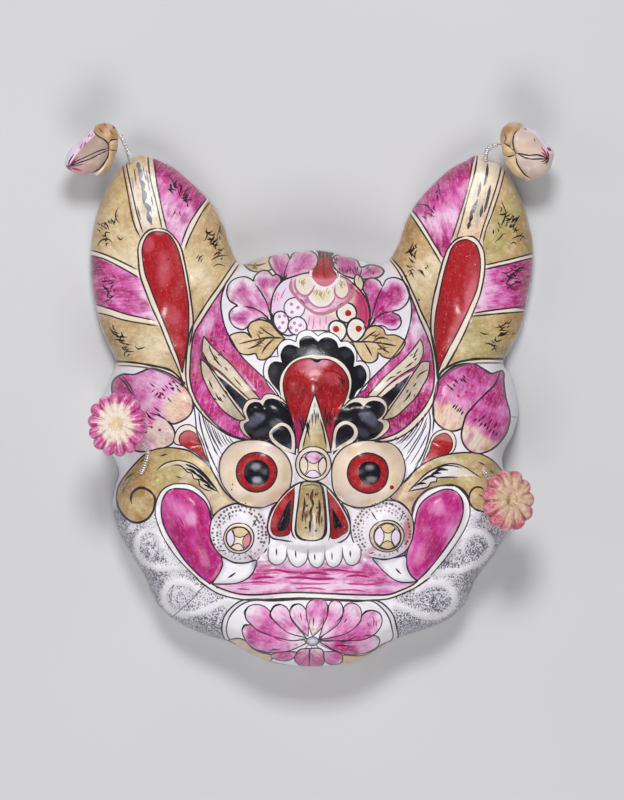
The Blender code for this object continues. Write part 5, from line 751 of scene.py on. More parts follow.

# Soft touches of the brush; the highlight and glare rows are painted highlights. group, colour, strength, x, y, half
# width, half height, tilt, fills it stays on.
TOUCHES = (
    # painted highlights: the lamps' glints above and below the middle of each black pupil
    ("pupil_l_top_highlight", "shade", 0.62, 256.5, 466.5, 5.0, 3.6, 0, "eye_l_pupil"),
    ("pupil_l_bottom_highlight", "shade", 0.66, 257.0, 479.5, 5.0, 3.4, 0, "eye_l_pupil"),
    ("pupil_r_top_highlight", "shade", 0.60, 369.5, 467.0, 5.0, 3.2, 0, "eye_r_pupil"),
    ("pupil_r_bottom_highlight", "shade", 0.50, 371.0, 479.0, 5.0, 3.2, 0, "eye_r_pupil"),
    ("eye_l_warm", "peach", 0.55, 240, 458, 8.0, 8.0, 0, "eye_l_white"),
    ("eye_l_warm_low", "peach", 0.50, 276, 496, 10.0, 6.0, 0, "eye_l_white"),
    ("eye_l_pale", "white", 0.45, 262, 446, 12.0, 4.0, 0, "eye_l_white"),
    ("eye_l_stain_a", "leaf", 0.50, 232, 478, 5.0, 9.0, 0, "eye_l_white"),
    ("eye_l_stain_b", "leaf", 0.55, 246, 499, 9.0, 4.0, -20, "eye_l_white"),
    ("eye_l_stain_c", "leaf", 0.45, 285, 472, 4.0, 9.0, 0, "eye_l_white"),
    ("eye_l_stain_d", "pink_pale", 0.40, 272, 450, 7.0, 4.0, 30, "eye_l_white"),
    ("eye_r_stain_a", "leaf", 0.55, 394, 480, 5.0, 8.0, 0, "eye_r_white"),
    ("eye_r_stain_b", "leaf", 0.50, 352, 452, 6.0, 5.0, 0, "eye_r_white"),
    ("eye_r_stain_c", "leaf", 0.50, 386, 448, 7.0, 5.0, 30, "eye_r_white"),
    ("eye_r_stain_d", "leaf", 0.40, 368, 502, 9.0, 3.5, 0, "eye_r_white"),
    ("eye_r_warm", "peach", 0.50, 396, 462, 7.0, 12.0, 0, "eye_r_white"),
    ("eye_r_pale", "white", 0.45, 350, 498, 12.0, 5.0, 0, "eye_r_white"),
    ("melon_red_low", "red_wash", 0.45, 322, 320, 14.0, 6.0, 0, "melon"),
    ("flame_glare_top", "pink_pale", 0.80, 318, 363.5, 16.0, 4.5, 0, "flame"),
    ("flame_glare_mid", "lilac", 0.45, 312, 371, 12.0, 6.0, 0, "flame"),
    ("flame_low_wash", "magenta", 0.55, 298, 430, 8.0, 14.0, 0, "flame"),
    ("flame_low_wash_r", "rose", 0.45, 334, 425, 8.0, 14.0, 0, "flame"),
    ("wing_l_high_pale", "pink_pale", 0.65, 206, 329, 7.0, 12.0, 25, "wing_l"),
    ("wing_l_low_deep", "magenta", 0.95, 228, 428, 16.0, 8.0, -30, "wing_l"),
    ("wing_r_side_dull", "rose", 0.35, 427, 380, 6.0, 20.0, 0, "wing_r"),
    ("ear_l_mid_deep", "magenta_deep", 0.75, 94, 285, 12.0, 22.0, 0, "ear_l_outer_mid"),
    ("ear_l_mid_dark", "plum", 0.65, 90, 266, 9.0, 18.0, 0, "ear_l_outer_mid"),
    ("ear_l_magenta_deep", "magenta_deep", 0.65, 182, 186, 14.0, 12.0, 30, "ear_l_inner_top"),
    ("ear_l_magenta_edge", "magenta_deep", 0.60, 198, 200, 8.0, 14.0, 0, "ear_l_inner_top"),
    ("ear_r_mid_deep", "magenta_deep", 0.60, 518, 280, 16.0, 12.0, 0, "ear_r_outer_mid"),
    ("ear_r_magenta_low", "magenta_deep", 0.60, 442, 244, 6.0, 12.0, 30, "ear_r_inner_top"),
    ("ear_r_magenta_edge", "magenta_deep", 0.55, 420, 196, 10.0, 12.0, 0, "ear_r_inner_top"),
    ("ear_r_olive", "olive", 0.60, 484, 236, 8.0, 14.0, 0, "ear_r_outer_top"),
    ("ear_r_low_olive", "olive", 0.65, 500, 345, 18.0, 12.0, 0, "ear_r_outer_low"),
    ("ear_r_low_brown", "brown_wash", 0.55, 512, 350, 14.0, 8.0, 0, "ear_r_outer_low"),
    ("ear_r_in_brown", "brown_wash", 0.45, 392, 248, 8.0, 10.0, 0, "ear_r_inner_low"),
    ("ear_l_low_brown", "brown_wash", 0.22, 100, 325, 10.0, 10.0, 0, "ear_l_outer_low"),
    ("ear_l_in_brown", "brown_wash", 0.35, 225, 225, 8.0, 14.0, 20, "ear_l_inner_low"),
    ("pad_l_rose", "red_wash", 0.18, 252, 556, 10.0, 4.0, 0, "pad_l"),
    ("pad_r_low", "red_wash", 0.55, 372, 549, 7.0, 3.0, -30, "pad_r"),
    ("pad_r_tan", "ochre", 0.75, 409, 526, 4.5, 12.0, 0, "pad_r"),
    ("nose_ridge_dark", "olive", 0.60, 312, 496, 10.0, 12.0, 0, "nose_ridge"),
    ("nose_ridge_brown", "brown_wash", 0.30, 304, 508, 6.0, 16.0, 0, "nose_ridge"),
    ("nose_ridge_pale", "cream", 0.65, 316, 532, 6.0, 8.0, 0, "nose_ridge"),
    ("nose_wing_l_pink", "red_wash", 0.50, 274, 522, 4.0, 8.0, 10, "wing_nose_l"),
    # painted highlights: grey-blue glints of the lamps on the black lobes, blades and scallops
    ("highlight_on_lobes_l_upper", "grey_blue", 0.62, 256, 420, 10.5, 6.0, -35, "lobes_l"),
    ("highlight_on_lobes_l_lower", "grey_blue", 0.35, 262, 432, 9.0, 4.0, -25, "lobes_l"),
    ("highlight_on_lobes_r_upper", "grey_blue", 0.62, 369, 418, 12.0, 6.0, 38, "lobes_r"),
    ("highlight_on_lobes_r_lower", "grey_blue", 0.35, 362, 432, 8.0, 4.5, 25, "lobes_r"),
    ("highlight_on_blade_l", "grey_blue", 0.60, 224, 384, 9.0, 3.5, -45, "wing_l_blade"),
    ("highlight_on_blade_r", "grey_blue", 0.60, 400, 385, 9.0, 3.5, 45, "wing_r_blade"),
    ("highlight_on_scallops_middle", "grey_blue", 0.22, 288, 352, 6.0, 5.0, 0, "scallop_black"),
    ("highlight_on_scallops_top", "grey_blue", 0.0, 309, 344, 6.0, 4.0, 0, "scallop_black"),
    ("highlight_on_scallops_right", "grey_blue", 0.18, 328, 345, 6.0, 4.0, 0, "scallop_black"),
    ("highlight_on_scallops_far_right", "grey_blue", 0.22, 346, 354, 6.0, 4.5, 0, "scallop_black"),
    ("highlight_on_scallops_left", "grey_blue", 0.25, 274, 369, 4.5, 6.0, 0, "scallop_black"),
    ("highlight_on_scallops_end", "grey_blue", 0.25, 361, 373, 4.5, 6.0, 0, "scallop_black"),
    ("flame_glare", "red_wash", 0.55, 309, 367, 15.0, 7.0, 0, "flame"),
    ("flame_glare_r", "red_wash", 0.35, 334, 378, 9.0, 8.0, 0, "flame"),
    ("flame_shade", "magenta_deep", 0.60, 297, 436, 7.0, 16.0, 0, "flame"),
    ("melon_shade_l", "pink_pale", 0.70, 276, 308, 5.0, 18.0, 8, "melon"),
    ("melon_shade_r", "rose", 0.75, 362, 306, 7.5, 19.0, -8, "melon"),
    ("melon_low", "pink_pale", 0.55, 320, 324, 16.0, 8.0, 0, "melon"),
    ("petal_l_core", "pink", 0.55, 262, 310, 9.0, 12.0, 30, "petal_l_trio"),
    ("petal_l_low", "pink", 0.35, 243, 319, 12.0, 7.0, 0, "petal_l_trio"),
    ("petal_l_pale", "pink_pale", 0.70, 250, 300, 10.0, 7.0, 30, "petal_l_trio"),
    ("petal_l_pale_top", "pink_pale", 0.65, 276, 286, 5.0, 8.0, 0, "petal_l_trio"),
    ("petal_tl_core", "magenta", 0.55, 281, 270, 7.0, 9.0, 0, "petal_tl_low"),
    ("petal_tl_far", "pink", 0.45, 304, 262, 11.0, 8.0, 0, "petal_tl_low"),
    ("petal_r_core", "magenta", 0.65, 380, 308, 14.0, 14.0, -30, "petal_r_trio"),
    ("petal_r_lobe", "magenta_deep", 0.50, 394, 296, 8.0, 9.0, 0, "petal_r_trio"),
    ("petal_r_small", "magenta", 0.60, 390, 321, 7.0, 5.0, 0, "petal_r_trio"),
    ("petal_l_lobe", "magenta", 0.40, 262, 282, 7.0, 6.0, 0, "petal_l_trio"),
    ("petal_l_lobe_low", "magenta", 0.35, 244, 292, 8.0, 6.0, 0, "petal_l_trio"),
    ("petal_l_side", "magenta", 0.35, 240, 320, 6.0, 5.0, 0, "petal_l_trio"),
    ("wing_r_pale", "lilac", 0.85, 416, 312, 9.0, 24.0, 18, "wing_r"),
    ("wing_r_deep", "magenta_deep", 0.60, 424, 376, 7.0, 26.0, 0, "wing_r"),
    ("wing_r_low", "magenta_deep", 0.55, 392, 424, 22.0, 9.0, 25, "wing_r"),
    ("wing_l_pale", "pink_pale", 0.70, 234, 398, 12.0, 12.0, 0, "wing_l"),
    ("wing_l_top", "pink_pale", 0.55, 214, 316, 7.0, 18.0, 25, "wing_l"),
    ("wing_l_deep", "magenta_deep", 0.55, 208, 348, 9.0, 18.0, 0, "wing_l"),
    ("wing_l_low", "pink", 0.55, 226, 424, 16.0, 8.0, -30, "wing_l"),
    ("peach_l_cream", "peach", 0.95, 177, 408, 16.0, 14.0, -20, "peach_l"),
    ("peach_l_lobe", "cream", 1.0, 162, 434, 18.0, 13.0, 0, "peach_l"),
    ("peach_l_deep", "magenta_deep", 0.60, 124, 384, 10.0, 8.0, 40, "peach_l"),
    ("peach_l_side", "magenta", 0.20, 128, 424, 14.0, 14.0, 0, "peach_l"),
    ("peach_l_top", "pink_pale", 0.50, 152, 382, 18.0, 8.0, 0, "peach_l"),
    ("peach_r_cream", "peach", 0.85, 447, 416, 14.0, 12.0, 0, "peach_r"),
    ("peach_r_far_cream", "cream", 0.90, 471, 440, 11.0, 13.0, 0, "peach_r_far"),
    ("peach_r_deep", "magenta_deep", 0.45, 478, 374, 20.0, 8.0, 0, "peach_r"),
    ("peach_r_pale", "pink_pale", 0.55, 455, 390, 12.0, 9.0, 0, "peach_r"),
    ("scroll_l_olive", "olive", 0.80, 158, 478, 12.0, 10.0, 0, "scroll_l"),
    ("scroll_l_pale", "ochre_pale", 0.75, 190, 474, 14.0, 8.0, -35, "scroll_l"),
    ("scroll_l_light", "ochre_pale", 0.60, 138, 504, 9.0, 9.0, 0, "scroll_l"),
    ("scroll_l_brown", "ochre_deep", 0.65, 124, 498, 7.0, 16.0, 0, "scroll_l"),
    ("scroll_r_olive", "olive", 0.70, 456, 481, 22.0, 4.0, 0, "scroll_r"),
    ("scroll_r_pale", "cream", 0.60, 445, 459, 18.0, 5.0, 10, "scroll_r"),
    ("scroll_r_brown", "ochre_deep", 0.60, 494, 474, 9.0, 12.0, 0, "scroll_r"),
    # painted highlights: pale glare on the left ear's red
    ("ear_l_red_highlight_a", "red_wash", 0.42, 164, 276, 8.0, 12.0, 10, "ear_l_red"),
    ("ear_l_red_highlight_b", "red_wash", 0.30, 178, 322, 6.0, 12.0, 10, "ear_l_red"),
    ("ear_r_stripe_shade", "ink_soft", 0.30, 478, 204, 5.0, 22.0, 0, "ear_r_stripe"),
    ("chin_low_l", "cream", 0.70, 301, 652, 6.0, 6.0, 0, "petal_l2"),
    ("chin_low_r", "cream", 0.70, 319, 652, 6.0, 6.0, 0, "petal_l3"),
    ("wing_r_pale_two", "lilac", 0.60, 415, 300, 8.0, 14.0, 20, "wing_r"),
    ("teardrop_l_deep", "magenta_deep", 0.55, 183, 534, 9.0, 22.0, 25, "teardrop_l"),
    ("teardrop_r_deep", "magenta_deep", 0.30, 430, 536, 7.0, 24.0, -20, "teardrop_r"),
    # painted highlights: pale glints high and low on the magenta teardrops
    ("teardrop_l_top_highlight_a", "pink", 0.65, 180, 506, 8.0, 9.0, 0, "teardrop_l"),
    ("teardrop_l_top_highlight_b", "pink_pale", 0.55, 192, 518, 6.0, 7.0, 0, "teardrop_l"),
    ("teardrop_l_bottom_highlight", "pink", 0.18, 206, 562, 8.0, 12.0, 30, "teardrop_l"),
    ("teardrop_r_top_highlight", "pink_pale", 0.45, 436, 508, 9.0, 9.0, 0, "teardrop_r"),
    ("teardrop_r_bottom_highlight", "pink_pale", 0.35, 428, 538, 5.0, 16.0, -12, "teardrop_r"),
    ("ear_l_low_dark", "ochre_deep", 0.50, 104, 336, 12.0, 14.0, 0, "ear_l_outer_low"),
    ("ear_l_low_light", "ochre_pale", 0.60, 148, 344, 16.0, 12.0, 0, "ear_l_outer_low"),
    ("ear_l_right_dark", "ochre_deep", 0.55, 232, 246, 8.0, 16.0, 20, "ear_l_inner_low"),
    ("ear_r_right_dark", "ochre_deep", 0.55, 524, 222, 8.0, 26.0, 12, "ear_r_outer_top"),
    ("ear_r_low_dark", "ochre_deep", 0.50, 512, 338, 14.0, 14.0, 0, "ear_r_outer_low"),
    ("ear_r_low_light", "ochre_pale", 0.65, 468, 344, 14.0, 10.0, 0, "ear_r_outer_low"),
    # painted highlights: pale glare on the red of both ears
    ("ear_r_red_highlight_a", "red_wash", 0.75, 471, 294, 5.5, 22.0, 15, "ear_r_red"),
    ("ear_r_red_highlight_b", "red_wash", 0.60, 458, 326, 6.0, 18.0, 25, "ear_r_red"),
    ("ear_r_red_highlight_c", "red_wash", 0.45, 450, 350, 4.0, 10.0, 25, "ear_r_red"),
    ("ear_l_red_highlight_c", "red_wash", 0.38, 164, 262, 8.0, 12.0, 0, "ear_l_red"),
    ("ear_l_red_highlight_d", "red_wash", 0.42, 172, 314, 7.0, 12.0, -20, "ear_l_red"),
    ("ear_l_red_highlight_e", "red_wash", 0.30, 180, 344, 4.0, 12.0, -15, "ear_l_red"),
    ("ear_l_red_highlight_f", "red_wash", 0.50, 148, 244, 6.0, 8.0, 0, "ear_l_red"),
    ("pad_r_wash", "red_wash", 0.75, 407, 534, 5.0, 14.0, 0, "pad_r"),
    ("fang_l_shade", "grey_blue", 0.55, 255, 563, 3.5, 5.0, 0, "fang_l"),
    ("fang_r_shade", "grey_blue", 0.35, 374, 561, 4.0, 5.0, 0, "fang_r"),
    ("mouth_l_dark", "magenta_deep", 0.55, 262, 570, 9.0, 7.0, 0, "mouth"),
    ("mouth_r_dark", "magenta_deep", 0.55, 368, 570, 9.0, 7.0, 0, "mouth"),
    # painted highlights on the red nose wings
    ("nose_wing_l_highlight", "red_wash", 0.45, 284, 502, 4.0, 7.0, 20, "wing_nose_l"),
    ("nose_wing_r_highlight", "red_wash", 0.45, 334, 506, 4.0, 7.0, -20, "wing_nose_r"),
    ("petal_c_light", "white", 0.80, 300, 636, 12.0, 7.0, 0, "petal_c1"),
)

# Curls of the painted beard. group, strength, width, points; strength 1 is plain white.
CURLS = (
    ("beard_l_high", 0.96, 11.0, (161, 547, 161, 539, 155, 532, 147, 530, 140, 534, 136.5, 542, 137, 551, 142, 559.5, 150, 565.5, 160, 568, 172, 568, 184, 568)),
    ("beard_l_high_in", 0.55, 5.0, (153, 553, 147, 550, 144.5, 544, 148, 539, 153, 541)),
    ("beard_l_wash", 0.75, 22.0, (150, 520, 160, 534, 167, 548, 176, 562)),
    ("beard_l_wash_top", 0.5, 10.0, (130, 530, 137, 520)),
    ("beard_l_low", 1.0, 12.0, (196, 588, 186, 583, 175, 582, 166, 588, 163, 598, 167, 607, 176, 613, 190, 614, 204, 610, 216, 605, 230, 600)),
    ("beard_l_low_in", 0.65, 6.0, (190, 592, 181, 590, 174, 595, 173, 602, 178, 607)),
    ("beard_l_low_core", 0.4, 4.0, (188, 598, 182, 597, 180, 601, 184, 604)),
    ("beard_r_high", 1.0, 12.0, (466, 536, 476, 531, 486, 534, 491, 543, 488, 554, 478, 563, 464, 569, 450, 571, 438, 572)),
    ("beard_r_high_in", 0.75, 9.0, (472, 536, 466, 541, 463, 548)),
    ("beard_r_wash", 0.80, 18.0, (476, 512, 470, 524, 462, 536, 452, 548)),
    ("beard_r_low", 1.0, 13.0, (418, 590, 428, 584, 440, 583, 451, 589, 455, 599, 451, 609, 440, 616, 426, 616, 412, 611, 396, 604)),
    ("beard_r_low_in", 0.45, 4.5, (446, 596, 441, 592, 434, 593, 429, 598)),
    ("beard_r_low_line", 0.9, 6.0, (404, 606, 412, 609, 420, 612)),
)

# Darker and lighter places of the dotting; the thicker dotting of the edge rows l_edge_mid and r_edge is partly the
# beard's own dots and partly painted shade where the side slopes away. group, amount, x, y, half width, half height,
# tilt.
BEARD_SHADES = (
    ("l_edge_top", 0.25, 120, 516, 8, 12, 0), ("l_pocket", 0.30, 148, 556, 12, 6, 20), ("l_edge_mid", 0.85, 156, 590, 8, 20, -20), ("l_edge_side", 0.45, 128, 546, 6, 14, 20), ("l_edge_low", 0.30, 192, 626, 22, 8, -18),
    ("l_chin", 0.50, 216, 630, 8, 14, 10), ("l_gap", 0.15, 152, 578, 10, 8, 0), ("l_soft", -0.35, 200, 596, 16, 9, 0), ("l_strip", 0.10, 196, 620, 20, 5, -12),
    ("r_pocket", 0.35, 478, 548, 10, 12, 35), ("r_sweep", 0.40, 450, 566, 14, 6, 20), ("r_edge", 0.60, 472, 580, 9, 14, 20), ("r_core", 0.50, 437, 600, 13, 11, 0),
    ("r_low", 0.40, 410, 616, 14, 7, -25), ("r_edge_low", 0.25, 450, 616, 14, 7, 30), ("r_near_lip", 0.10, 408, 596, 12, 8, 0), ("r_corner", 0.10, 412, 628, 14, 7, 15),
    ("r_pale", -0.45, 440, 578, 16, 6, 20), ("l_pale", -0.40, 176, 576, 12, 6, 0),
)

# Quick strokes of a brush point. group, colour, width, x, y, angle of the strokes, spread of
# the angles, breadth of the foot, length, count.
FANS = (
    ("ear_l_top_a", "black", 1.9, 99, 226, -55, 30, 30, 7, 4), ("ear_l_top_b", "ink", 1.7, 108, 221, -60, 50, 30, 7, 4), ("ear_l_top_c", "ink", 1.7, 104, 240, 20, 80, 15, 7, 4),
    ("ear_l_mag_a", "black", 2.4, 171, 184, -62, 40, 18, 14.3, 3), ("ear_l_mag_b", "ink", 1.8, 184, 199, 55, 90, 15, 12, 5), ("ear_l_mag_c", "ink", 1.5, 177, 214, 80, 40, 15, 10, 2),
    ("ear_l_mid_a", "black", 1.9, 108, 287, 40, 70, 21, 9, 4), ("ear_l_mid_b", "ink", 1.6, 108, 297, 15, 70, 18, 7, 4),
    ("ear_l_low_a", "black", 1.8, 118, 338, 20, 100, 18, 9, 4), ("ear_l_low_b", "ink", 1.6, 126, 350, 10, 70, 18, 8, 4), ("ear_l_low_c", "ink", 1.5, 112, 328, -50, 30, 9, 10, 2),
    ("ear_l_in_a", "black", 2.1, 210, 240, 35, 60, 24, 9.9, 6), ("ear_l_in_b", "ink", 1.6, 217, 252, 25, 90, 24, 8, 4), ("ear_l_in_c", "ink", 1.4, 199, 259, 60, 30, 12, 8, 2), ("ear_l_in_d", "ink", 1.5, 219, 234, 80, 30, 9, 9, 2),
    ("ear_r_top_a", "black", 1.9, 507, 222, 40, 50, 24, 11, 6), ("ear_r_top_b", "ink", 1.6, 500, 229, 120, 90, 21, 8, 4), ("ear_r_top_c", "ink", 1.4, 517, 236, 30, 60, 18, 8, 3), ("ear_r_top_d", "ink", 1.4, 503, 210, 100, 30, 12, 10, 2),
    ("ear_r_in_a", "black", 1.9, 410, 256, 60, 50, 15, 14.3, 4), ("ear_r_in_b", "ink", 1.6, 411, 268, -10, 80, 21, 8, 4), ("ear_r_in_c", "ink", 1.5, 414, 247, 75, 40, 12, 10, 2), ("ear_r_in_d", "ink", 1.4, 424, 268, -60, 50, 18, 7, 2),
    ("ear_r_mid_a", "black", 2.1, 506, 277, 15, 30, 15, 16, 4), ("ear_r_mid_b", "ink", 1.6, 514, 270, 10, 60, 15, 14, 4), ("ear_r_mid_c", "ink", 1.5, 504, 286, 5, 40, 12, 12, 2),
    ("ear_r_low_a", "black", 2.1, 498, 333, 8, 40, 21, 14, 5), ("ear_r_low_b", "ink", 1.5, 492, 343, -20, 70, 21, 10, 4), ("ear_r_low_c", "ink", 1.5, 506, 325, 25, 40, 12, 9, 2),
    ("ear_r_mag_a", "ink", 1.5, 429, 212, -50, 60, 21, 9.9, 4), ("ear_r_mag_b", "ink", 1.4, 438, 194, 80, 50, 12, 8, 2), ("ear_r_mag_c", "ink", 1.4, 416, 204, -20, 40, 9, 8, 2),
    ("petal_l_base", "ink", 1.5, 271.5, 321, 112, 78, 0, 13, 9), ("petal_r_base", "ink", 1.6, 369.5, 326, 62, 66, 0, 13, 10), ("petal_tl_base", "ink", 1.4, 283.5, 279, 92, 90, 0, 9, 8),
    ("petal_tr_hatch", "ink", 1.6, 346, 268, -80, 20, 26, 8, 10), ("petal_tr_far", "ink", 1.4, 368, 271, 60, 50, 16, 6, 5), ("petal_tr_lip", "ink", 1.5, 333, 260, -40, 50, 12, 7, 5),
    ("lobe_c_hatch", "olive", 1.3, 321, 291, -90, 34, 20, 11, 9), ("lobe_l_hatch", "olive", 1.2, 303, 280, -100, 30, 10, 9, 5), ("lobe_r_hatch", "olive", 1.2, 342, 282, -80, 30, 8, 9, 5),
    ("melon_low_hatch", "pink", 1.0, 316, 326, -90, 30, 40, 6, 9), ("melon_l_hatch", "pink", 1.0, 277, 296, -70, 30, 14, 9, 5), ("melon_r_hatch", "rose", 1.1, 362, 298, -95, 30, 10, 12, 5),
    ("leaf_l_hatch", "brown", 1.6, 262, 342, -150, 40, 12, 9, 5), ("leaf_r_hatch", "brown", 1.6, 380, 346, -20, 40, 10, 9, 5), ("leaf_l_hatch_up", "brown", 1.5, 262, 334, 140, 30, 12, 7, 4), ("leaf_r_hatch_up", "brown", 1.5, 374, 338, 35, 30, 10, 7, 4),
    ("leaf_top_hatch", "brown", 1.6, 256, 266, 190, 40, 8, 10, 5), ("wedge_hatch", "slate", 1.3, 315, 412, -90, 16, 8, 13, 6), ("calyx_top", "black", 1.6, 326, 248, -90, 14, 18, 11, 8),
    ("flame_hatch_l", "black", 1.4, 304, 418, -80, 10, 12, 20, 6), ("flame_hatch_r", "black", 1.4, 330, 412, -98, 10, 12, 18, 5), ("flame_heart", "black", 1.6, 341, 378, -60, 30, 6, 10, 4),
    ("peach_l_hatch_a", "ink", 2.0, 165, 388, -40, 16, 26, 6, 6), ("peach_l_hatch_b", "ink", 2.0, 178, 384, -45, 16, 16, 6, 4), ("peach_l_hatch_c", "magenta_deep", 1.4, 158, 396, 50, 20, 18, 8, 4), ("peach_l_lobe_hatch", "magenta", 1.4, 150, 420, -30, 40, 18, 9, 5),
    ("peach_r_hatch_a", "ink", 2.0, 456, 381, -50, 16, 22, 6, 5), ("peach_r_hatch_b", "ink", 1.8, 456, 412, 55, 20, 14, 7, 5), ("peach_r_far_hatch", "ink", 2.0, 485, 428, 55, 20, 30, 7, 8),
    ("blade_l_hatch", "ink", 1.5, 222, 393, -50, 14, 22, 6, 5), ("blade_r_hatch", "ink", 1.6, 404, 392, 55, 16, 26, 6, 6), ("feather_l_in", "ink", 1.5, 218, 354, -48, 16, 16, 6, 5), ("feather_r_in", "ink", 1.5, 410, 356, 40, 16, 16, 6, 5),
    ("scroll_l_mark", "ink_soft", 1.3, 126, 486, 60, 30, 12, 7, 4), ("nose_mark_l", "brown", 1.6, 305, 508, -88, 10, 8, 14, 4), ("nose_mark_r", "brown", 1.6, 319, 512, -90, 10, 8, 14, 4), ("nose_mark_top", "brown", 1.4, 312, 492, -90, 20, 14, 8, 6),
    ("drop_r_tip", "magenta_deep", 1.5, 426, 460, 50, 20, 6, 7, 3), ("teardrop_l_run", "magenta_deep", 1.6, 176, 524, -60, 14, 16, 22, 6), ("teardrop_r_run", "magenta_deep", 1.6, 430, 552, 60, 14, 18, 22, 6),
   
)

# Rows of dots round the muzzle. group, colour, radius, middle x, y, ring, from and to degrees, count, kept clear of.
DOT_RINGS = (
    ("pad_l_a", "dot", 1.26, 240, 533, 26.6, 58, 222, 20, "coin_l_out"), ("pad_l_b", "dot", 1.26, 240, 533, 22.8, 48, 216, 18, "coin_l_out"), ("pad_l_c", "dot_pale", 1.14, 240, 533, 19.2, 100, 212, 12, "coin_l_out"),
    ("pad_l_d", "dot", 1.38, 240, 533, 26.4, -28, 46, 10, "coin_l_out"), ("pad_l_e", "dot", 1.38, 240, 533, 22.6, -22, 44, 9, "coin_l_out"), ("pad_l_f", "dot", 1.26, 240, 533, 18.8, -12, 40, 6, "coin_l_out"),
    ("pad_l_g", "dot_pale", 1.08, 240, 533, 25.0, 226, 320, 9, "coin_l_out"), ("pad_l_h", "dot_pale", 1.08, 240, 533, 21.2, 240, 300, 5, "coin_l_out"),
    ("pad_r_a", "dot", 1.26, 382, 530, 28.0, 128, 224, 14, "coin_r_out"), ("pad_r_b", "dot", 1.26, 382, 530, 24.2, 122, 220, 13, "coin_r_out"), ("pad_r_c", "dot_pale", 1.14, 382, 530, 20.4, 130, 214, 9, "coin_r_out"),
    ("pad_r_d", "dot", 1.26, 382, 530, 27.6, -30, 112, 20, "coin_r_out"), ("pad_r_e", "dot_pale", 1.20, 382, 530, 23.8, -24, 108, 16, "coin_r_out"), ("pad_r_f", "dot_pale", 1.14, 382, 530, 20.0, 20, 104, 9, "coin_r_out"),
    ("pad_r_g", "dot_pale", 1.08, 382, 530, 25.4, 230, 318, 9, "coin_r_out"),
)

# ---------------------------------------------------------------- raised and sunk details
# fill, rise in mm, distance over which it rises
RELIEF = (
    ("nostril_l", -1.6, 1.8), ("nostril_r", -1.6, 1.8), ("tooth_1", 0.9, 1.6), ("tooth_2", 0.9, 1.6), ("tooth_3", 0.9, 1.6),
    ("tooth_4", 0.9, 1.6), ("tooth_5", 0.9, 1.6), ("fang_l", 1.3, 2.4), ("fang_r", 1.3, 2.4), ("teardrop_l", 0.8, 4.0),
    ("teardrop_r", 0.8, 4.0), ("peach_l", 0.7, 3.5), ("peach_r", 0.7, 3.5), ("peach_r_far", 0.6, 3.5), ("pad_l", 0.5, 2.5),
    ("pad_r", 0.5, 2.5), ("coin_b_out", 0.35, 0.8), ("coin_l_out", 0.35, 0.8), ("coin_r_out", 0.35, 0.8), ("scroll_l", 0.6, 3.0),
    ("scroll_r", 0.6, 3.0), ("lobes_l", 0.6, 2.5), ("lobes_r", 0.6, 2.5), ("flame", 0.4, 3.0), ("mouth", -0.5, 3.0), ("nose_ridge", 0.5, 2.5),
)


# how each family of paint lies: streaks, pale flecks, tint where thin, tint where thick
FEELS = (
    (("magenta", "magenta_deep", "pink", "pink_pale", "rose"), (1.0, 0.12), (240, 196, 226), (158, 16, 96)),
    (("red", "red_deep"), (0.14, 1.0), (200, 60, 76), (120, 8, 18)),
    (("black", "slate", "navy"), (0.0, 0.0), (60, 60, 78), (14, 12, 20)),
    (("ochre", "ochre_deep", "ochre_pale", "olive", "leaf", "peach", "tan", "bud_ochre"), (0.42, 0.0), (236, 220, 188), (150, 112, 62)),
)
EVEN_FEEL = ((0.12, 0.0), (244, 240, 244), (206, 192, 178))


# areas laid in with a fuller brush: how strong its strokes are, how broad, and how much fine grain is left
BROAD_BRUSH = {
    "teardrop_l": (0.75, 1.9, 0.22), "teardrop_r": (0.85, 1.8, 0.22), "peach_l": (0.62, 1.6, 1.0), "peach_r": (0.80, 1.4, 1.0),
    "peach_r_far": (0.80, 1.4, 1.0), "mouth": (0.80, 1.3, 1.0), "petal_c1": (0.75, 1.4, 1.0), "petal_c7": (0.80, 1.4, 1.0),
}


def feel_of(colours):
    """The family that most of an area's colours belong to."""
    counts = [sum(c in names for c in colours) for names, *_ in FEELS]
    best = int(np.argmax(counts))
    if counts[best] * 2 < len(colours):
        return EVEN_FEEL
    return FEELS[best][1:]


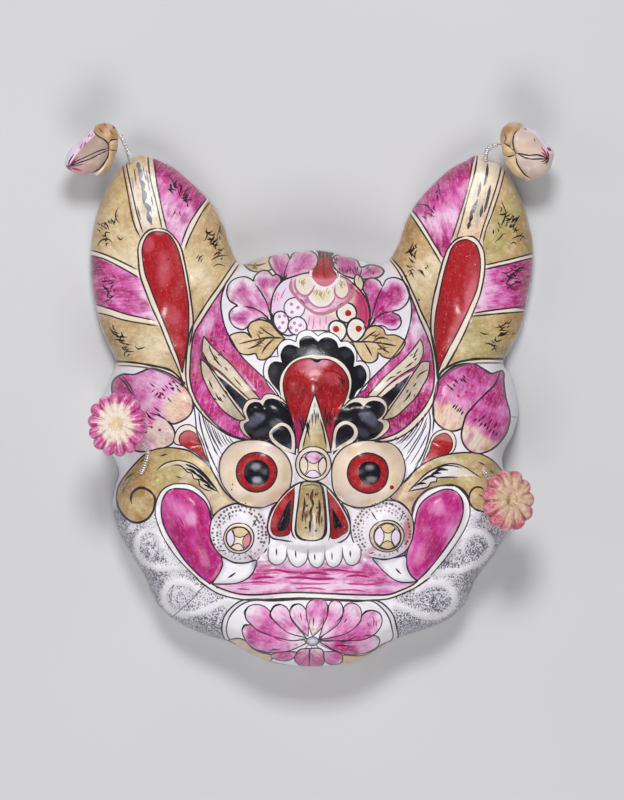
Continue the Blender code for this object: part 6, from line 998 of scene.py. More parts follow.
class Shape:
    """A painted area: its edge, smoothed, in millimetres."""

    def __init__(self, row):
        self.name, self.manner, self.colours, self.guide, self.border, points = row
        q = sheet(points)
        closed = np.roll(q, -1, axis=0)
        length = np.hypot(*(closed - q).T).sum()
        self.edge = catmull_rom(q, min(CELL, length / 14))
        self.lo, self.hi = self.edge.min(0), self.edge.max(0)
        self.feel = feel_of(self.colours)
        if self.manner == "along":
            a, b = sheet(self.guide)
            self.way = (b - a) / np.hypot(*(b - a))
        else:
            spread = self.edge - self.edge.mean(0)
            self.way = np.linalg.svd(spread, full_matrices=False)[2][0]
        self.base = sheet(points[:2])[0] if self.name.startswith("petal") else None

    def lay(self, p):
        """How far along and across the brush's way each point lies, in millimetres."""
        if self.base is None:
            side = np.array([-self.way[1], self.way[0]])
            if self.name == "mouth":
                return p @ side, p @ self.way
            return p @ self.way, p @ side
        middle = self.edge.mean(0) - self.base
        way = middle / np.hypot(*middle)
        r = p - self.base
        turn = np.arctan2(r @ np.array([-way[1], way[0]]), r @ way)
        return np.hypot(*r.T), turn * 11.0

    def holds(self, p, margin=0.0):
        near = np.all((p > self.lo - margin) & (p < self.hi + margin), axis=1)
        out = np.zeros(len(p), bool)
        if near.any():
            out[near] = inside(p[near], self.edge)
        return out

    def colour(self, p):
        """Colours at points of the area, as steps of the palette."""
        steps = np.array([PALETTE[c] for c in self.colours], float)
        if self.manner == "flat":
            t = np.zeros(len(p))
        elif self.manner == "along":
            a, b = sheet(self.guide)
            d = b - a
            t = ((p - a) @ d) / (d @ d) + 0.10 * cloud(p[:, 0], p[:, 1], 7.0, 31)
        else:
            t = edge_distance(p, self.edge) / self.guide + 0.12 * cloud(p[:, 0], p[:, 1], 5.0, 32)
        t = np.clip(t, 0, 1) * (len(steps) - 1)
        i = np.minimum(t.astype(int), max(len(steps) - 2, 0))
        f = (t - i)[:, None]
        j = np.minimum(i + 1, len(steps) - 1)
        return steps[i] * (1 - f) + steps[j] * f


class Stroke:
    """A brush line or a painted border, as a ribbon of varying width."""

    def __init__(self, points, width, colour, closed=False, seed=0, quick=False):
        self.colour, self.closed = colour, closed
        self.line = points if closed else catmull_rom(sheet(points), min(CELL, 0.9), closed=False)
        n = len(self.line)
        ends = np.roll(self.line, -1, axis=0) - np.roll(self.line, 1, axis=0)
        if not closed:
            ends[0], ends[-1] = self.line[1] - self.line[0], self.line[-1] - self.line[-2]
        size = np.maximum(np.hypot(*ends.T), 1e-9)
        self.side = np.stack([-ends[:, 1], ends[:, 0]], 1) / size[:, None]
        gaps = np.hypot(*np.diff(self.line, axis=0).T)
        along = np.concatenate([[0], np.cumsum(gaps)])
        half = width * 0.225 * (1 + 0.20 * lattice_noise(along / 4.5, np.zeros(n) + seed * 3.7, 5))
        if not closed:
            taper = np.minimum(along, along[-1] - along)
            reach = min(3.0, along[-1] * 0.45)
            half = half * (0.35 + 0.65 * smooth(0, reach, taper))
            if quick:
                half = half * (1.45 - 1.10 * (along / along[-1]) ** 1.1)
        self.half = half
        self.left, self.right = self.line + self.side * half[:, None], self.line - self.side * half[:, None]
        self.lo, self.hi = self.line.min(0) - width * 0.4, self.line.max(0) + width * 0.4

    def rings(self):
        if self.closed:
            return [(self.left, True), (self.right, True)]
        return [(np.concatenate([self.left, self.right[::-1]]), True)]

    def holds(self, p):
        near = np.all((p > self.lo) & (p < self.hi), axis=1)
        out = np.zeros(len(p), bool)
        if near.any():
            a = self.line
            b = np.roll(a, -1, axis=0) if self.closed else a[1:]
            a = a if self.closed else a[:-1]
            gap, where = segment_distance(p[near], a, b)
            i = np.clip(where.astype(int), 0, len(self.half) - 1)
            j = (i + 1) % len(self.half) if self.closed else np.minimum(i + 1, len(self.half) - 1)
            f = np.clip(where - i, 0, 1)
            out[near] = gap <= (self.half[i] * (1 - f) + self.half[j] * f) * 1.02
        return out


def disc(x, y, radius):
    c = sheet((x, y))[0]
    n = 10 if radius < 2 else 14
    a = 2 * math.pi * np.arange(n) / n
    return c + radius * 0.5 * np.stack([np.cos(a), np.sin(a)], 1) * (1 + 0.05 * np.sin(3 * a + x)[:, None])


def fan_strokes(row, seed):
    """Quick strokes of a brush point: side by side over the foot's breadth, and spreading."""
    group, colour, width, x, y, angle, spread, foot, length, count = row
    rng = np.random.default_rng(seed)
    out = []
    for i in range(count):
        f = (i + 0.5) / count - 0.5
        a = math.radians(angle + f * spread + rng.uniform(-7, 7))
        side = math.radians(angle - 90)
        long = length * rng.uniform(0.55, 1.1) * (1 - 0.5 * abs(f))
        shift = rng.uniform(-0.25, 0.25) * length * (foot > 0)
        x0 = x + math.cos(side) * f * foot + math.cos(a) * shift
        y0 = y - math.sin(side) * f * foot - math.sin(a) * shift
        bend = (0.55 if f > 0 else -0.55) * rng.uniform(0.3, 1.2) * (spread > 20)
        x1, y1 = x0 + math.cos(a + bend) * long * 0.45, y0 - math.sin(a + bend) * long * 0.45
        out.append(((x0, y0, x1, y1, x1 + math.cos(a - bend) * long * 0.55, y1 - math.sin(a - bend) * long * 0.55), width * rng.uniform(0.75, 1.3), colour))
    return out


def painted_layout():
    """Everything that is painted, from the ground up: shapes, strokes and spots in order."""
    layers = []
    shapes = {}
    for k, row in enumerate(FILLS):
        shape = Shape(row)
        shapes[shape.name] = shape
        layers.append(("fill", shape, None))
        if shape.border:
            layers.append(("line", Stroke(shape.edge, shape.border, "ink", True, k), None))
    seed = 0
    for group, colour, width, strokes in LINES:
        for points in strokes:
            seed += 1
            layers.append(("line", Stroke(points, width, colour, False, seed), None))
    for row in FANS:
        seed += 1
        for points, width, colour in fan_strokes(row, seed):
            layers.append(("line", Stroke(points, width, colour, False, seed, True), None))
    for group, colour, radius, middles in SPOTS:
        for x, y in np.reshape(middles, (-1, 2)):
            layers.append(("spot", disc(x, y, radius), colour))
    for group, colour, radius, x, y, ring, start, end, count, clear in DOT_RINGS:
        rng = np.random.default_rng(round(ring * 10))
        for k in range(count):
            a = math.radians(start + (end - start) * (k + rng.uniform(-0.2, 0.2)) / (count - 1))
            cx, cy = x + math.cos(a) * (ring + rng.uniform(-0.8, 0.8)), y - math.sin(a) * (ring + rng.uniform(-0.8, 0.8))
            if not shapes[clear].holds(sheet((cx, cy)))[0]:
                layers.append(("spot", disc(cx, cy, radius * rng.uniform(0.7, 1.15)), colour))
    return layers, shapes


def constraint_lines(layers, loop):
    """The edges of all that shows, as pieces of line, with what a later area hides left out."""
    runs = []
    for k, (kind, item, _) in enumerate(layers):
        if kind == "fill":
            rings = [] if item.border else [(item.edge, True)]
        elif kind == "line":
            rings = item.rings()
        else:
            rings = [(item, True)]
        for ring, _ in rings:
            keep = inside(ring, loop)
            keep[keep] = edge_distance(ring[keep], loop) > 0.5
            for later_kind, later, _ in layers[k + 1:]:
                if later_kind != "fill":
                    continue
                near = keep & np.all((ring > later.lo) & (ring < later.hi), axis=1)
                if near.any():
                    deep = np.zeros(len(ring), bool)
                    deep[near] = inside(ring[near], later.edge)
                    if deep.any():
                        far = edge_distance(ring[deep], later.edge) > 0.7
                        deep[np.flatnonzero(deep)] = far
                    keep &= ~deep
            n = len(ring)
            nxt = np.roll(np.arange(n), -1)
            runs.append((ring, [(i, nxt[i]) for i in range(n) if keep[i] and keep[nxt[i]]], keep))
    return runs


def thinned(points, used, gap):
    """Lattice points that stay clear of the points already used."""
    tree = KDTree(len(used))
    for i, q in enumerate(used):
        tree.insert((q[0], q[1], 0), i)
    tree.balance()
    return np.array([p for p in points if tree.find((p[0], p[1], 0))[2] > gap])


def triangulated(layers, loop, cell, rings):
    points, edges = [tuple(q) for q in loop], [(i, (i + 1) % len(loop)) for i in range(len(loop))]
    for distance in rings:
        ring = inward(loop, distance)
        points += [tuple(q) for q in ring]
    for ring, links, keep in constraint_lines(layers, loop):
        number = {}
        for i in np.flatnonzero(keep):
            number[i] = len(points)
            points.append(tuple(ring[i]))
        edges += [(number[i], number[j]) for i, j in links]
    lattice = hexagonal(cell, loop, rings[-1] + 0.6 * cell)
    lattice = lattice + 0.12 * cell * np.stack([lattice_noise(lattice[:, 0] * 3.1, lattice[:, 1] * 2.7, 71),
                                                lattice_noise(lattice[:, 0] * 2.9, lattice[:, 1] * 3.3, 72)], 1)
    lattice = thinned(lattice, points, cell * 0.42)
    points += [tuple(q) for q in lattice]
    verts, _, faces, *_ = delaunay_2d_cdt([Vector(q) for q in points], edges, [], 0, 0.02, False)
    v = np.array([tuple(q) for q in verts])
    f = np.array([t for t in faces if len(t) == 3])
    a, b, c = v[f[:, 0]], v[f[:, 1]], v[f[:, 2]]
    area = 0.5 * ((b[:, 0] - a[:, 0]) * (c[:, 1] - a[:, 1]) - (c[:, 0] - a[:, 0]) * (b[:, 1] - a[:, 1]))
    middle = (a + b + c) / 3
    keep = (np.abs(area) > 1e-7) & inside(middle, loop)
    f, area = f[keep], area[keep]
    f[area < 0] = f[area < 0][:, ::-1]
    return v, f


def painted(layers, p, corners, face, touches=TOUCHES):
    """Colour of each corner, the area that owns each face, whether each face is a brush line, and how the brush lay at
    each corner.
    """
    n = len(p)
    rgb = np.empty((len(corners), 3))
    q = corners
    ground = np.array(PALETTE["ground"], float)
    rgb[:] = ground
    owner = np.full(n, -1)
    ink = np.zeros(n, bool)
    ink_rgb = np.zeros((n, 3))
    for k, (kind, item, colour) in enumerate(layers):
        if kind == "fill":
            hit = item.holds(p)
            owner[hit] = k
            ink[hit] = False
        elif kind == "line":
            hit = item.holds(p)
            ink[hit] = True
            ink_rgb[hit] = PALETTE[item.colour]
        else:
            lo, hi = item.min(0), item.max(0)
            near = np.flatnonzero(np.all((p > lo) & (p < hi), axis=1))
            hit = near[inside(p[near], item)]
            ink[hit] = True
            ink_rgb[hit] = PALETTE[colour]
    names = {}
    for k, (kind, item, _) in enumerate(layers):
        if kind != "fill":
            continue
        names[item.name] = k
        mine = np.flatnonzero(owner[face] == k)
        if len(mine):
            rgb[mine] = item.colour(q[mine])
    # touches of colour; those named highlight or glare are painted highlights
    for group, colour, strength, x, y, rx, ry, tilt, fill in touches:
        mine = np.flatnonzero(owner[face] == names[fill])
        if not len(mine):
            continue
        c = sheet((x, y))[0]
        w = ellipse_r2(q[mine], c[0], c[1], rx * 0.5, ry * 0.5, -tilt)
        w = strength * (1 - smooth(0.25, 1.5, w + 0.25 * cloud(q[mine][:, 0], q[mine][:, 1], 3.0, 91)))
        rgb[mine] = rgb[mine] * (1 - w[:, None]) + np.array(PALETTE[colour], float) * w[:, None]
    wash = cloud(q[:, 0], q[:, 1], 5.5, 11)
    fine = cloud(q[:, 0], q[:, 1], 1.8, 12, 2)
    # thin and thick places, drawn out along the brush's way; brush holds way, side, streaks, flecks
    brush = np.column_stack([q, np.full(len(q), 0.10), np.zeros(len(q))])
    for k, (kind, item, _) in enumerate(layers):
        if kind != "fill":
            continue
        mine = np.flatnonzero(owner[face] == k)
        if not len(mine):
            continue
        (streaks, flecks), thin, thick = item.feel
        strength, broad, fine_strength = BROAD_BRUSH.get(item.name, (1.0, 1.0, 1.0))
        s, t = item.lay(q[mine])
        brush[mine] = np.column_stack([s, t, np.full(len(mine), streaks * fine_strength), np.full(len(mine), flecks)])
        streaks *= strength
        drawn = 0.70 * cloud(s * 0.30, t, 2.6 * broad, 13 + k) + 0.60 * cloud(s, t, 4.6 * broad, 14 + k)
        up = (0.56 * streaks * np.clip(drawn, 0, 1.2))[:, None]
        down = (0.70 * streaks * np.clip(-drawn, 0, 1.2))[:, None]
        c = rgb[mine]
        c = c * (1 - up) + np.array(thin, float) * up
        rgb[mine] = c * (1 - down) + np.array(thick, float) * down
    bare = owner[face] < 0
    rgb[bare] *= (1 - 0.03 * np.clip(wash[bare], 0, 1))[:, None]
    inked = ink[face]
    tone = (0.05 + 0.12 * np.clip(wash[inked], -1, 1) ** 2 + 0.04 * np.clip(fine[inked], -1, 1))[:, None]
    rgb[inked] = ink_rgb[face][inked] * (1 - tone) + 140 * tone
    return np.clip(rgb, 0, 255), owner, ink, brush


def relief(p, shapes):
    z = np.zeros(len(p))
    for name, rise, reach in RELIEF:
        s = shapes[name]
        near = np.flatnonzero(np.all((p > s.lo) & (p < s.hi), axis=1))
        hit = near[inside(p[near], s.edge)]
        if len(hit):
            z[hit] += rise * smooth(0, reach, edge_distance(p[hit], s.edge))
    for _, strength, width, points in CURLS:
        line = catmull_rom(sheet(points), 2.0, closed=False)
        gap = line_distance(p, line)
        z += 0.9 * strength * (1 - smooth(0.1, 0.5 * width * 0.5, gap))
    z += 0.10 * cloud(p[:, 0], p[:, 1], 9.0, 41) + 0.03 * cloud(p[:, 0], p[:, 1], 2.6, 42, 2)
    return z


def stipple(p, d):
    """How densely the beard is dotted, from 0 to 1, with its curls left white."""
    x, y = p[:, 0], p[:, 1]
    left = smooth(-50, -56, y) * smooth(-40.5, -44, x)
    right = smooth(-52, -58, y) * smooth(39.5, 42, x)
    dots = np.maximum(left, right) * (0.80 + 0.25 * smooth(12, 3, d))
    for _, amount, bx, by, rx, ry, tilt in BEARD_SHADES:
        c = sheet((bx, by))[0]
        w = 1 - smooth(0.3, 1.4, ellipse_r2(p, c[0], c[1], rx * 0.5, ry * 0.5, -tilt))
        dots = np.clip(dots * (1 + amount * w), 0, 1.3)
    curl = np.zeros(len(p))
    for _, strength, width, points in CURLS:
        gap = line_distance(p, catmull_rom(sheet(points), 1.5, closed=False))
        gap = gap + 0.35 * cloud(x, y, 2.4, 95)
        curl = np.maximum(curl, strength * (1 - smooth(0.08 * width, 0.20 * width, gap)))
    return np.clip(dots, 0, 1.2) * (1 - 0.94 * curl)


def painted_shell():
    loop = mask_outline(1.2)
    layers, shapes = painted_layout()
    v, f = triangulated(layers, loop, CELL, (0.12, 0.4, 0.9, 1.6, 2.5))
    middle = v[f].mean(1)
    corners = v[f].reshape(-1, 2)
    face = np.repeat(np.arange(len(f)), 3)
    rgb, owner, ink, brush = painted(layers, middle, corners, face)
    d = edge_distance(v, loop)
    outer = outer_height(v, d)
    outer += relief(v, shapes) * smooth(1.0, 4.0, d)
    on_rim = d < 1e-4
    outer[on_rim] = 0
    return loop, v, f, rgb, owner, ink, brush, outer, d


def hollow_sheet(loop):
    """The open back's hollow: the pressed clay inside the rim's mouth, with rows of points down its steep wall."""
    mouth = inward(loop, RIM)
    gap = np.hypot(*(np.roll(mouth, -1, axis=0) - mouth).T)
    mouth = mouth[gap > 0.25]
    cell = 2.4
    # even rows of points down the steep wall, then the wide floor of the hollow
    wall = [inward(mouth, step) for step in (0.4, 0.9, 1.5, 2.4)]
    inner = hexagonal(cell, mouth, 2.4 + cell * 0.5)
    points = [tuple(q) for row in (mouth, *wall, inner) for q in row]
    n = len(mouth)
    verts, _, faces, *_ = delaunay_2d_cdt([Vector(q) for q in points], [(i, (i + 1) % n) for i in range(n)], [], 0, 0.005, False)
    v = np.array([tuple(q) for q in verts])
    f = np.array([t for t in faces if len(t) == 3])
    f = f[inside(v[f].mean(1), mouth)]
    a, b, c = v[f[:, 0]], v[f[:, 1]], v[f[:, 2]]
    turn = (b[:, 0] - a[:, 0]) * (c[:, 1] - a[:, 1]) - (c[:, 0] - a[:, 0]) * (b[:, 1] - a[:, 1])
    f[turn > 0] = f[turn > 0][:, ::-1]
    z = hollow_height(v, loop)
    d = edge_distance(v, mouth)
    z -= (0.35 * np.clip(cloud(v[:, 0], v[:, 1], 8.0, 61), -1, 1) + 0.35) * smooth(1.5, 8, d)
    z[d < 1e-3] = 1.0
    return mouth, v, f, z

# ---------------------------------------------------------------- buds on the ears
BUD_LAYOUT = {
    "left": dict(
        outline=(64.5, 163, 66, 157, 70, 149.5, 77, 143, 84, 136, 90, 130, 95, 125.5, 101, 123, 106, 122.5, 111, 124, 115.5, 127.5, 117.7, 133,
                 117.9, 141, 117, 150, 114, 158, 111, 166, 106, 171.5, 100, 175.3, 95, 174.5, 91, 173, 84, 175.5, 77, 174, 71, 171, 67, 168),
        middle=23.85, half=9.45,
        fills=(
            ("body", "along", ("bud_dun", "bud_dun", "bud_dun", "bud_rose"), (108, 138, 82, 172), 0, (60, 165, 66, 150, 88, 128, 112, 120, 122, 132, 122, 150, 108, 178, 84, 182, 66, 174)),
            ("edge_light", "along", ("lilac", "lilac", "bud"), (72, 144, 88, 158), 0, (64, 164, 64, 164, 62, 150, 76, 138, 92, 124, 96, 133, 84, 146, 74, 158, 69, 165)),
            ("lobe_top", "along", ("ochre", "bud_ochre", "bud_ochre"), (114, 136, 96, 128), 0, (93, 130.5, 93, 130.5, 99, 120, 110, 120, 120, 128, 121, 140, 113, 139, 108.5, 144, 108.5, 144, 104, 139, 98, 136)),
            ("lobe_back", "along", ("bud_ochre", "bud_ochre"), (108, 144, 118, 144), 0, (108.5, 143, 108.5, 143, 112, 139, 117, 138.5, 123, 142, 122, 152, 112, 151, 108.5, 149)),
            ("lobe_low", "along", ("bud_ochre", "bud_ochre", "ochre"), (116, 152, 96, 172), 0, (109, 150, 109, 150, 122, 150, 118, 166, 104, 180, 90, 174.5, 90, 174.5, 98, 170, 104, 162, 108, 156)),
            ("lobe_low_light", "flat", ("white",), None, 0, (107.5, 158, 107.5, 158, 105, 165, 98, 172, 92, 174, 92, 174, 97, 175, 104, 168)),
        ),
        lines=(
            ("ink", 1.8, (93, 131, 98, 136, 104, 139.5, 108.3, 144, 108.5, 149.5)), ("ink", 1.6, (108.3, 144, 111.5, 140, 117, 139.3, 120, 139.5)),
            ("ink", 1.6, (108.5, 149.5, 108, 156, 104.5, 162.5, 99, 169, 92, 172.5)), ("brown", 1.4, (108.5, 150, 114, 150.3, 118, 150.3)),
            ("ink", 1.4, (108, 148.5, 99, 151, 88, 156, 77, 161, 68.5, 165.5)), ("ink", 1.5, (108.5, 150, 98, 155, 90, 159, 80, 162.5, 68.5, 166.5)),
            ("ink", 2.0, (74, 154, 69.5, 161, 68, 167)), ("magenta_deep", 2.0, (78, 157, 72, 163, 69, 167)), ("ink", 1.4, (80, 159, 74, 163, 69, 167)),
            ("ink", 1.8, (66, 165, 68, 168, 71, 170)), ("rose", 2.2, (82, 171, 76, 169, 70, 167.5)), ("ink_soft", 1.3, (86, 164, 76, 165.5, 69, 167)),
            ("magenta", 1.6, (86, 142, 84, 146)), ("magenta", 1.6, (82, 144, 80, 149)), ("magenta", 1.4, (90, 134, 88, 137)), ("pink", 1.6, (93, 134, 91, 137)),
            ("red_deep", 3.0, (113, 125.5, 114.5, 129)), ("rose", 2.4, (104, 123.5, 106, 126)), ("brown", 1.3, (99, 128, 103, 133)), ("brown", 1.3, (110, 130, 113, 135))),
        touches=(("lobe_top", "ochre_deep", 0.75, 102, 129, 6, 6), ("lobe_top", "ochre_deep", 0.85, 114, 135, 4, 6), ("lobe_top", "bud_rose", 0.6, 107, 131, 4, 5),
                 ("body", "bud_rose", 0.7, 80, 172, 12, 4), ("edge_light", "pink", 0.35, 84, 146, 5, 5), ("lobe_back", "leaf", 0.8, 113, 145, 3, 4), ("edge_light", "pink_pale", 0.5, 92, 136, 6, 5), ("body", "bud_dun", 0.8, 96, 158, 8, 6)),
        grooves=((93, 131, 98, 136, 104, 139.5, 108.3, 144, 108.5, 149.5), (108.3, 144, 111.5, 140, 119, 139.3), (108.5, 149.5, 108, 156, 104.5, 162.5, 99, 169, 91, 174),
                 (108, 149, 90, 157, 68, 166)),
        rises=("lobe_top", "lobe_back", "lobe_low")),
    "right": dict(
        outline=(553.8, 153, 552.5, 148.5, 549, 145.5, 545, 141, 541, 135, 536, 130.5, 530, 128, 525, 126.5, 522, 123.5, 517, 122, 511, 122, 505.5, 125,
                 502, 129.5, 500.3, 135, 500.5, 141, 501.5, 147, 502.5, 152, 504.5, 158, 505.5, 163.5, 509, 168.5, 513.5, 173.5, 518, 176.5, 523, 178.5,
                 528, 181, 532, 179.5, 536, 178.8, 542, 177.5, 547, 173.5, 550.5, 168.5, 552.3, 162, 553.8, 157),
        middle=23.85, half=9.45,
        fills=(
            ("body", "along", ("lilac", "bud", "bud", "bud"), (538, 128, 528, 150), 0, (556, 150, 548, 140, 534, 124, 514, 122, 510, 150, 516, 176, 530, 184, 548, 180, 557, 162)),
            ("edge_light", "along", ("white", "lilac", "bud"), (546, 136, 536, 146), 0, (556, 152, 556, 152, 554, 144, 540, 128, 524, 122, 522, 130, 534, 134, 542, 144, 549, 154)),
            ("lobe_low", "along", ("bud_ochre", "leaf", "bud"), (506, 160, 530, 180), 0, (514, 155, 514, 155, 506, 157, 500, 160, 506, 174, 522, 182, 534, 184, 534, 178, 534, 178, 526, 176, 519, 166)),
            ("lobe_top", "along", ("bud", "bud_ochre", "bud_ochre"), (516, 122, 508, 140), 0, (520, 129.5, 520, 129.5, 524, 122, 510, 118, 498, 128, 498, 144, 504, 143, 510, 146.5, 514, 149, 512.5, 140, 515, 133)),
            ("lobe_mid", "along", ("bud_ochre", "leaf"), (506, 156, 508, 146), 0, (504, 143, 504, 143, 498, 144, 498, 154, 505, 156, 511, 155.5, 516, 152.5, 516, 152.5, 510, 147)),
        ),
        lines=(
            ("ink", 1.7, (519, 129.5, 515, 133, 513, 139, 513.3, 146, 515.5, 152.5)), ("ink", 1.7, (503.5, 143, 508, 145.5, 513, 149, 516, 153)),
            ("ink", 1.6, (505, 155.5, 509, 156.7, 514, 155, 516.5, 153)), ("ink", 1.6, (515.5, 155, 517, 163, 521, 170, 526, 175.5, 531, 178)),
            ("ink", 2.0, (516, 153, 523, 154.5, 530, 155.5, 538, 155, 547, 158)), ("ink", 1.8, (518, 154, 524, 157.5, 531, 159.3, 540, 159, 547, 159)),
            ("magenta_deep", 2.0, (541, 147.5, 545, 152, 548, 157)), ("rose", 2.0, (541, 152, 545, 155, 548, 158)), ("ink", 1.8, (547, 151, 548.5, 155, 549, 158)),
            ("ink", 1.5, (541, 162, 545, 160.5, 548, 158.5)), ("ink", 1.5, (543, 164, 546, 162, 548.5, 159)), ("ink", 1.5, (546, 165, 547.5, 162, 549, 159)),
            ("ink", 3.1, (545, 157.5, 549, 158.8)), ("magenta_deep", 4.6, (547.5, 148, 551, 150.5)), ("ink_soft", 1.3, (524, 128, 527, 130)), ("ink_soft", 1.4, (534, 138, 535, 142)),
            ("brown", 1.4, (504, 143, 506, 138, 504, 133)), ("white", 2.0, (511, 147, 513, 148.5))),
        touches=(("lobe_top", "ochre_deep", 0.75, 508, 130, 6, 4), ("lobe_top", "ochre_deep", 0.6, 504, 134, 3, 5), ("lobe_top", "bud_rose", 0.5, 507, 140, 5, 4),
                 ("lobe_top", "olive", 0.6, 511, 143, 2, 3), ("body", "leaf", 0.30, 522, 148, 8, 8), ("body", "bud_rose", 0.5, 536, 176, 10, 4), ("body", "bud_rose", 0.35, 532, 144, 10, 4), ("body", "bud_dun", 0.4, 526, 168, 10, 8),
                 ("lobe_mid", "leaf", 0.8, 507, 151, 4, 3), ("lobe_low", "leaf", 0.7, 512, 162, 4, 6)),
        grooves=((519, 129.5, 515, 133, 513, 139, 513.3, 146, 515.5, 152.5), (503.5, 143, 508, 145.5, 513, 149, 516, 153), (505, 155.5, 509, 156.7, 516.5, 153),
                 (515.5, 155, 517, 163, 521, 170, 526, 175.5, 532, 180), (516, 153, 530, 157, 549, 158.5)),
        rises=("lobe_top", "lobe_mid", "lobe_low")),
}
PALETTE.update(bud=(212, 190, 176), bud_rose=(206, 166, 162), bud_dun=(176, 152, 138), bud_ochre=(206, 174, 134), flower_pale=(238, 208, 190), flower_tan=(214, 182, 152), flower_deep=(200, 150, 122),
               flower_rose=(198, 82, 110), flower_seam=(140, 62, 60))


def pillow_bud(side, spec):
    """A moulded bud: its drawn outline swollen to both sides, with sunk seams and raised calyx lobes."""
    cell = 0.62
    loop = catmull_rom(sheet(spec["outline"]), 0.6)
    area = 0.5 * np.sum(loop[:, 0] * np.roll(loop[:, 1], -1) - np.roll(loop[:, 0], -1) * loop[:, 1])
    if area < 0:
        loop = loop[::-1]
    layers, shapes = [], {}
    for row in spec["fills"]:
        shape = Shape(row)
        shape.edge = catmull_rom(sheet(row[5]), 0.7)
        shape.lo, shape.hi = shape.edge.min(0), shape.edge.max(0)
        shapes[shape.name] = shape
        layers.append(("fill", shape, None))
    for k, (colour, width, points) in enumerate(spec["lines"]):
        layers.append(("line", Stroke(points, width, colour, False, k), None))
    v, f = triangulated(layers, loop, cell, (0.07, 0.22, 0.5, 0.9, 1.5))
    corners = v[f].reshape(-1, 2)
    face = np.repeat(np.arange(len(f)), 3)
    touches = [("", c, s, x, y, rx, ry, 0, n) for n, c, s, x, y, rx, ry in spec["touches"]]
    rgb, owner, ink, brush = painted(layers, v[f].mean(1), corners, face, touches)
    d = edge_distance(v, loop)
    t = np.clip(d / 10.5, 0, 1)
    z = spec["half"] * np.sqrt(np.clip(1 - (1 - t) ** 2.0, 0, 1)) ** 0.92
    for name in spec["rises"]:
        s = shapes[name]
        hit = inside(v, s.edge)
        z[hit] += 0.7 * smooth(0, 2.2, edge_distance(v[hit], s.edge)) * smooth(0, 3, d[hit])
    for points in spec["grooves"]:
        gap = line_distance(v, catmull_rom(sheet(points), 1.0, closed=False))
        z -= 0.75 * np.exp(-(gap / 0.85) ** 2) * smooth(0, 2.5, d)
    z += 0.12 * cloud(v[:, 0], v[:, 1], 5.0, 81) * smooth(0, 2, d)
    z = np.clip(z, 0, spec["half"])
    ring = d < 1e-4
    z[ring] = 0
    n = len(v)
    back = np.where(ring, np.arange(n), 0)
    back[~ring] = n + np.arange((~ring).sum())
    co = np.concatenate([np.column_stack([v, spec["middle"] + z]), np.column_stack([v[~ring], spec["middle"] - z[~ring]])])
    faces = np.concatenate([f, back[f][:, ::-1]])
    rear = rgb.reshape(-1, 3, 3)[:, ::-1].reshape(-1, 3)
    look = np.zeros((len(faces) * 3, 3))
    look[:, 1] = np.repeat(np.concatenate([ink, ink]), 3)
    turned = brush.reshape(-1, 3, 4)[:, ::-1].reshape(-1, 4)
    brush = np.concatenate([brush, turned])
    look[:, 2] = 0.45 * brush[:, 2] * (1 - look[:, 1])
    return co, faces, np.concatenate([rgb, rear]), look, brush[:, [0, 1, 3]]


# ---------------------------------------------------------------- flowers on the cheeks
FLOWER_LAYOUT = {
    # centre, facing, radius, squash, thickness, petals, first petal's angle
    "left": dict(centre=(-96.8, -12.2, 54.0), facing=(-0.12, 0.08, 1.0), radius=16.6, squash=0.93, thick=12.0, petals=14, turn=0.1,
                 heart=("leaf", "ochre_pale"), middle="cream", flesh="flower_pale", rim="magenta", seam="magenta_deep", strong=(110, 350), weak=80, reach=0.52),
    "right": dict(centre=(97.0, -50.2, 51.0), facing=(0.45, 0.10, 1.0), radius=15.8, squash=0.9, thick=12.0, petals=11, turn=0.35,
                  heart=("bud_ochre", "brown_wash"), middle="flower_tan", flesh="flower_deep", rim="flower_rose", seam="flower_seam", strong=(150, 290), weak=35, reach=0.66),
}


def frame_along(direction, side=(0, 0, 1)):
    z = Vector(direction).normalized()
    x = (Vector(side) - z * z.dot(Vector(side))).normalized()
    y = z.cross(x)
    return Matrix((x, y, z)).transposed().to_4x4()


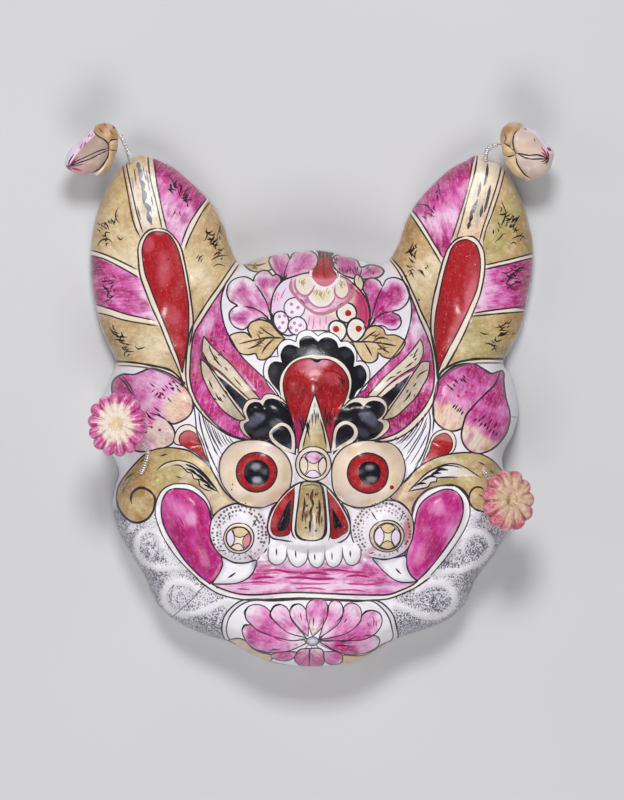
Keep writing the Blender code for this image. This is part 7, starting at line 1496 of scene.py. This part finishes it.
def flower_head(spec, seed):
    """A thick many-petalled head: full rounded petals, deep seams between them, a sunk heart."""
    petals, radius, thick = spec["petals"], spec["radius"], spec["thick"]
    around = petals * 18
    rings = 44
    front = [(k + 0.5) / rings for k in range(rings)]
    back = [1 - (k + 1) / 12 for k in range(11)]
    rows = [(u, True) for u in front] + [(1.0, True)] + [(u, False) for u in back]
    a = 2 * math.pi * np.arange(around) / around
    which = (a - spec["turn"]) * petals / (2 * math.pi)
    petal = np.floor(which).astype(int) % petals
    across = which - np.floor(which)               # 0 to 1 over one petal
    bulge = np.sin(math.pi * across) ** 0.55
    rng = np.random.default_rng(seed)
    reach = 0.955 + 0.045 * rng.random(petals)
    lift = rng.uniform(-0.5, 0.5, petals)
    lo, hi = spec["strong"]
    off = np.abs((np.degrees(a) - (lo + hi) / 2 + 180) % 360 - 180)
    strength = 1 - smooth((hi - lo) / 2, (hi - lo) / 2 + 80, off) * (1 - spec["weak"] / 100)
    strength = np.clip(strength * rng.uniform(0.7, 1.2, petals)[petal], 0, 1)
    co, rgb_rows = [], []
    for u, top in rows:
        r = math.sin(u * math.pi / 2) ** 0.9 if top else u
        edge = 0.86 + 0.14 * bulge
        blend = smooth(0.25, 0.9, np.full(around, r))
        rad = radius * r * (1 - blend + blend * edge * reach[petal])
        if top:
            dome = (1 - u ** 3.2) ** 0.6 if u < 1 else 0.0
            z = thick * 0.55 * dome
            z = z + smooth(0.12, 0.5, np.full(around, r)) * (1.25 * (bulge - 1) + lift[petal]) * (dome ** 0.4 if dome > 0 else 0)
            z = z + 0.9 * math.exp(-((r - 0.36) / 0.13) ** 2) * (0.7 + 0.3 * bulge) - 1.9 * math.exp(-(r / 0.19) ** 2)
            z = z + 0.12 * cloud(rad * np.cos(a), rad * np.sin(a), 2.0, seed + 5, 2) * dome
        else:
            dome = (1 - u ** 2.4) ** 0.5
            z = -thick * 0.45 * dome + 0.6 * (1 - bulge) * (1 - dome) * u
        z = np.clip(z, -thick * 0.45, thick * 0.55)
        co.append(np.column_stack([rad * np.cos(a) * spec["squash"], rad * np.sin(a), z * np.ones(around)]))
        # colours: heart, pale middle, flesh of the petals, painted tips, pale pink painted highlight on the rim's
        # crests, and dark seams
        heart_a, heart_b = (np.array(PALETTE[c], float) for c in spec["heart"])
        noise = cloud(rad * np.cos(a), rad * np.sin(a), 1.6, seed + 9)
        rays = cloud(a * 14.0, np.full(around, r * 2.2), 0.9, seed + 21)
        c = np.where((noise > 0)[:, None], heart_a, heart_b * 0.6 + heart_a * 0.4)
        m = smooth(0.15, 0.27, r + 0.03 * noise)[:, None]
        c = c * (1 - m) + np.array(PALETTE[spec["middle"]], float) * m
        m = np.clip((0.35 + 0.5 * rays) * smooth(0.25, 0.6, np.full(around, r)) + 0.35 * (1 - bulge), 0, 0.9)[:, None]
        c = c * (1 - m) + np.array(PALETTE[spec["flesh"]], float) * m
        start = spec["reach"] + 0.16 * (1 - strength)
        tip = smooth(start, start + 0.20, r + 0.10 * rays + 0.05 * noise) if top else np.ones(around)
        m = np.clip(tip * (0.42 + 0.62 * strength) * (0.80 + 0.35 * rays), 0, 1)[:, None]
        c = c * (1 - m) + np.array(PALETTE[spec["rim"]], float) * m
        # painted highlight: pale pink specks along the rim where the petals bulge most
        m = np.clip(0.55 * smooth(0.88, 0.98, np.full(around, r)) * smooth(0.3, 0.9, noise + 0.4 * (bulge > 0.85)), 0, 0.6)[:, None] if top else 0.0
        c = c * (1 - m) + np.array(PALETTE["pink_pale"], float) * m
        seam = smooth(0.10, 0.02, np.minimum(across, 1 - across)) * smooth(0.34, 0.80, np.full(around, r))
        m = (0.80 * seam * (0.30 + 0.70 * tip))[:, None]
        c = c * (1 - m) + np.array(PALETTE[spec["seam"]], float) * m
        if not top:
            c = c * 0.5 + np.array(PALETTE["rose"], float) * 0.3 + np.array(PALETTE["peach"], float) * 0.2
        rgb_rows.append(np.clip(c, 0, 255))
    n = len(rows)
    verts = np.concatenate(co + [np.array([[0, 0, co[0][:, 2].mean() - 0.2]]), np.array([[0, 0, co[-1][:, 2].mean()]])])
    colours = np.concatenate(rgb_rows + [rgb_rows[0].mean(0)[None], rgb_rows[-1].mean(0)[None]])
    i = np.arange(around)
    j = (i + 1) % around
    faces = []
    for k in range(n - 1):
        faces.append(np.stack([k * around + i, (k + 1) * around + i, (k + 1) * around + j], 1))
        faces.append(np.stack([k * around + i, (k + 1) * around + j, k * around + j], 1))
    faces.append(np.stack([np.full(around, n * around), i, j], 1))
    last = (n - 1) * around
    faces.append(np.stack([np.full(around, n * around + 1), last + j, last + i], 1))
    faces = np.concatenate(faces)
    turn = frame_along(spec["facing"], (1, 0, 0))
    m = np.array(turn.to_3x3())
    verts = verts @ m.T + np.array(spec["centre"])
    look = np.zeros((len(faces) * 3, 3))
    look[:, 2] = 0.55
    way = np.tile(np.column_stack([np.zeros(around), a * radius * 1.4]), (n, 1))
    way[:, 0] = np.repeat([radius * u for u, _ in rows], around)
    way = np.concatenate([way, np.zeros((2, 2))])[faces.reshape(-1)]
    return verts, faces, colours[faces.reshape(-1)], look, np.column_stack([way, np.full(len(way), 0.15)])


# ---------------------------------------------------------------- coil springs
# name, foot, way out of the clay, middle points, ornament it meets
SPRINGS = (
    ("ear_spring_left", (-90.6, 119.0), (-0.15, 0.45, 1.0), ((-92.3, 124.6, 22.0),), ("bud", (-110.0, 125.6, 24.0), (-0.90, -0.43, 0.10), 29.5)),
    ("ear_spring_right", (86.9, 119.9), (0.05, 0.45, 1.0), ((87.8, 125.6, 21.7),), ("bud", (107.4, 124.4, 24.0), (0.95, -0.25, 0.10), 27.5)),
    ("cheek_spring_left", (-85.5, -37.0), (0.1, 0.3, 1.0), ((-83.5, -32.5, 43.0), (-82.0, -25.0, 44.5), (-88.0, -17.0, 44.8), (-95.2, -13.0, 45.0)),
     ("flower", (-96.8, -12.2, 54.0), (-0.12, 0.08, 1.0), 5.2)),
    ("cheek_spring_right", (85.8, -33.8), (0.2, -0.2, 1.0), ((87.0, -37.0, 42.5), (90.0, -44.0, 43.5)), ("flower", (97.0, -50.2, 51.0), (0.45, 0.1, 1.0), 5.2)),
)


def spring_route(route, tail, turn_points, step=0.05):
    """Centreline of a coil spring: straight tails at both ends, a close helix between them."""
    line = catmull_rom(route, step, closed=False)
    s = np.concatenate([[0], np.cumsum(np.linalg.norm(np.diff(line, axis=0), axis=1))])
    total = s[-1]
    turns = max(2, round((total - 2 * tail) / PITCH))
    count = turns * turn_points + 1
    radius = (COIL - WIRE) / 2
    side = np.array([0.3, 0.2, 1.0])
    out = [line[0]]
    for k in range(count):
        at = tail + k / (count - 1) * (total - 2 * tail)
        c = np.array([np.interp(at, s, line[:, i]) for i in range(3)])
        e = np.array([np.interp(min(at + 0.3, total), s, line[:, i]) for i in range(3)])
        b = np.array([np.interp(max(at - 0.3, 0), s, line[:, i]) for i in range(3)])
        t = (e - b) / np.linalg.norm(e - b)
        side = side - t * (side @ t)
        side = side / np.linalg.norm(side)
        a = 2 * math.pi * k / turn_points
        ramp = turn_points * 0.5
        r = radius * min(1, k / ramp, (count - 1 - k) / ramp)
        out.append(c + r * (math.cos(a) * side + math.sin(a) * np.cross(t, side)))
    out.append(line[-1])
    return np.array(out)


# ---------------------------------------------------------------- meshes
def mesh_piece(name, co, faces, rgb, look, brush, uv=None, slots=None, materials=()):
    """A smooth mesh of triangles, with painted corners; co in millimetres on the chart's middle."""
    mesh = bpy.data.meshes.new(name)
    co = (np.asarray(co, float) + np.array([CENTRE[0], CENTRE[1], 0])) * MM
    mesh.vertices.add(len(co))
    mesh.vertices.foreach_set("co", co.ravel())
    mesh.loops.add(len(faces) * 3)
    mesh.loops.foreach_set("vertex_index", faces.ravel().astype(np.int32))
    mesh.polygons.add(len(faces))
    mesh.polygons.foreach_set("loop_start", (np.arange(len(faces)) * 3).astype(np.int32))
    mesh.polygons.foreach_set("use_smooth", np.ones(len(faces), bool))
    if slots is not None:
        mesh.polygons.foreach_set("material_index", slots.astype(np.int32))
    paint = mesh.color_attributes.new("Paint", "FLOAT_COLOR", "CORNER")
    paint.data.foreach_set("color", np.column_stack([linear(rgb), np.ones(len(rgb))]).ravel())
    more = mesh.color_attributes.new("Look", "FLOAT_COLOR", "CORNER")
    more.data.foreach_set("color", np.column_stack([look, np.ones(len(look))]).ravel())
    lay = mesh.color_attributes.new("Brush", "FLOAT_COLOR", "CORNER")
    lay.data.foreach_set("color", np.column_stack([brush, np.ones(len(brush))]).ravel())
    if uv is not None:
        layer = mesh.uv_layers.new(name="OFBake")
        layer.data.foreach_set("uv", uv.ravel())
    for m in materials:
        mesh.materials.append(m)
    mesh.update()
    mesh.validate()
    obj = bpy.data.objects.new(name, mesh)
    bpy.context.scene.collection.objects.link(obj)
    return obj


def clay_body():
    """The painted face, its side walls, the flat back rim and the open hollow, as one mesh whose parts meet edge to
    edge.
    """
    loop, v, f, rgb, owner, ink, brush, outer, d = painted_shell()
    mouth, hv, hf, hz = hollow_sheet(loop)
    back_edge = inward(loop, 0.9)
    n = len(v)
    on_edge = np.flatnonzero(d < 1e-4)
    outer[on_edge] = 0.55
    # the rim, laid flat between the outline's chamfer and the mouth
    points = np.concatenate([v[on_edge], back_edge, mouth])
    a, b, c = len(on_edge), len(on_edge) + len(back_edge), len(points)
    order = np.argsort(segment_distance(v[on_edge], loop, np.roll(loop, -1, axis=0))[1])
    edges = [(int(order[k]), int(order[(k + 1) % a])) for k in range(a)]
    edges += [(b + k, b + (k + 1) % (c - b)) for k in range(c - b)]
    rv, _, rf, *_ = delaunay_2d_cdt([Vector(q) for q in points], edges, [], 0, 0.001, False)
    rv = np.array([tuple(q) for q in rv])
    rf = np.array([t for t in rf if len(t) == 3])
    middle = rv[rf].mean(1)
    rf = rf[inside(middle, loop) & ~inside(middle, mouth)]
    turn = ((rv[rf[:, 1], 0] - rv[rf[:, 0], 0]) * (rv[rf[:, 2], 1] - rv[rf[:, 0], 1])
            - (rv[rf[:, 2], 0] - rv[rf[:, 0], 0]) * (rv[rf[:, 1], 1] - rv[rf[:, 0], 1]))
    rf[turn > 0] = rf[turn > 0][:, ::-1]
    rim_z = np.where(edge_distance(rv, loop) < 1e-4, 0.55, 0.0)
    # the band from the rim up to the hollow's edge
    m = len(mouth)
    on_mouth = np.array([int(np.argmin(np.hypot(*(hv - q).T))) for q in mouth])
    i = np.arange(m)
    j = (i + 1) % m
    band_low = n + len(rv) + len(hv) + i
    band_high = n + len(rv) + on_mouth
    band = np.concatenate([np.stack([band_low[i], band_high[j], band_high[i]], 1), np.stack([band_low[i], band_low[j], band_high[j]], 1)])
    co = np.concatenate([np.column_stack([v, outer]), np.column_stack([rv, rim_z]), np.column_stack([hv, hz]), np.column_stack([mouth, np.zeros(m)])])
    faces = np.concatenate([f, rf + n, hf + n + len(rv), band])
    slots = np.concatenate([np.zeros(len(f)), np.ones(len(faces) - len(f))])
    # paint runs over the side and stops, unevenly, at the rim
    q = co[faces.reshape(-1)]
    front = len(f) * 3
    colours = np.empty((len(faces) * 3, 3))
    colours[:front] = rgb
    face = np.repeat(np.arange(len(f)), 3)
    low = smooth(9.0, 4.0, q[:front, 2] + 1.6 * cloud(q[:front, 0], q[:front, 1], 9.0, 51))
    ground = np.array(PALETTE["ground"], float)
    colours[:front] = colours[:front] * (1 - low[:, None]) + ground * low[:, None]
    clay = np.array((176, 150, 122), float)
    smear = smooth(0.25, 0.8, cloud(q[front:, 0], q[front:, 1], 12.0, 52))
    splash = smooth(3.2, 1.0, edge_distance(q[front:, :2], loop) + 1.4 * cloud(q[front:, 0], q[front:, 1], 6.0, 53)) * (q[front:, 2] < 2)
    mix = np.clip(0.35 * smear * (q[front:, 2] < 3) + splash, 0, 1)[:, None]
    colours[front:] = clay * (1 - mix) + ground * mix
    vertex_stipple = stipple(v, d)
    look = np.zeros((len(colours), 3))
    look[:front, 0] = vertex_stipple[f.reshape(-1)] * (owner[face] < 0) * (1 - ink[face]) * (1 - low)
    look[:front, 1] = ink[face] * (1 - low)
    look[:front, 2] = brush[:, 2] * (1 - ink[face]) * (1 - low)
    lay = np.zeros((len(colours), 3))
    lay[:front] = brush[:, [0, 1, 3]] * np.column_stack([np.ones((front, 2)), (1 - ink[face]) * (1 - low)])
    # own layout for the finish: the face large, the back beside it at half that size
    uv = np.empty((len(colours), 2))
    uv[:front] = (q[:front, :2] - loop.min(0)) / 222.6 * 0.70 + 0.01
    uv[front:] = (q[front:, :2] - loop.min(0)) / 222.6 * 0.26
    uv[front:, 0] = 0.995 - uv[front:, 0]
    uv[front:, 1] += 0.01
    return co, faces, colours, look, lay, uv, slots


# ---------------------------------------------------------------- finishes
def nodes_of(name):
    m = bpy.data.materials.new(name)
    m.use_nodes = True
    tree = m.node_tree
    shader = next(n for n in tree.nodes if n.type == "BSDF_PRINCIPLED")
    return m, tree, shader


def add(tree, kind, **values):
    node = tree.nodes.new(kind)
    for k, value in values.items():
        if k in node.inputs:
            node.inputs[k].default_value = value
        else:
            setattr(node, k, value)
    return node


def noise(tree, coords, scale, detail=3.0, rough=0.55):
    node = add(tree, "ShaderNodeTexNoise", Scale=scale, Detail=detail, Roughness=rough)
    tree.links.new(coords, node.inputs["Vector"])
    return node.outputs["Fac"]


def ramp(tree, value, lo, hi, a=0.0, b=1.0):
    node = add(tree, "ShaderNodeMapRange")
    for k, x in zip(("From Min", "From Max", "To Min", "To Max"), (lo, hi, a, b)):
        node.inputs[k].default_value = x
    tree.links.new(value, node.inputs["Value"])
    return node.outputs["Result"]


def maths(tree, op, a, b):
    node = add(tree, "ShaderNodeMath", operation=op)
    for k, x in enumerate((a, b)):
        if isinstance(x, (int, float)):
            node.inputs[k].default_value = x
        else:
            tree.links.new(x, node.inputs[k])
    return node.outputs[0]


def mixed(tree, factor, a, b, blend="MIX"):
    node = add(tree, "ShaderNodeMix", data_type="RGBA", blend_type=blend)
    for key, x in (("Factor", factor), ("A", a), ("B", b)):
        socket = next(s for s in node.inputs if s.name == key and s.enabled and (s.type == "RGBA" or key == "Factor" and s.type == "VALUE"))
        if isinstance(x, (int, float)):
            socket.default_value = x
        elif isinstance(x, tuple):
            socket.default_value = x
        else:
            tree.links.new(x, socket)
    return next(s for s in node.outputs if s.type == "RGBA" and s.enabled)


def painted_material(name, gloss=0.40, beard=False, coat=0.18):
    """Thin poster paint under a satin varnish, on slightly uneven clay."""
    m, tree, shader = nodes_of(name)
    where = add(tree, "ShaderNodeTexCoord").outputs["Object"]
    paint = add(tree, "ShaderNodeVertexColor", layer_name="Paint").outputs["Color"]
    look = add(tree, "ShaderNodeVertexColor", layer_name="Look").outputs["Color"]
    parts = add(tree, "ShaderNodeSeparateColor")
    tree.links.new(look, parts.inputs[0])
    dots, ink, streaky = parts.outputs[0], parts.outputs[1], parts.outputs[2]
    lay = add(tree, "ShaderNodeSeparateColor")
    tree.links.new(add(tree, "ShaderNodeVertexColor", layer_name="Brush").outputs["Color"], lay.inputs[0])
    way = add(tree, "ShaderNodeCombineXYZ")
    tree.links.new(maths(tree, "MULTIPLY", lay.outputs[0], 0.22), way.inputs[0])
    tree.links.new(lay.outputs[1], way.inputs[1])
    wide = noise(tree, where, 190, 4)
    fine = noise(tree, where, 900, 4, 0.65)
    grain = noise(tree, where, 3200, 2, 0.6)
    streak = noise(tree, way.outputs[0], 0.95, 4, 0.62)
    hair = noise(tree, way.outputs[0], 3.4, 2, 0.6)
    # thin and thick places of the paint, drawn out along the brush's way
    both = maths(tree, "ADD", maths(tree, "MULTIPLY", streak, 0.62), maths(tree, "ADD", maths(tree, "MULTIPLY", hair, 0.14), maths(tree, "MULTIPLY", fine, 0.24)))
    colour = mixed(tree, maths(tree, "MULTIPLY", ramp(tree, both, 0.52, 0.68, 0.0, 0.50), streaky), paint, (0.92, 0.74, 0.84, 1))
    shade = add(tree, "ShaderNodeCombineColor")
    for k in range(3):
        tree.links.new(ramp(tree, both, 0.36, 0.49, 0.55, 1.0), shade.inputs[k])
    colour = mixed(tree, maths(tree, "MULTIPLY", streaky, 0.85), colour, shade.outputs[0], "MULTIPLY")
    # uneven, rubbed places that follow no stroke
    rubbed = noise(tree, where, 430, 5, 0.66)
    worn = maths(tree, "MULTIPLY", maths(tree, "MULTIPLY", streaky, streaky), maths(tree, "MULTIPLY", maths(tree, "SUBTRACT", 1.06, streaky), 3.4))
    colour = mixed(tree, maths(tree, "MULTIPLY", ramp(tree, rubbed, 0.50, 0.68, 0.0, 0.70), worn), colour, (0.93, 0.86, 0.80, 1))
    colour = mixed(tree, maths(tree, "MULTIPLY", ramp(tree, rubbed, 0.34, 0.47, 0.70, 0.0), worn), colour, (0.26, 0.17, 0.08, 1))
    # pale flecks where grit shows through
    grit = add(tree, "ShaderNodeTexVoronoi", Scale=620.0, Randomness=1.0)
    tree.links.new(where, grit.inputs["Vector"])
    fleck = maths(tree, "LESS_THAN", grit.outputs["Distance"], maths(tree, "MULTIPLY", ramp(tree, wide, 0.46, 0.64, 0.02, 0.17), lay.outputs[2]))
    colour = mixed(tree, maths(tree, "MULTIPLY", fleck, 0.7), colour, (0.86, 0.66, 0.62, 1))
    if beard:
        slanted = add(tree, "ShaderNodeMapping", Rotation=(0, 0, 0.6), Scale=(1.0, 0.62, 1.0))
        tree.links.new(where, slanted.inputs["Vector"])
        cells = add(tree, "ShaderNodeTexVoronoi", Scale=1250.0, Randomness=1.0)
        tree.links.new(slanted.outputs[0], cells.inputs["Vector"])
        jitter = add(tree, "ShaderNodeTexVoronoi", Scale=780.0, Randomness=1.0)
        tree.links.new(where, jitter.inputs["Vector"])
        patch = noise(tree, where, 240, 4, 0.6)
        amount = maths(tree, "MULTIPLY", dots, ramp(tree, patch, 0.34, 0.60, 0.74, 1.10))
        spread = maths(tree, "POWER", maths(tree, "MAXIMUM", amount, 0.0001), 0.50)
        small = maths(tree, "LESS_THAN", cells.outputs["Distance"], maths(tree, "MULTIPLY", spread, 0.45))
        large = maths(tree, "LESS_THAN", jitter.outputs["Distance"], maths(tree, "MULTIPLY", spread, 0.37))
        speck = maths(tree, "MAXIMUM", maths(tree, "MULTIPLY", small, 0.74), maths(tree, "MULTIPLY", large, 0.88))
        scribble = noise(tree, slanted.outputs[0], 1900, 3, 0.7)
        colour = mixed(tree, maths(tree, "MULTIPLY", amount, ramp(tree, scribble, 0.42, 0.60, 0.04, 0.62)), colour, (0.16, 0.16, 0.21, 1))
        colour = mixed(tree, speck, colour, (0.055, 0.055, 0.085, 1))
    tree.links.new(colour, shader.inputs["Base Color"])
    rough = maths(tree, "ADD", ramp(tree, fine, 0.3, 0.7, gloss - 0.07, gloss + 0.09), maths(tree, "MULTIPLY", ink, -0.05))
    # black lacquer is smoother than the thin colours
    tone = add(tree, "ShaderNodeSeparateColor")
    tree.links.new(paint, tone.inputs[0])
    dark = ramp(tree, tone.outputs[1], 0.012, 0.05, 0.16, 0.0)
    rough = maths(tree, "SUBTRACT", rough, maths(tree, "MULTIPLY", dark, maths(tree, "SUBTRACT", 1.0, ink)))
    tree.links.new(rough, shader.inputs["Roughness"])
    shader.inputs["Coat Weight"].default_value = coat
    shader.inputs["Coat Roughness"].default_value = 0.14
    shader.inputs["Specular IOR Level"].default_value = 0.24
    height = maths(tree, "ADD", maths(tree, "MULTIPLY", wide, 0.55), maths(tree, "ADD", maths(tree, "MULTIPLY", fine, 0.14), maths(tree, "MULTIPLY", grain, 0.03)))
    height = maths(tree, "ADD", height, maths(tree, "ADD", maths(tree, "MULTIPLY", ink, 0.05), maths(tree, "MULTIPLY", streak, 0.04)))
    bump = add(tree, "ShaderNodeBump", Strength=0.5, Distance=0.0007)
    tree.links.new(height, bump.inputs["Height"])
    tree.links.new(bump.outputs[0], shader.inputs["Normal"])
    return m


def bare_clay():
    """Pressed unfired-looking clay inside the back: dusty, with pores and finger marks."""
    m, tree, shader = nodes_of("bare_clay")
    where = add(tree, "ShaderNodeTexCoord").outputs["Object"]
    paint = add(tree, "ShaderNodeVertexColor", layer_name="Paint").outputs["Color"]
    wide, fine, grain = noise(tree, where, 70, 5, 0.6), noise(tree, where, 420, 5, 0.65), noise(tree, where, 2400, 3, 0.7)
    tone = ramp(tree, maths(tree, "ADD", maths(tree, "MULTIPLY", wide, 0.6), maths(tree, "MULTIPLY", fine, 0.4)), 0.35, 0.65, 0.0, 0.5)
    colour = mixed(tree, tone, paint, (0.24, 0.17, 0.11, 1))
    pores = add(tree, "ShaderNodeTexVoronoi", Scale=520.0)
    tree.links.new(where, pores.inputs["Vector"])
    pit = maths(tree, "LESS_THAN", pores.outputs["Distance"], ramp(tree, fine, 0.52, 0.7, 0.0, 0.28))
    colour = mixed(tree, maths(tree, "MULTIPLY", pit, 0.45), colour, (0.12, 0.08, 0.05, 1))
    tree.links.new(colour, shader.inputs["Base Color"])
    tree.links.new(ramp(tree, fine, 0.3, 0.7, 0.78, 0.95), shader.inputs["Roughness"])
    height = maths(tree, "ADD", maths(tree, "MULTIPLY", wide, 0.9), maths(tree, "ADD", maths(tree, "MULTIPLY", fine, 0.35), maths(tree, "MULTIPLY", grain, 0.12)))
    height = maths(tree, "SUBTRACT", height, maths(tree, "MULTIPLY", pit, 0.12))
    bump = add(tree, "ShaderNodeBump", Strength=0.7, Distance=0.0012)
    tree.links.new(height, bump.inputs["Height"])
    tree.links.new(bump.outputs[0], shader.inputs["Normal"])
    return m


def wire_finish():
    """Old plated spring wire, dulled, with darker specks."""
    m, tree, shader = nodes_of("spring_wire")
    where = add(tree, "ShaderNodeTexCoord").outputs["Object"]
    wide, fine = noise(tree, where, 500, 3), noise(tree, where, 3600, 3, 0.65)
    colour = mixed(tree, ramp(tree, wide, 0.46, 0.70, 0.0, 0.6), (0.86, 0.85, 0.82, 1), (0.42, 0.40, 0.38, 1))
    colour = mixed(tree, ramp(tree, fine, 0.58, 0.70, 0.0, 0.5), colour, (0.20, 0.17, 0.14, 1))
    tree.links.new(colour, shader.inputs["Base Color"])
    shader.inputs["Metallic"].default_value = 0.75
    tree.links.new(ramp(tree, fine, 0.3, 0.7, 0.26, 0.46), shader.inputs["Roughness"])
    bump = add(tree, "ShaderNodeBump", Strength=0.3, Distance=0.0001)
    tree.links.new(fine, bump.inputs["Height"])
    tree.links.new(bump.outputs[0], shader.inputs["Normal"])
    return m


def floor_finish():
    m, tree, shader = nodes_of("studio_floor")
    where = add(tree, "ShaderNodeTexCoord").outputs["Object"]
    wide = noise(tree, where, 3, 2)
    colour = mixed(tree, ramp(tree, wide, 0.3, 0.7, 0.0, 1.0), (0.60, 0.60, 0.61, 1), (0.64, 0.64, 0.65, 1))
    tree.links.new(colour, shader.inputs["Base Color"])
    shader.inputs["Roughness"].default_value = 0.9
    shader.inputs["Specular IOR Level"].default_value = 0.1
    return m


def area_light(name, at, size, power, tint=(1, 1, 1)):
    lamp = bpy.data.lights.new(name, "AREA")
    lamp.shape = "RECTANGLE"
    lamp.size, lamp.size_y = size
    lamp.energy = power
    lamp.color = tint
    obj = bpy.data.objects.new(name, lamp)
    obj.location = at
    obj.rotation_euler = (Vector((0, 0, 0.03)) - Vector(at)).to_track_quat("-Z", "Y").to_euler()
    bpy.context.scene.collection.objects.link(obj)


def build():
    scene = bpy.context.scene
    face = painted_material("painted_clay", 0.40, beard=True)
    co, faces, colours, look, lay, uv, slots = clay_body()
    shell = mesh_piece("mask_face", co, faces, colours, look, lay, uv, slots, (face, bare_clay()))
    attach(shell, "root")
    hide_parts("mask_shell")
    bud_finish = painted_material("bud_clay", 0.34)
    for side in ("left", "right"):
        piece = mesh_piece("bud_" + side, *pillow_bud(side, BUD_LAYOUT[side]), materials=(bud_finish,))
        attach(piece, "root")
        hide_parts("ear_bud_" + side)
    flower_finish = painted_material("flower_clay", 0.36)
    for k, side in enumerate(("left", "right")):
        piece = mesh_piece("flower_" + side, *flower_head(FLOWER_LAYOUT[side], 11 + k), materials=(flower_finish,))
        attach(piece, "root")
        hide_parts("cheek_flower_" + side)
    wire = wire_finish()
    loop = mask_outline(2.5)
    for name, foot, out, middle, (_, centre, way, length) in SPRINGS:
        p = np.array([foot], float)
        foot3 = Vector((*foot, float(outer_height(p, edge_distance(p, loop))[0])))
        out, way = Vector(out).normalized(), Vector(way).normalized()
        reach = length / 2 if length > 10 else length
        end = Vector(centre) - way * reach
        route = [tuple(q) for q in [foot3 - out * 2.2, foot3 + out * 0.6, *[Vector(m) for m in middle], end - way * 0.9, end + way * 2.2]]
        points = spring_route(route, 2.9, 16) + np.array([CENTRE[0], CENTRE[1], 0])
        curve = bpy.data.curves.new(name + "_wire", "CURVE")
        curve.dimensions = "3D"
        curve.bevel_depth = WIRE / 2 * MM
        curve.bevel_resolution = 3
        curve.use_fill_caps = True
        spline = curve.splines.new("POLY")
        spline.points.add(len(points) - 1)
        for s, q in zip(spline.points, points):
            s.co = (*(q * MM), 1)
        spline.use_smooth = True
        curve.materials.append(wire)
        piece = bpy.data.objects.new(name + "_wire", curve)
        scene.collection.objects.link(piece)
        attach(piece, "root")
        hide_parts(name)

    bm = bmesh.new()
    bmesh.ops.create_grid(bm, x_segments=8, y_segments=8, size=3.0)
    mesh = bpy.data.meshes.new("floor")
    bm.to_mesh(mesh)
    floor = bpy.data.objects.new("floor", mesh)
    floor.location = (0, 0, -0.0002)
    mesh.materials.append(floor_finish())
    scene.collection.objects.link(floor)

    scene.world = scene.world or bpy.data.worlds.new("world")
    scene.world.use_nodes = True
    back = next(n for n in scene.world.node_tree.nodes if n.type == "BACKGROUND")
    back.inputs["Color"].default_value = (0.93, 0.94, 1.0, 1)
    back.inputs["Strength"].default_value = 0.27
    area_light("softbox_high", (0.0, 0.92, 1.44), (0.46, 0.36), 16.5)
    area_light("softbox_low", (0.0, -1.10, 1.32), (0.9, 0.7), 11)
    area_light("fill", (-1.3, 0.1, 1.2), (0.8, 0.8), 3)

    lens = bpy.data.cameras.new("camera")
    lens.sensor_width = 36.0
    lens.sensor_fit = "AUTO"
    away = 6.0
    lens.lens = 36.0 * away / 0.400
    lens.clip_end = 50
    camera = bpy.data.objects.new("camera", lens)
    camera.location = (CENTRE[0] * MM, CENTRE[1] * MM, away + 0.030)
    scene.collection.objects.link(camera)
    scene.camera = camera
    scene.view_settings.view_transform = "Standard"


build()
